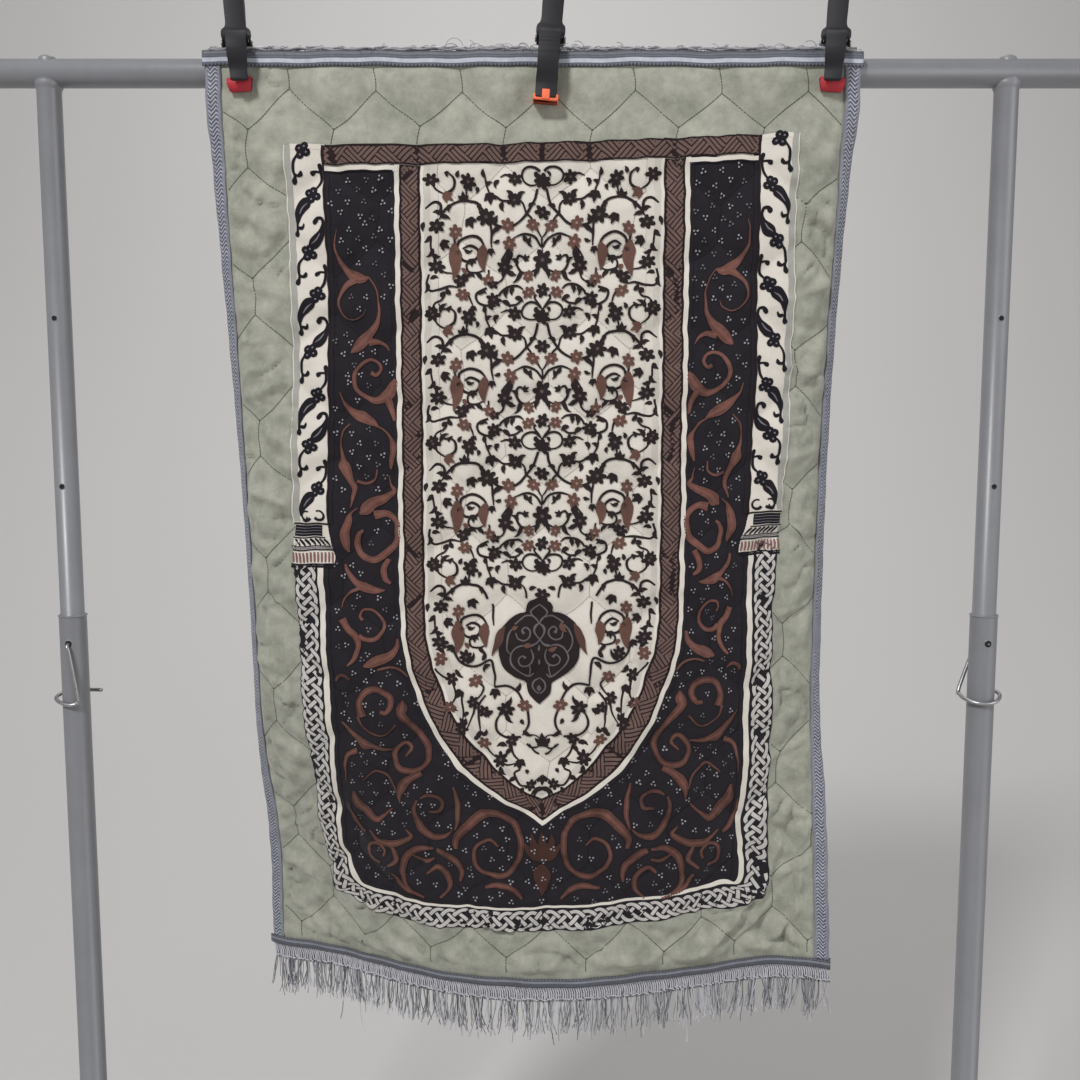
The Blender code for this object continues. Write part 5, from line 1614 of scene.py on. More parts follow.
FOOT_FLOWERS = (
    (325, 85, 8, 0, 7), (180, 95, 8, 1, 6), (240, 215, 7.4, 0, 6), (380, 225, 7.6, 1, 6),
    (370, 345, 7.2, 0, 6), (665, 372, 7.4, 1, 6), (590, 575, 7.2, 0, 6),
    (555, 395, 9, 0, 7), (430, 400, 7, 0, 6), (430, 590, 7.2, 1, 6),
    (525, 680, 8.6, 0, 7), (700, 835, 6.6, 0, 6), (300, 500, 7, 0, 6),
    (235, 372, 6.6, 1, 6),
)
FOOT_PALMETTES = ((290, 285, 8.5, 30), (310, 465, 8.5, 150), (495, 290, 9, 0), (640, 700, 9.5, 0),
                  (245, 30, 7, 60), (410, 525, 6.5, 10))
FOOT_LEAVES = (
    (650, 450, 665, 480, 4), (480, 400, 455, 440, 4), (375, 560, 395, 530, 4.4),
    (425, 545, 445, 505, 4.4), (690, 745, 680, 770, 4), (740, 860, 730, 905, 4.6),
    (785, 860, 700, 905, 4.6), (560, 420, 600, 470, 4.4), (550, 370, 590, 320, 4.4),
    (240, 340, 280, 390, 4.4), (200, 60, 150, 40, 4.4), (330, 120, 370, 60, 4.4),
    (420, 105, 430, 50, 4.2), (470, 130, 430, 180, 4.2), (270, 160, 310, 200, 4.4),
    (610, 290, 640, 240, 4.2), (560, 600, 500, 610, 4.4), (590, 620, 560, 660, 4.2),
    (660, 520, 720, 540, 4.4), (460, 720, 500, 760, 4.4), (530, 720, 560, 770, 4.4),
    (620, 790, 570, 820, 4.4), (660, 850, 650, 890, 4.2), (340, 400, 320, 430, 4.2),
)


def foot_place(x, y):
    """The foot's drawing grid, in squares of about 0.2 mm, as (u, v)."""
    return -149.4 + 0.1946 * x, 640 + 0.20 * y


class RUG_OT_field(bpy.types.Operator):
    """Vine field of the niche: strokes, flowers, palmettes and leaves, mirrored and repeated"""
    bl_idname = "rug.field"
    bl_label = "Niche field"

    def execute(self, context):
        printed = context.scene.rug_print
        self.dark = pile_finish("dark motif", printed.dark_motif, 0.16, 0.6, 0.1)
        self.brown = pile_finish("brown motif", printed.brown_motif, 0.2, 0.6, 0.15)
        self.tones = (self.dark, self.brown)
        self.hearts = (pile_finish("dark flower heart", linear(88, 72, 70), 0.2, 0.6, 0.15),
                       pile_finish("brown flower heart", linear(150, 124, 116), 0.2, 0.6, 0.15))
        sheet = Print()
        for number, (start, pitch) in enumerate(FIELD_ROWS):
            last = number == len(FIELD_ROWS) - 1
            self.repeat(sheet, start, pitch / FIELD_PITCH, last)
        self.below_medallion(sheet)
        sheet.lay("printed_field")
        return {"FINISHED"}

    def palmette(self, sheet, centre, size, degrees, finish, mirrored=True):
        """Five leaves fanned out from a point, the middle one longest."""
        for spread, share in ((-105, 0.55), (-52, 0.85), (0, 1.0), (52, 0.85), (105, 0.55)):
            turn = math.radians(degrees + spread)
            tip = (centre[0] - math.sin(turn) * size * share,
                   centre[1] + math.cos(turn) * size * share)
            sheet.leaf(centre, tip, size * 0.46, finish, 0.1 * np.sign(spread), 3, mirrored)
        sheet.blot(centre, size * 0.3, finish, mirrored=mirrored)

    def repeat(self, sheet, start, stretch, last):
        """One repeat of the field. The last one leaves out what the medallion covers and what
        lies below it.
        """
        def keep(u, v):
            blocked = v > 36 and u < 62 and not (v < 62 and u > 70 - (v - 36))
            return not (last and blocked) and not (last and v > 100)

        for stem in FIELD_STEMS:
            corners = np.array(stem[1:]).reshape(-1, 2)
            if keep(*corners.mean(axis=0)):
                sheet.stem(stem, self.dark, 2, True, (0, start), stretch)
        for u, v, radius, tone, petals in FIELD_FLOWERS:
            if keep(u, v):
                sheet.flower((u, start + v * stretch), radius, self.tones[tone], self.hearts[tone],
                             petals, turn=u * 7 + v * 5, mirrored=u > 0)
        for u, v, size, degrees, tone in FIELD_PALMETTES:
            if keep(u, v):
                self.palmette(sheet, (u, start + v * stretch), size, degrees, self.tones[tone])
        for u0, v0, u1, v1, width, bend, tone in FIELD_LEAVES:
            if keep(u0, v0):
                sheet.leaf((u0, start + v0 * stretch), (u1, start + v1 * stretch), width,
                           self.tones[tone], bend, 3)
        sheet.blot((0, start + 2.5), 10.0, self.dark, lobes=7, depth=0.34, turn=26, aspect=0.88,
                   mirrored=False)
        sheet.stroke(arc((11.5, start - 2.8), (10.8, 9.3), (150, -150), (1.5, 3.0)), self.dark)
        sheet.leaf((5, start - 7), (7, start - 1), 3.0, self.dark, -0.3)

    def below_medallion(self, sheet):
        """The narrowing foot of the niche under the medallion, drawn once and mirrored."""
        for width, *rest in FOOT_STEMS:
            places = [foot_place(*pair) for pair in np.array(rest).reshape(-1, 2)]
            sheet.stem((width, *np.ravel(places)), self.dark)
        for x, y, radius, tone, petals in FOOT_FLOWERS:
            sheet.flower(foot_place(x, y), radius, self.tones[tone], self.hearts[tone], petals, x)
        for x, y, size, degrees in FOOT_PALMETTES:
            self.palmette(sheet, foot_place(x, y), size, degrees, self.dark)
        for x0, y0, x1, y1, width in FOOT_LEAVES:
            sheet.leaf(foot_place(x0, y0), foot_place(x1, y1), width, self.dark, 0.2, 3)
        self.palmette(sheet, (0, 758), 12.5, 180, self.dark, False)
        self.palmette(sheet, (0, 800), 8.5, 0, self.dark, False)
        for side in (1, -1):
            sheet.stroke(arc((side * 10.5, 756), (8.6, 8.2), (90 - 60 * side, 90 + 200 * side),
                             (2.6, 1.2)), self.dark, 2, False)


# Medallion outline, right half, from the point of its upper finial to its lower point.
MEDALLION = ((0.0, 589.5), (5.5, 592.6), (11.8, 595.4), (15.0, 601.5), (15.4, 607.5),
             (21.5, 608.8), (29.5, 611.8), (35.5, 616.5), (41.0, 622.5), (44.4, 630.0),
             (45.8, 641), (45.6, 651), (43.6, 661), (38.5, 671), (29, 680.5), (18.5, 685.8),
             (14.6, 688.6), (14.0, 692.5), (12.0, 700.5), (6.5, 706.5), (0.0, 712.0))
MEDALLION_SHIFT = -3.2
# Scrollwork on its right half: rows of (u, v, width).
MEDALLION_SCROLLS = (
    ((0.0, 598.6, 1.2), (6.0, 602.8, 1.6), (9.4, 607.2, 1.8), (7.4, 611.4, 1.4),
     (3.0, 615.4, 1.2), (0.0, 620.4, 1.0)),
    ((0.0, 620.4, 1.0), (3.6, 615.8, 1.2), (7.4, 612.4, 1.3), (14.6, 611.8, 1.6),
     (21.4, 616.4, 1.4), (27.0, 620.4, 1.8)),
    ((27.5, 622.4, 1.2), (33.4, 629.6, 1.8), (36.8, 639.5, 1.8), (36.2, 648.5, 1.4),
     (31.6, 654.5, 1.2)),
    ((0.0, 620.4, 1.0), (4.8, 624.6, 2.6), (5.6, 630.0, 1.8), (3.0, 635.0, 1.4),
     (0.0, 638.8, 1.2)),
    ((0.0, 638.8, 1.2), (-4.4, 643.6, 1.6), (-9.8, 646.0, 2.6), (-12.6, 646.4, 1.0)),
    ((17.2, 631.6, 3.2), (19.2, 627.6, 1.6), (15.2, 624.6, 1.4), (10.4, 628.8, 1.6),
     (11.6, 635.6, 1.6), (17.6, 639.4, 1.6), (24.4, 637.0, 1.6), (26.2, 630.6, 1.2)),
    ((12.0, 646.8, 1.0), (20.4, 645.2, 1.6), (28.6, 649.6, 1.6), (32.4, 658.8, 1.6),
     (30.0, 667.4, 1.8), (22.4, 675.6, 1.2), (12.6, 681.6, 1.6), (7.0, 678.0, 1.0)),
    ((9.0, 649.8, 1.0), (6.6, 657.6, 1.6), (8.8, 665.6, 1.6), (14.4, 669.4, 1.6),
     (21.0, 667.4, 1.5), (23.2, 661.0, 1.4), (18.8, 656.6, 1.4), (15.2, 659.6, 2.6)),
    ((10.8, 668.0, 1.0), (10.6, 675.0, 1.2), (12.6, 681.6, 1.0)),
    ((0.0, 682.2, 1.0), (5.6, 686.6, 1.5), (7.4, 692.6, 1.8), (4.4, 697.4, 1.2),
     (0.4, 699.6, 1.0)),
    ((0.2, 690.6, 0.6), (1.4, 694.0, 1.8), (0.2, 697.0, 0.6)),
)


class RUG_OT_medallion(bpy.types.Operator):
    """Medallion: a lobed dark figure with thin grey scrollwork, drawn about its own middle"""
    bl_idname = "rug.medallion"
    bl_label = "Medallion"

    def execute(self, context):
        printed = context.scene.rug_print
        body = pile_finish("medallion ground", tint(printed.dark_motif, 0.95), 0.2, 0.8, 0.12)
        line = pile_finish("medallion line", linear(102, 95, 98), 0.3, 0.6, 0.15)
        leaf = pile_finish("medallion leaf", tint(printed.brown_motif, 1.05), 0.3, 0.6, 0.15)
        wing = pile_finish("medallion wing", tint(printed.brown_motif, 0.72), 0.2, 0.6, 0.15)
        sheet = Print()
        shift = MEDALLION_SHIFT
        edge = smooth_line(MEDALLION, 3.0)
        share = np.linspace(-1, 1, 31)
        places = np.stack([shift + edge[:, :1] * share,
                           np.repeat(edge[:, 1:], len(share), axis=1)], axis=-1)
        sheet.add(places, [grid_faces(len(edge), len(share))], body, 4, False)

        def pair(rows, finish=line, level=5):
            rows = np.array(rows, float) * (1, 1, 1.12 if finish is line else 1)
            for side in (1, -1):
                sheet.stroke(np.column_stack([shift + rows[:, 0] * side, rows[:, 1:]]), finish,
                             level, False, step=1.6)

        for rows in MEDALLION_SCROLLS:
            pair(rows)
        for v, size in ((649.0, 2.6), (665.0, 2.8)):
            sheet.stroke(((shift, v - size * 1.7, 0.4), (shift, v, size), (shift, v + size, 0.4)),
                         line, 5, False, step=1.6)
        # Brown leaves inside it, and the brown wings on the field at both sides.
        for side, u, v, tip_u, tip_v, width in ((1, 24.5, 620.5, 30.5, 631.0, 5.4),
                                                (-1, 31.0, 625.0, 24.0, 622.5, 4.0),
                                                (-1, 10.0, 647.0, 19.0, 645.5, 5.0),
                                                (1, 11.0, 651.5, 20.5, 646.5, 4.4)):
            sheet.leaf((shift + side * u, v), (shift + side * tip_u, tip_v), width, leaf, 0.15, 6,
                       False)
        pair(((38.5, 622, 1.5), (42.5, 629, 7.5), (46.0, 638, 9.0), (49.6, 647, 5.5),
              (53.4, 656.5, 0.8)), wing, 5)
        sheet.lay("printed_medallion")
        return {"FINISHED"}


# The column's vine, in millimetres from the column's middle, plus towards the black panel.
# Two kinds of flower take turns down it, at the places of VINE_PLACES.
COLUMN_MIDDLE = 256.8
VINE_WIDTH = 1.28
VINE_PLACES = (103.4, 149.5, 209.9, 255.5, 316.0, 364.4, 419.8, 468.1)
VINE_A = (
    ((8.4, -6, 1.6), (13.7, -13.7, 2.4), (14.5, -24, 2.4), (13.7, -31, 3.6), (13.0, -33, 1.5)),
    ((13.7, -24.4, 2.0), (9, -24.6, 2.0), (5.6, -22.4, 4.2), (5.0, -20.0, 1.2)),
    ((1.5, 4.6, 5.5), (-3, 8, 10.5), (-8, 13, 9.6), (-12.4, 20, 6.5), (-14.2, 30, 2)),
    ((-14.2, 28, 2.2), (-13.7, 36, 2.4), (-14.2, 40.4, 4.4), (-13.4, 43.0, 1.2)),
    ((-12.4, 33, 2.2), (-8.4, 34.4, 3.2), (-6.5, 31, 1.6), (-6.9, 29.5, 0.8)),
)
VINE_B = (
    ((-1, -5, 4.0), (4, -9.4, 9.6), (9.4, -15, 9.0), (13.4, -22, 5), (15, -30, 2.2)),
    ((15, -29, 2.2), (13.2, -35, 2.6), (8.6, -35.6, 3.0), (6, -31.5, 4.4), (6.6, -29.2, 1.2)),
    ((-9, 4, 1.6), (-13.4, 11, 2.4), (-14, 20, 2.4), (-13, 26, 2.2), (-14.4, 32, 4.4),
     (-13.8, 34.6, 1.2)),
    ((-13.6, 23, 1.8), (-10, 25.4, 2.4), (-6.6, 24, 3.8), (-6.2, 20.6, 1.2)),
)
VINE_SHEEN = (((-1, 8.5, 0.5), (-6.5, 12.6, 1.7), (-10.5, 18.5, 0.9)),
              ((1.5, -9.5, 0.5), (7.0, -13.5, 1.6), (11.2, -19.5, 0.9)))


class RUG_OT_columns(bpy.types.Operator):
    """Columns and capitals: a running vine of two flowers to a repeat, then banded capitals"""
    bl_idname = "rug.columns"
    bl_label = "Columns and capitals"

    def execute(self, context):
        printed = context.scene.rug_print
        vine = pile_finish("vine", printed.vine, 0.15, 0.6, 0.1)
        grey = pile_finish("vine highlight", linear(120, 116, 124), 0.15, 0.6, 0.1)
        white = pile_finish("capital white", printed.white, 0.06, 0.6, 0.2)
        flute = pile_finish("capital flute", linear(128, 92, 88), 0.2, 0.6, 0.15)
        sheet = Print()
        kinds = ((VINE_B, VINE_SHEEN[1], -3.0), (VINE_A, VINE_SHEEN[0], 5.0))
        for number, v0 in enumerate(VINE_PLACES):
            self.unit(sheet, v0, *kinds[number % 2], vine, grey)
        self.capital(sheet, vine, grey, white, flute)
        sheet.lay("printed_columns")
        return {"FINISHED"}

    def unit(self, sheet, v0, rows, sheen, flower_u, vine, grey):
        """One flower of four round petals, unevenly set, with its leaf, stem and curls; rows
        that would leave the column's length are left out.
        """
        def place(row):
            row = np.array(row, float)
            return np.column_stack([-(COLUMN_MIDDLE - row[:, 0]), v0 + row[:, 1], row[:, 2]])

        for row in rows:
            line = place(row)
            if line[:, 1].min() > 98 and line[:, 1].max() < CAPITAL[0] - 1:
                sheet.stroke(line * (1, 1, VINE_WIDTH), vine, 3, step=1.8)
        if not 101 < v0 < CAPITAL[0] - 6:
            return
        line = place(sheen)
        if line[:, 1].min() > 100 and line[:, 1].max() < CAPITAL[0] - 1:
            sheet.stroke(line, grey, 4, step=1.8)
        centre = np.array((-(COLUMN_MIDDLE - flower_u), v0))
        for turn in range(4):
            angle = math.radians(turn * 96 + 18 + 7 * math.sin(v0))
            aside = np.array((math.sin(angle), -math.cos(angle)))
            sheet.blot(centre + aside * 4.8, 4.6, vine, level=3)
            sheet.blot(centre + aside * 4.6, 1.1, grey, level=5)
        sheet.blot(centre, 3.4, vine, level=4)

    def capital(self, sheet, vine, grey, white, flute):
        """The capital that ends a column, drawn about its own head line: a dark block with
        three thin lines, slanted strokes, a toothed edge and a row of flutes.
        """
        v = CAPITAL[0] - 1.0

        def level_line(outer, inner, at, width, finish, level=4):
            sheet.stroke(((-outer, at, width), (-(outer + inner) / 2, at, width),
                          (-inner, at, width)), finish, level)

        for number in range(14):
            level_line(279.0, 240.0 - min(number, 11) * 0.6, v + 1 + number * 3.4, 3.6, white, 2)
        level_line(279.5, 240.5, v + 1.2, 2.0, vine)
        for number in range(4):
            level_line(278.5, 246.0, v + 4.6 + number * 3.0, 3.2, vine, 3)
        for number in range(3):
            level_line(277.5, 247.0, v + 6.0 + number * 3.2, 0.6, grey, 5)
        level_line(280, 243, v + 16.8, 1.4, vine)
        for number in range(7):
            u = 277 - number * 5.4
            sheet.stroke(((-u, v + 18.5, 2.0), (-(u - 3.6), v + 21.5, 2.6),
                          (-(u - 7.0), v + 25.5, 1.6)), vine, 4)
        for inner, below, width, finish in ((236, 26.6, 1.2, vine), (234, 28.6, 1.4, grey),
                                            (233, 30.8, 1.6, vine)):
            level_line(281, inner, v + below, width, finish)
        for number in range(12):
            u = 279 - number * 3.9
            sheet.stroke(((-u, v + 33.5, 1.9), (-u, v + 39, 2.3), (-(u - 0.6), v + 44.5, 1.9)),
                         flute, 4)
        level_line(281, 233, v + 46.6, 1.7, vine)
        level_line(281, 236, v + 49.2, 2.6, vine, 3)
        for side in (-1, 1):
            curl = arc((-(COLUMN_MIDDLE + side * 7.5), v - 8), (5.6, 5.2),
                       (90 - side * 60, 90 + side * 210), (3.4, 1.6))
            sheet.stroke(curl, vine, 3, step=1.8)


# Scrolls of the black panels, left side: rows of (u, v, width), mirrored to the right.
SCROLLS = (
    ((-227, 185, 1), (-230, 198, 1.5), (-229, 212, 3), (-218, 228, 7), (-205, 237, 12),
     (-196, 238, 8), (-190, 236, 2)),
    ((-205, 238, 10), (-218, 244, 6), (-227, 254, 4), (-229, 266, 2.5), (-221, 278, 1.5),
     (-209, 282, 1.5), (-198, 277, 1.2), (-194, 270, 1)),
    ((-190, 236, 1.5), (-183, 246, 1.5), (-178, 262, 2), (-179, 280, 4), (-186, 292, 8),
     (-198, 304, 13), (-206, 312, 11), (-213, 318, 2)),
    ((-192, 306, 9), (-180, 305, 5), (-172, 309, 3), (-167, 316, 1)),
    ((-189, 339, 5), (-183, 341, 4), (-178, 335, 4), (-181, 328, 3.5), (-190, 325, 3.5),
     (-202, 331, 4), (-209, 342, 5), (-207, 356, 5), (-196, 366, 5), (-182, 369, 8),
     (-170, 363, 12), (-163, 352, 9), (-161, 346, 3)),
    ((-172, 366, 9), (-166, 378, 6), (-162, 392, 3)),
    ((-226, 360, 1), (-222, 372, 3), (-212, 382, 8), (-199, 388, 12), (-187, 393, 8),
     (-180, 397, 1)),
    ((-214, 395, 1.5), (-223.5, 404.5, 2), (-226, 419, 2), (-222.6, 434, 6), (-221, 441, 13),
     (-214.5, 456, 7), (-209, 467, 6), (-210, 477, 4), (-213.6, 488, 1)),
    ((-207, 459, 3), (-196.5, 461, 3), (-186, 456, 2.4), (-183, 445, 1.5)),
    ((-187.5, 395, 1.5), (-175, 401, 2), (-168, 410, 3), (-164, 421, 7), (-166, 436, 5),
     (-168, 445, 2)),
    ((-170, 452, 1), (-168, 463, 2), (-164, 470, 6), (-175, 477, 9), (-189, 483, 12),
     (-196.5, 490, 13), (-203, 495, 2)),
    ((-187.5, 496, 10), (-173, 494, 7), (-162, 503, 6), (-161, 516, 6), (-164, 529, 7),
     (-177, 540, 8), (-189, 546, 7), (-202, 541, 7), (-207, 529, 7), (-204, 518, 5),
     (-199, 513, 3)),
    ((-171, 545, 6), (-176, 556, 7), (-175, 567, 6), (-169, 572.5, 3)),
    ((-205, 488.5, 1), (-213, 494, 3), (-216, 501, 8), (-220, 517, 11), (-219, 530, 8),
     (-217, 538, 2)),
    ((-221, 551, 3), (-218, 560, 5), (-209, 571, 7), (-196.5, 578, 11), (-182, 580, 5),
     (-176, 580, 1)),
    ((-205, 578, 4), (-216, 583, 3), (-223.5, 591, 2), (-226, 600, 1)),
    ((-203, 616, 3.4), (-205.5, 611, 3), (-201, 604, 3), (-189, 603.5, 3), (-180, 613, 3.4),
     (-179, 625, 4), (-187.5, 636, 5), (-200, 637, 5), (-207, 633, 5)),
    ((-225, 613, 9), (-220, 624, 7), (-211, 633, 7), (-207, 645, 6), (-213, 658, 5),
     (-222, 667, 2)),
    ((-162, 636, 3), (-164, 647, 6), (-173, 656, 9), (-187.5, 662, 12), (-196.5, 666, 9),
     (-203, 669, 2)),
    ((-187.5, 673, 2.4), (-173, 669, 2.4), (-160, 673, 3), (-152, 680, 2)),
)
# Lower scrolls, in a finer drawing grid of 0.2 mm squares: see low_scroll_place.
LOW_SCROLLS = (
    ((45, 230, 3), (60, 200, 4), (95, 190, 4), (130, 215, 3)),
    ((200, 430, 11), (180, 350, 8), (220, 290, 7), (290, 270, 7), (360, 300, 7), (375, 350, 7),
     (350, 395, 6), (310, 395, 4)),
    ((170, 430, 4), (200, 490, 2.4), (270, 530, 2.2), (340, 525, 2.2), (400, 470, 2)),
    ((440, 330, 2), (440, 370, 12), (440, 420, 9), (540, 530, 7), (585, 600, 7), (580, 670, 6),
     (540, 715, 6), (480, 735, 7), (410, 720, 7), (385, 650, 6), (440, 585, 5), (490, 610, 4),
     (450, 660, 2)),
    ((60, 470, 2), (100, 510, 5), (150, 560, 8), (200, 600, 12), (260, 610, 7), (320, 617, 5),
     (380, 620, 2)),
    ((150, 630, 7), (90, 650, 5), (65, 720, 3), (65, 800, 1)),
    ((180, 790, 2), (260, 740, 3), (330, 765, 3), (370, 810, 3), (390, 870, 2)),
    ((540, 740, 8), (480, 775, 8), (430, 820, 11), (400, 890, 5), (400, 930, 1)),
    ((360, 950, 2), (310, 990, 4), (250, 1015, 8), (180, 980, 11), (120, 920, 12), (110, 850, 3)),
    ((510, 900, 3), (490, 970, 6), (530, 1070, 8), (600, 1120, 8), (670, 1115, 5), (720, 1080, 1)),
    ((580, 970, 3), (640, 975, 4), (660, 920, 4), (620, 880, 4), (570, 870, 4), (530, 890, 2)),
    ((720, 830, 2), (745, 930, 6), (745, 1020, 5), (730, 1080, 2)),
    ((190, 1080, 2), (250, 1130, 6), (320, 1150, 9), (400, 1145, 8), (470, 1110, 5),
     (440, 1070, 2)),
    ((250, 1270, 4), (190, 1240, 5), (190, 1170, 5), (250, 1150, 4), (300, 1190, 4),
     (285, 1230, 3)),
    ((300, 1290, 3), (370, 1250, 6), (365, 1200, 6), (340, 1160, 2)),
    ((600, 1190, 3), (500, 1190, 8), (430, 1240, 8), (400, 1330, 7), (420, 1400, 6),
     (480, 1450, 3)),
    ((620, 1200, 6), (670, 1220, 9), (740, 1270, 8), (770, 1330, 6), (760, 1390, 3)),
    ((740, 1190, 5), (740, 1130, 8), (800, 1060, 11), (900, 1000, 11), (1010, 1010, 8),
     (1090, 1090, 7), (1110, 1180, 7), (1090, 1280, 6), (1040, 1350, 6), (960, 1370, 6),
     (880, 1330, 5), (840, 1250, 5), (860, 1180, 4), (930, 1150, 4), (980, 1190, 3)),
    ((560, 1330, 3), (620, 1300, 6), (680, 1350, 8), (690, 1430, 5), (640, 1480, 3)),
    ((60, 920, 1), (70, 1000, 5), (110, 1060, 6), (160, 1090, 4)),
    ((470, 1220, 2), (540, 1260, 5), (600, 1250, 3)),
    ((900, 1440, 3), (980, 1420, 6), (1060, 1440, 6), (1120, 1500, 3)),
    ((330, 1330, 3), (380, 1400, 6), (450, 1480, 6), (540, 1500, 3)),
)


DOT_STEP_ACROSS = 19.5
DOT_STEP_DOWN = 12.3
DOT_CIRCLE = 2.3
CLEAR_OF_SCROLLS = 3.6


def low_scroll_place(x, y):
    """The lower drawing grid's (x, y) as (u, v): even steps across, and rows that sink towards
    the left as the panel's foot does.
    """
    u = -246 + 0.2 * x
    v = 640 + 0.2022 * y + np.clip((y - 600) / 700, 0, 1) * np.clip(-u - 60, 0, 200) * 0.13
    return u, v


class RUG_OT_scrolls(bpy.types.Operator):
    """Scrolls and dots of the black panels: brush strokes, and dots in clusters of three"""
    bl_idname = "rug.scrolls"
    bl_label = "Panel scrolls and dots"

    def execute(self, context):
        printed = context.scene.rug_print
        scroll = pile_finish("scroll", printed.scroll, 0.6, 0.8, 0.15)
        low_scroll = pile_finish("lower scroll", tint(printed.scroll, 0.66), 0.7, 0.8, 0.15)
        faint = pile_finish("faint scroll", tint(printed.scroll, 0.4), 0.3, 0.8, 0.1)
        dot = pile_finish("panel dots", printed.dots, 0.25, 0.6, 0.1)
        dim_dot = pile_finish("dim panel dots", tint(printed.dots, 0.45), 0.25, 0.6, 0.1)
        sheet = Print()
        self.lines = []  # every scroll's smooth line, for the dots to keep clear of
        bright = pile_finish("scroll highlight", tint(printed.scroll, 1.25), 0.4, 0.8, 0.15)
        for rows in SCROLLS:
            self.scroll(sheet, rows, scroll, bright)
        for rows in LOW_SCROLLS:
            rows = np.array(rows, float)
            u, v = low_scroll_place(rows[:, 0], rows[:, 1])
            v = np.minimum(v, np.interp(np.abs(u), *np.array(PANEL_FOOT).T) - rows[:, 2] / 2 - 1)
            self.scroll(sheet, np.column_stack([u, v, rows[:, 2]]), low_scroll, scroll)
        for degrees in (-60, -28, 0, 28, 60):
            turn = math.radians(degrees)
            tip = (30 * math.sin(turn) * 0.8, 890 - 30 * math.cos(turn))
            sheet.leaf((0, 895), tip, 9, faint, 0.1 * np.sign(degrees), 2, False)
        sheet.leaf((0, 900), (0, 940), 16, faint, 0.0, 2, False)
        self.dots(sheet, (dot, dim_dot))
        sheet.lay("printed_scrolls")
        return {"FINISHED"}

    def scroll(self, sheet, rows, finish, bright):
        """A scroll, with a lighter stroke on the middle of its wide parts."""
        rows = np.array(rows, float)
        self.lines.append(smooth_line(rows, 4.0))
        sheet.stroke(rows, finish, 2)
        if rows[:, 2].max() > 4.5:
            inner = rows * (1, 1, 0.42)
            inner[:, 2] = np.maximum(inner[:, 2] - 0.4, 0.15)
            sheet.stroke(inner, bright, 3)

    def dots(self, sheet, finishes):
        """Clusters on a jittered lattice, every second row shifted by half a step, kept where
        the ground is black and no scroll is near; each is three dots on a small circle.
        """
        draw = np.random.default_rng(5)
        u, v = np.meshgrid(np.arange(-232, 233, DOT_STEP_ACROSS),
                           np.arange(133, 950, DOT_STEP_DOWN))
        u = u + np.where(np.arange(len(u)) % 2, 9.7, 0)[:, None]
        spots = np.column_stack([u.ravel(), v.ravel()]) + draw.normal(0, 2.0, (u.size, 2))
        clear = np.ones(len(spots), bool)
        for dx, dy in ((-6, 0), (6, 0), (0, -6), (0, 6), (0, 0)):
            across, drop = design_place(spots[:, 0] + dx, spots[:, 1] + dy)
            clear &= ground_slot(across, drop) == 1
        foot = np.interp(np.abs(spots[:, 0]), *np.array(PANEL_FOOT).T)
        clear &= (np.abs(spots[:, 0]) < 233) & (spots[:, 1] < foot - 5)
        lines = np.concatenate(self.lines)
        apart = np.hypot(np.abs(spots[:, :1]) - np.abs(lines[:, 0]), spots[:, 1:] - lines[:, 1])
        clear &= (apart - lines[:, 2] / 2).min(axis=1) > CLEAR_OF_SCROLLS
        for u, v in spots[clear]:
            turn = draw.uniform(0, TAU)
            look = finishes[int(draw.random() < 0.35)]
            for k in range(3):
                angle = turn + k * TAU / 3
                sheet.blot((u + DOT_CIRCLE * math.cos(angle), v + DOT_CIRCLE * math.sin(angle)),
                           draw.uniform(0.9, 1.25), look, level=3, mirrored=False)


# ---------------------------------------------------------------- the stand
UPRIGHT_OFFSET = 0.523
UPPER_RADIUS = 0.013
SLEEVE_RADIUS = 0.015
SLEEVE_RIM = BAR_HEIGHT - 0.597
PIN_HOLE = BAR_HEIGHT - 0.629
PIN_RING = BAR_HEIGHT - 0.696
SPARE_HOLES_BELOW_BAR = (0.264, 0.450)
# A tube's closed end over the bar: radius, and height above the bar's axis.
DOME = ((0.0094, 0.0080), (0.0096, 0.0120), (0.0092, 0.0150), (0.0082, 0.0168),
        (0.0062, 0.0180), (0.0035, 0.0186), (0.0, 0.0187))
INSIDE_SLEEVE = 0.15
BEAD = 0.0017
FOOT_AXIS = 0.019
FOOT_HALF = 0.244
SHOE_ROUNDING = 0.005
WIRE_RADIUS = 0.0022


def paint_finish(stand):
    """Grey enamel: faint streaks along the tubes, dust, and small scratches that show metal."""
    finish = Finish("grey paint", {"Coat Weight": 0.25, "Coat Roughness": 0.3})
    stretched = finish.node("Mapping", {}, {"Vector": finish.place, "Scale": (1.0, 1.0, 0.12)})
    streaks = finish.noise(120.0, 4.0, 0.6, stretched)
    dust = finish.noise(22.0, 4.0, 0.6)
    peel = finish.noise(420.0, 2.0)
    scratch = finish.between(finish.noise(210.0, 5.0, 0.75), 0.735, 0.76)
    colour = finish.scaled(stand.paint, 0.84 + dust * 0.2 + streaks * 0.14)
    colour = finish.mix(scratch, colour, linear(176, 176, 178))
    return finish.surface(colour, 0.30 + dust * 0.22 + scratch * 0.1, peel * 0.5 - scratch, 0.0002)


def steel_finish(name, colour, roughness):
    finish = Finish(name, {"Metallic": 1.0})
    rubbed = finish.noise(160.0, 4.0, 0.65)
    specks = finish.between(finish.noise(520.0, 3.0), 0.62, 0.7)
    tone = finish.mix(specks * 0.5, finish.scaled(colour, 0.8 + rubbed * 0.4),
                      linear(96, 92, 88))
    return finish.surface(tone, roughness + rubbed * 0.2, rubbed, 0.00015)


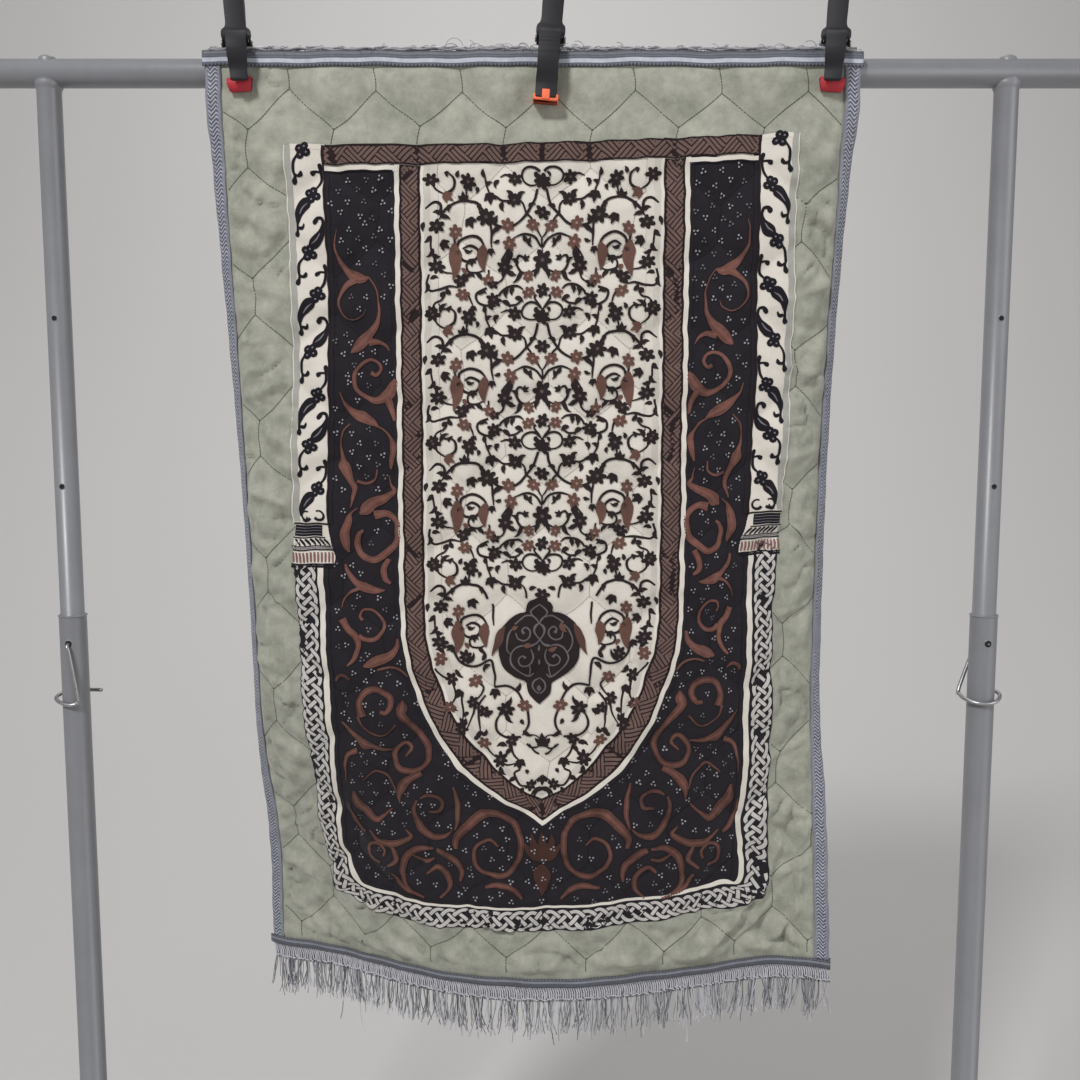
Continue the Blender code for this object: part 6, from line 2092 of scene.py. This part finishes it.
def rubber_finish(name, colour, roughness=0.62):
    finish = Finish(name, {"Specular IOR Level": 0.35})
    grain = finish.noise(1500.0, 3.0)
    scuffs = finish.noise(70.0, 4.0, 0.6)
    tone = finish.scaled(colour, 0.8 + scuffs * 0.4)
    return finish.surface(tone, roughness + scuffs * 0.15, grain, 0.0002)


SLEEVE_WALL = 0.0014
SLEEVE_LIP = 0.0009


def sleeve_profile():
    """The sleeve's outline, open at its rim: up the outside, over a rolled lip and a little way
    down inside, where a flat floor closes it.
    """
    radius, rim, lip = SLEEVE_RADIUS, SLEEVE_RIM, SLEEVE_LIP
    inner = radius - SLEEVE_WALL
    roll = [(radius + lip * math.sin(a), rim - lip * (1 - math.cos(a)) - 0.0002)
            for a in np.linspace(math.pi, 0, 5)]
    return [(radius, FOOT_AXIS), (radius, rim - 2.6 * lip - 0.0004), *roll,
            ((radius + inner) / 2, rim + 0.0002), (inner, rim - 0.0005), (inner, rim - 0.02)]


def bar_profile(radius, half, bevel):
    """The outline of a closed round bar, with a bevel round each end."""
    return [(radius - bevel, -half), (radius, -half + bevel), (radius, half - bevel),
            (radius - bevel, half)]


class RUG_OT_stand(bpy.types.Operator):
    """Tubes of the stand: turned profiles with weld beads, sleeve rims, holes and end plugs"""
    bl_idname = "rug.stand"
    bl_label = "Stand"
    HOLE_SIDES = 20

    def execute(self, context):
        stand = context.scene.rug_stand
        paint = paint_finish(stand)
        steel = steel_finish("zinc plated wire", linear(178, 178, 180), 0.28)
        dark = rubber_finish("hole shadow", linear(30, 30, 32), 0.8)
        rubber = rubber_finish("foot rubber", linear(46, 46, 48), 0.75)
        plug = rubber_finish("plug plastic", linear(40, 40, 42), 0.5)
        sides = stand.tube_sides
        half = (BAR_HIGH[0] - BAR_LOW[0]) / 2
        bar = turned(bar_profile(BAR_RADIUS, half, 0.0006), (0, 0, BAR_HEIGHT), "X", sides)
        add_body("crossbar_tube", bar, paint, "grey_paint", "crossbar")
        for side, sign in (("left", -1), ("right", 1)):
            self.upright(side, sign * UPRIGHT_OFFSET, paint, dark, sides)
            self.foot(side, sign * UPRIGHT_OFFSET, paint, rubber, sides)
            self.lock_pin(side, sign * UPRIGHT_OFFSET, steel)
            end = sign * half
            cap = [(BAR_RADIUS + 0.0008, sign * 0.0003), (BAR_RADIUS + 0.0008, sign * 0.004),
                   (BAR_RADIUS - 0.001, sign * 0.0058), (0.0004, sign * 0.006)]
            add_body(f"crossbar_cap_{side}", turned(cap, (end, 0, BAR_HEIGHT), "X", sides), plug,
                     "plug_plastic", f"crossbar_plug_{side}")
        return {"FINISHED"}

    def upright(self, side, x, paint, dark, sides):
        """The inner tube with a weld bead under the bar, the sleeve round its foot, the closed
        end that shows above the bar, and the holes in their fronts.
        """
        base = (x, 0, 0)
        top = BAR_HEIGHT - BAR_RADIUS + 0.004
        profile = [(UPPER_RADIUS, SLEEVE_RIM - INSIDE_SLEEVE), (UPPER_RADIUS, top - 0.0075),
                   (UPPER_RADIUS + 0.35 * BEAD, top - 0.0058), (UPPER_RADIUS + BEAD, top - 0.0035),
                   (UPPER_RADIUS + BEAD * 1.2, top), (UPPER_RADIUS, top + 0.006)]
        add_body(f"upper_tube_{side}_painted", turned(profile, base, "Z", sides), paint,
                 "grey_paint", f"upper_tube_{side}")
        add_body(f"lower_tube_{side}_painted", turned(sleeve_profile(), base, "Z", sides), paint,
                 "grey_paint", f"lower_tube_{side}")

        dome = turned([(r + 0.0003, z) for r, z in DOME], (x, 0, BAR_HEIGHT), "Z", 32)
        add_body(f"weld_dome_{side}", dome, paint, "grey_paint", f"weld_cap_{side}")
        holes = [self.hole(x, BAR_HEIGHT - below, UPPER_RADIUS, 0.0030)
                 for below in SPARE_HOLES_BELOW_BAR]
        holes.append(self.hole(x, PIN_HOLE, SLEEVE_RADIUS, 0.0040))
        points, faces = join_parts(holes)
        slots = np.tile(np.repeat((1, 1, 1, 0, 0), self.HOLE_SIDES), len(holes))
        placed(make_piece(f"tube_holes_{side}", points, faces, [paint, dark], slots), "grey_paint")

    def hole(self, x, z, radius, size):
        """A punched hole in a tube's front: a dark disc sunk in a raised ring, both bent round
        the tube: each point's depth is the tube's own at its distance from the axis.
        """
        angle = np.arange(self.HOLE_SIDES) / self.HOLE_SIDES * TAU
        rings = ((0.0, 0.00012), (0.5, 0.00012), (0.84, 0.00014), (0.96, 0.0004),
                 (1.12, 0.00042), (1.3, -0.0002))
        points = []
        for share, lift in rings:
            reach = size * share
            across = reach * np.cos(angle)
            out = np.sqrt(radius ** 2 - across ** 2) + lift
            points.append(np.column_stack([x + across, -out, z + reach * np.sin(angle)]))
        return np.array(points), [grid_faces(len(rings), self.HOLE_SIDES, closed=True)]

    def foot(self, side, x, paint, rubber, sides):
        """The tube along the floor, a weld bead round the sleeve on it, and a shoe at each end."""
        profile = bar_profile(SLEEVE_RADIUS, FOOT_HALF, 0.001)
        bar = turned(profile, (x, 0, FOOT_AXIS), "Y", sides)
        bead = [(SLEEVE_RADIUS, FOOT_AXIS + 0.010), (SLEEVE_RADIUS + 0.0022, FOOT_AXIS + 0.0135),
                (SLEEVE_RADIUS + 0.0018, FOOT_AXIS + 0.0165), (SLEEVE_RADIUS, FOOT_AXIS + 0.019)]
        add_body(f"foot_tube_{side}_painted",
                 join_parts([bar, turned(bead, (x, 0, 0), "Z", sides)]), paint, "grey_paint",
                 f"foot_tube_{side}")
        for end in ("front", "back"):
            shoe = f"foot_shoe_{side}_{end}"
            add_body(f"{shoe}_moulded", soft_box(*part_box(shoe), SHOE_ROUNDING), rubber,
                     "foot_rubber", shoe)

    def lock_pin(self, side, x, steel):
        """A bent wire: through the sleeve's hole, down beside it and round it as a clip."""
        clear = SLEEVE_RADIUS + WIRE_RADIUS + 0.0008
        hole, ring = PIN_HOLE, PIN_RING
        if side == "left":
            bends = ((0.0, clear + 0.001, hole), (0.0, 0.008, hole), (0.0, -0.012, hole),
                     (0.0, -clear - 0.001, hole - 0.003), (0.002, -clear - 0.001, hole - 0.010),
                     (0.009, -clear, ring + 0.006), (0.0078, -clear, ring - 0.001),
                     (0.0, -clear - 0.0008, ring - 0.003), (-0.013, -0.0140, ring - 0.001),
                     (-0.0215, -0.004, ring + 0.002), (-0.0185, 0.009, ring + 0.005),
                     (-0.008, clear - 0.0005, ring + 0.006), (0.008, clear + 0.0005, ring + 0.006),
                     (0.0235, 0.017, ring + 0.006))
        else:
            bends = ((0.0, -clear + 0.001, hole), (0.0, -0.006, hole), (0.0, 0.012, hole),
                     (0.0, clear + 0.001, hole - 0.003), (-0.002, clear + 0.001, hole - 0.010),
                     (-0.0205, 0.012, ring + 0.010), (-0.0225, 0.004, ring + 0.004),
                     (-0.0195, -0.008, ring + 0.001), (-0.010, -0.0172, ring - 0.001),
                     (0.002, -clear - 0.001, ring - 0.001), (0.013, -0.0150, ring + 0.001),
                     (0.0205, -0.004, ring + 0.005), (0.0185, 0.007, ring + 0.008),
                     (0.012, 0.0155, ring + 0.009))
        path = smooth_line([(x + a, b, c) for a, b, c in bends], 0.0014, places=3)
        ends = np.ones(len(path))
        ends[0] = ends[-1] = 0.6
        add_body(f"lock_pin_{side}_wire", tube(path, WIRE_RADIUS * ends, 12), steel,
                 "plated_wire", f"lock_pin_{side}")


def rounded_loop(half_width, half_height, radius, corner=4):
    """A rectangle with round corners as points (across, up), counterclockwise."""
    radius = min(radius, half_width, half_height)
    angle = np.linspace(0, math.pi / 2, corner)
    points = []
    for quarter, (sx, sy) in enumerate(((1, 1), (-1, 1), (-1, -1), (1, -1))):
        turn = angle + quarter * math.pi / 2
        points.append(np.column_stack([sx * (half_width - radius) + radius * np.cos(turn),
                                       sy * (half_height - radius) + radius * np.sin(turn)]))
    return np.concatenate(points)


def stacked(loops):
    """Loops of equal length, (n, k, 3), joined into a closed body with flat ends."""
    loops = np.asarray(loops)
    count, columns = loops.shape[:2]
    return loops.reshape(-1, 3), face_out(loops, wall_and_caps(count, columns))


def soft_box(low, high, radius):
    """A box with all its edges rounded: round-cornered loops that draw in at both ends as a
    quarter circle does.
    """
    low, high = np.asarray(low), np.asarray(high)
    centre, half = (low + high) / 2, (high - low) / 2
    angle = np.linspace(0, math.pi / 2, 4)
    levels = [(-half[2] + radius * (1 - math.cos(a)), radius * (1 - math.sin(a))) for a in angle]
    levels += [(-z, d) for z, d in reversed(levels)]
    loops = []
    for z, d in levels:
        flat = rounded_loop(half[0] - d, half[1] - d, max(radius - d * 0.5, 0.0004))
        loops.append(np.column_stack([flat, np.full(len(flat), z)]) + centre)
    return stacked(loops)


# ---------------------------------------------------------------- the clamps
EAR_RADIUS = 0.0068
EAR_THICKNESS = 0.0024
EAR_REACH = 0.0118
INNER_EAR_AT = 0.0110
OUTER_EAR_AT = 0.0138
LEVER_THICKNESS = 0.005
LEVER_ROUNDING = 0.0014
JAW_REACH = 0.052
RIB_PITCH = 0.0046
# Height along the clamp from its pivot, distance from its middle plane, width (0 at the ears).
LEVER = (
    (0.098, 0.0315, 0.0170), (0.092, 0.0310, 0.0215), (0.060, 0.0250, 0.0215),
    (0.030, 0.0165, 0.0210), (0.014, 0.0122, 0.0215), (0.007, 0.0112, 0.0),
    (-0.003, 0.0138, 0.0), (-0.006, 0.0215, 0.0210), (-0.010, 0.0272, 0.0210),
    (-0.015, 0.0318, 0.0210), (-0.020, 0.0350, 0.0210), (-0.026, 0.0362, 0.0210),
    (-0.033, 0.0348, 0.0210), (-0.040, 0.0298, 0.0205),
)
REAR_TIP = ((-0.045, 0.0220, 0.0195), (-0.048, 0.0170, 0.0180))
SIDE_TIP = ((-0.045, 0.0235, 0.0190), (-0.050, 0.0198, 0.0185), (-0.0588, 0.0178, 0.0178))
MIDDLE_TIP = ((-0.045, 0.0240, 0.0215), (-0.050, 0.0200, 0.0213), (-0.0595, 0.0175, 0.0210))


def clamp_frame(clamp):
    """The clamp's own frame, with its origin on its pivot, -Z towards the pads and -Y towards
    the front, and the distance from the pivot to the pads.
    """
    turn = math.radians(clamp.turn_deg)
    down = Vector((0.0, (RUG_MIDDLE_Y - PIVOT_Y) / math.cos(turn),
                   -clamp.above_bar - clamp.pad_below_bar))
    tilt = math.atan2(-down.y, -down.z)
    lean = Matrix.Rotation(math.radians(clamp.lean_deg), 4, "Y")
    facing = lean @ Matrix.Rotation(turn, 4, "Z") @ Matrix.Rotation(-tilt, 4, "X")
    return Matrix.Translation(pivot_of(clamp)) @ facing, down.length


def moved(points, frame_matrix):
    """Points carried by a 4 x 4 matrix."""
    matrix = np.array(frame_matrix)
    return points.reshape(-1, 3) @ matrix[:3, :3].T + matrix[:3, 3]


class RUG_OT_clamps(bpy.types.Operator):
    """Spring clamps: lofted levers with ribs and ears, headed pins, coiled springs and pads"""
    bl_idname = "rug.clamps"
    bl_label = "Spring clamps"

    def execute(self, context):
        stand = context.scene.rug_stand
        plastic = rubber_finish("clamp plastic", stand.clamp_plastic, 0.52)
        steel = steel_finish("clamp steel", linear(170, 168, 166), 0.3)
        pads = {"red": rubber_finish("red pad rubber", stand.red_pad, 0.55),
                "orange": rubber_finish("orange pad rubber", stand.orange_pad, 0.5)}
        for clamp in CLAMPS:
            own, reach = clamp_frame(clamp)
            for face, sign in (("front", 1), ("rear", -1)):
                self.lever(clamp, face, sign, own, reach, plastic)
            self.pin(clamp, own, steel)
            self.spring(clamp, own, steel)
            colour = "orange" if clamp.name == "middle" else "red"
            self.pads(clamp, colour, pads[colour])
        return {"FINISHED"}

    def lever(self, clamp, face, sign, own, reach, plastic):
        """A lever: a round-cornered section carried along a smooth middle line, with ribs on
        its outer face, and two ears at the pivot.
        """
        ear_at = OUTER_EAR_AT if sign > 0 else INNER_EAR_AT
        tip = REAR_TIP if sign < 0 else MIDDLE_TIP if clamp.name == "middle" else SIDE_TIP
        rows = np.array(LEVER + tip)
        rows[:, 2] = np.where(rows[:, 2] == 0, 2 * ear_at + EAR_THICKNESS + 2 * FIT,
                              rows[:, 2] * clamp.widen)
        rows[:, 0] = np.where(rows[:, 0] < -0.02, rows[:, 0] * reach / JAW_REACH, rows[:, 0])
        line = smooth_line(rows, 0.0011)
        place = np.column_stack([-line[:, 1], line[:, 0]])
        along = np.gradient(place, axis=0)
        along /= np.linalg.norm(along, axis=1, keepdims=True)
        outward = np.column_stack([along[:, 1], -along[:, 0]])
        run = np.concatenate([[0], np.cumsum(np.linalg.norm(np.diff(place, axis=0), axis=1))])
        # Ribs on the jaw, and a hardly raised grip on the handle.
        up = line[:, 0]
        on_jaw = smooth_step((-0.008 - up) / 0.004) * smooth_step((up + 0.044) / 0.004)
        on_grip = smooth_step((up - 0.034) / 0.006) * smooth_step((0.090 - up) / 0.006)
        ribs = np.abs(np.sin(run / RIB_PITCH * math.pi)) ** 0.5
        rib_height = 0.0008 if clamp.name == "middle" else 0.0001
        lift = rib_height * ribs * on_jaw + 0.0001 * on_grip
        loops = []
        for k, (here, out) in enumerate(zip(place, outward)):
            thinner, narrower = (0.72, 0.9) if k in (0, len(place) - 1) else (1.0, 1.0)
            loop = rounded_loop(line[k, 2] * narrower / 2, LEVER_THICKNESS * thinner / 2,
                                LEVER_ROUNDING, 3)
            level = loop[:, 1] + np.where(loop[:, 1] > 0, lift[k], 0)
            yz = here + out * level[:, None]
            loops.append(np.column_stack([loop[:, 0], yz]))
        points, faces = join_parts([stacked(loops), self.ear(-ear_at), self.ear(ear_at)])
        if sign < 0:
            points = points * (1, -1, 1)
            faces = [group[:, ::-1] for group in faces]
        piece = add_body(f"clamp_{clamp.name}_{face}_lever", (moved(points, own), faces), plastic,
                         "clamp_plastic", f"clamp_{clamp.name}_{face}")
        piece.data.set_sharp_from_angle(angle=math.radians(38))

    def ear(self, centre_x):
        """A flat ear, round about the pivot and straight to its lever, with chamfered rims."""
        angle = np.linspace(math.pi / 2, -math.pi / 2, 15)
        outline = np.concatenate([
            np.column_stack([EAR_RADIUS * np.cos(angle), EAR_RADIUS * np.sin(angle)]),
            [(-EAR_REACH, -EAR_RADIUS * 0.45), (-EAR_REACH, EAR_RADIUS * 0.9)]])
        loops = []
        for x, size in ((-0.5, 0.90), (-0.36, 1.0), (0.36, 1.0), (0.5, 0.90)):
            flat = outline * size
            loops.append(np.column_stack([np.full(len(flat), centre_x + x * EAR_THICKNESS), flat]))
        return stacked(loops)

    def pin(self, clamp, own, steel):
        """A pin with two domed heads, turned about the clamp's own X."""
        inner = OUTER_EAR_AT + EAR_THICKNESS / 2 + FIT
        head = [(radius, inner + rise) for radius, rise in (
            (0.0024, 0), (0.0041, 0), (0.0042, 0.0007), (0.0034, 0.0013), (0.0018, 0.0016),
            (0.0003, 0.0016))]
        profile = [(r, -x) for r, x in reversed(head)] + head
        points, faces = turned(profile, (0, 0, 0), "X", 28)
        add_body(f"clamp_{clamp.name}_rivet", (moved(points, own), faces), steel, "clamp_steel",
                 f"clamp_{clamp.name}_pin")

    def spring(self, clamp, own, steel):
        """A torsion spring: a helix about the pin with two straight legs up the handles."""
        turns, radius, half = 3, 0.0052, 0.0065
        share = np.linspace(0, 1, 64)
        angle = math.radians(60) + TAU * (turns - 1 / 3) * share
        coil = np.column_stack([half * (2 * share - 1), -radius * np.sin(angle),
                                radius * np.cos(angle)])
        first, last = coil[0] + (0, -0.0028, 0.016), coil[-1] + (0, 0.0028, 0.016)
        path = np.concatenate([np.linspace(first, coil[0], 4)[:-1], coil,
                               np.linspace(coil[-1], last, 4)[1:]])
        points, faces = tube(path, 0.0008, 8)
        add_body(f"clamp_{clamp.name}_coil", (moved(points, own), faces), steel, "clamp_steel",
                 f"clamp_{clamp.name}_spring")

    def pads(self, clamp, colour, finish):
        """Swivelling pads. A side clamp's front pad is a wedge with a bright upper slope; the
        middle clamp's is a T, a bar in front of the lever's tip with a short stem on it. The
        others are soft boxes. A small nub joins each to its lever.
        """
        lean = Matrix.Rotation(math.radians(clamp.lean_deg), 4, "Y")
        half = np.array(PAD_SIZE) / 2
        for face, behind in (("front", 0), ("rear", 2 * PAD_AWAY)):
            place = pad_place(clamp) + Vector((0, behind, 0))
            if behind:
                parts = [soft_box(-half, half, 0.0016)]
            elif clamp.name == "middle":
                parts = [soft_box(-half, half * (1, 1, 0.4), 0.0012),
                         soft_box((-half[0], -0.0150, -half[2]), (half[0], 0.0, -0.0004), 0.0010),
                         soft_box((-0.0041, -0.0162, -0.0062), (0.0041, -0.0118, 0.0042), 0.0008)]
            else:
                parts = [self.wedge(half)]
            parts.append(soft_box((-0.0030, -0.0028, half[2] - 0.004),
                                  (0.0030, 0.0028, half[2] + 0.0010), 0.0008))
            points, faces = join_parts(parts)
            points = moved(points, Matrix.Translation(place) @ lean)
            add_body(f"clamp_{clamp.name}_rubber_{face}", (points, faces), finish,
                     f"pad_{colour}", f"clamp_{clamp.name}_pad_{face}")

    def wedge(self, half):
        """A pad whose front has two slopes that meet in a ridge two fifths of the way down, and
        whose ends narrow towards the foot.
        """
        front = np.array(((0.55, 1.0), (1.0, 0.28), (1.0, 0.12), (0.35, -1.0)))
        loops = []
        for share, size in ((-1.0, 0.86), (-0.94, 1.0), (-0.3, 1.0), (0.3, 1.0), (0.94, 1.0),
                            (1.0, 0.86)):
            slopes = front * size
            narrow = 1 - 0.16 * np.clip(-slopes[:, 1], 0, 1)
            rows = [(share * half[0] * w, -f * half[1], z * half[2])
                    for (f, z), w in zip(slopes, narrow)]
            rows += [(share * half[0] * 0.84, half[1] * size, -half[2] * size),
                     (share * half[0], half[1] * size, half[2] * size)]
            loops.append(rows)
        return stacked(loops)


# ---------------------------------------------------------------- floor, light and camera
CAMERA_PLACE = (0.0134, -1.2245, 1.265)
CAMERA_PITCH = 84.1
LENS = 36.0
BACKDROP_BEND = 4.2
BACKDROP_STARTS = 0.45
FLOOR_FRONT = -7.0
BACKDROP_TOP = 9.0
BACKDROP_HALF_WIDTH = 9


def soft_light(name, place, aim, size, power):
    data = bpy.data.lights.new(name, "AREA")
    data.shape = "DISK"
    data.size = size
    data.energy = power
    lamp = bpy.data.objects.new(name, data)
    lamp.location = place
    lamp.rotation_euler = (Vector(aim) - Vector(place)).to_track_quat("-Z", "Y").to_euler()
    bpy.context.scene.collection.objects.link(lamp)


class RUG_OT_stage(bpy.types.Operator):
    """Pale floor that curves up into a backdrop, soft lights, and the camera"""
    bl_idname = "rug.stage"
    bl_label = "Floor, light and camera"

    def execute(self, context):
        stage = context.scene.rug_stage
        scene = context.scene
        finish = Finish("pale backdrop", {"Specular IOR Level": 0.1})
        wall = finish.surface(finish.scaled(stage.wall, 0.97 + finish.noise(0.8) * 0.05), 0.9)
        angle = np.linspace(0, math.pi / 2, 24)
        bend, start = BACKDROP_BEND, BACKDROP_STARTS
        profile = np.concatenate([[(FLOOR_FRONT, 0.0)],
                                  np.column_stack([start + bend * np.sin(angle),
                                                   bend - bend * np.cos(angle)]),
                                  [(start + bend, BACKDROP_TOP)]])
        across = np.linspace(-BACKDROP_HALF_WIDTH, BACKDROP_HALF_WIDTH, 3)
        points = np.stack([np.repeat(across[None], len(profile), axis=0),
                           np.repeat(profile[:, :1], 3, axis=1),
                           np.repeat(profile[:, 1:] - 0.0005, 3, axis=1)], axis=-1)
        floor = make_piece("floor_and_backdrop", points, [grid_faces(len(profile), 3)[:, ::-1]],
                           [wall])

        world = bpy.data.worlds.new("pale surroundings")
        world.use_nodes = True
        background = world.node_tree.nodes["Background"]
        background.inputs["Color"].default_value = linear(236, 236, 238)
        background.inputs["Strength"].default_value = stage.surround
        scene.world = world
        soft_light("key", (-1.86, -3.22, 4.5), (0, 0, 1.2), 0.8, stage.key_power)
        soft_light("fill", (2.4, -1.8, 1.6), (0, 0, 1.1), 1.8, stage.fill_power)
        soft_light("backdrop light", (0.0, 1.4, 4.6), (0, 4.6, 1.6), 2.4, stage.backdrop_power)

        data = bpy.data.cameras.new("camera")
        data.lens = LENS
        data.sensor_width = LENS
        camera = bpy.data.objects.new("camera", data)
        camera.location = CAMERA_PLACE
        camera.rotation_euler = (math.radians(CAMERA_PITCH), 0, 0)
        scene.collection.objects.link(camera)
        scene.camera = camera
        scene.view_settings.view_transform = "Standard"
        return {"FINISHED"}


# ---------------------------------------------------------------- panel and registration
OPERATORS = (RUG_OT_cloth, RUG_OT_seams, RUG_OT_tapes, RUG_OT_bands, RUG_OT_fringes,
             RUG_OT_plaits, RUG_OT_field, RUG_OT_medallion, RUG_OT_columns,
             RUG_OT_scrolls, RUG_OT_stand, RUG_OT_clamps, RUG_OT_stage)
GROUPS = {"rug_cloth": RugClothSettings, "rug_print": RugPrintSettings,
          "rug_trim": RugTrimSettings, "rug_stand": RugStandSettings,
          "rug_stage": RugStageSettings}


class RUG_PT_panel(bpy.types.Panel):
    """Settings and build steps of the prayer rug"""
    bl_idname = "RUG_PT_panel"
    bl_label = "Prayer rug"
    bl_space_type = "VIEW_3D"
    bl_region_type = "UI"
    bl_category = "Rug"

    def draw(self, context):
        for name, group in GROUPS.items():
            box = self.layout.box()
            box.label(text=name.replace("_", " ").capitalize())
            for key in group.__annotations__:
                box.prop(getattr(context.scene, name), key)
        for operator in OPERATORS:
            self.layout.operator(operator.bl_idname)


def register():
    for cls in (*GROUPS.values(), *OPERATORS, RUG_PT_panel):
        bpy.utils.register_class(cls)
    for name, group in GROUPS.items():
        setattr(bpy.types.Scene, name, PointerProperty(type=group))


def unregister():
    for name in GROUPS:
        delattr(bpy.types.Scene, name)
    for cls in (RUG_PT_panel, *reversed(OPERATORS), *reversed(GROUPS.values())):
        bpy.utils.unregister_class(cls)


def main():
    register()
    for operator in OPERATORS:
        group, name = operator.bl_idname.split(".")
        getattr(getattr(bpy.ops, group), name)()


if __name__ == "__main__":
    main()
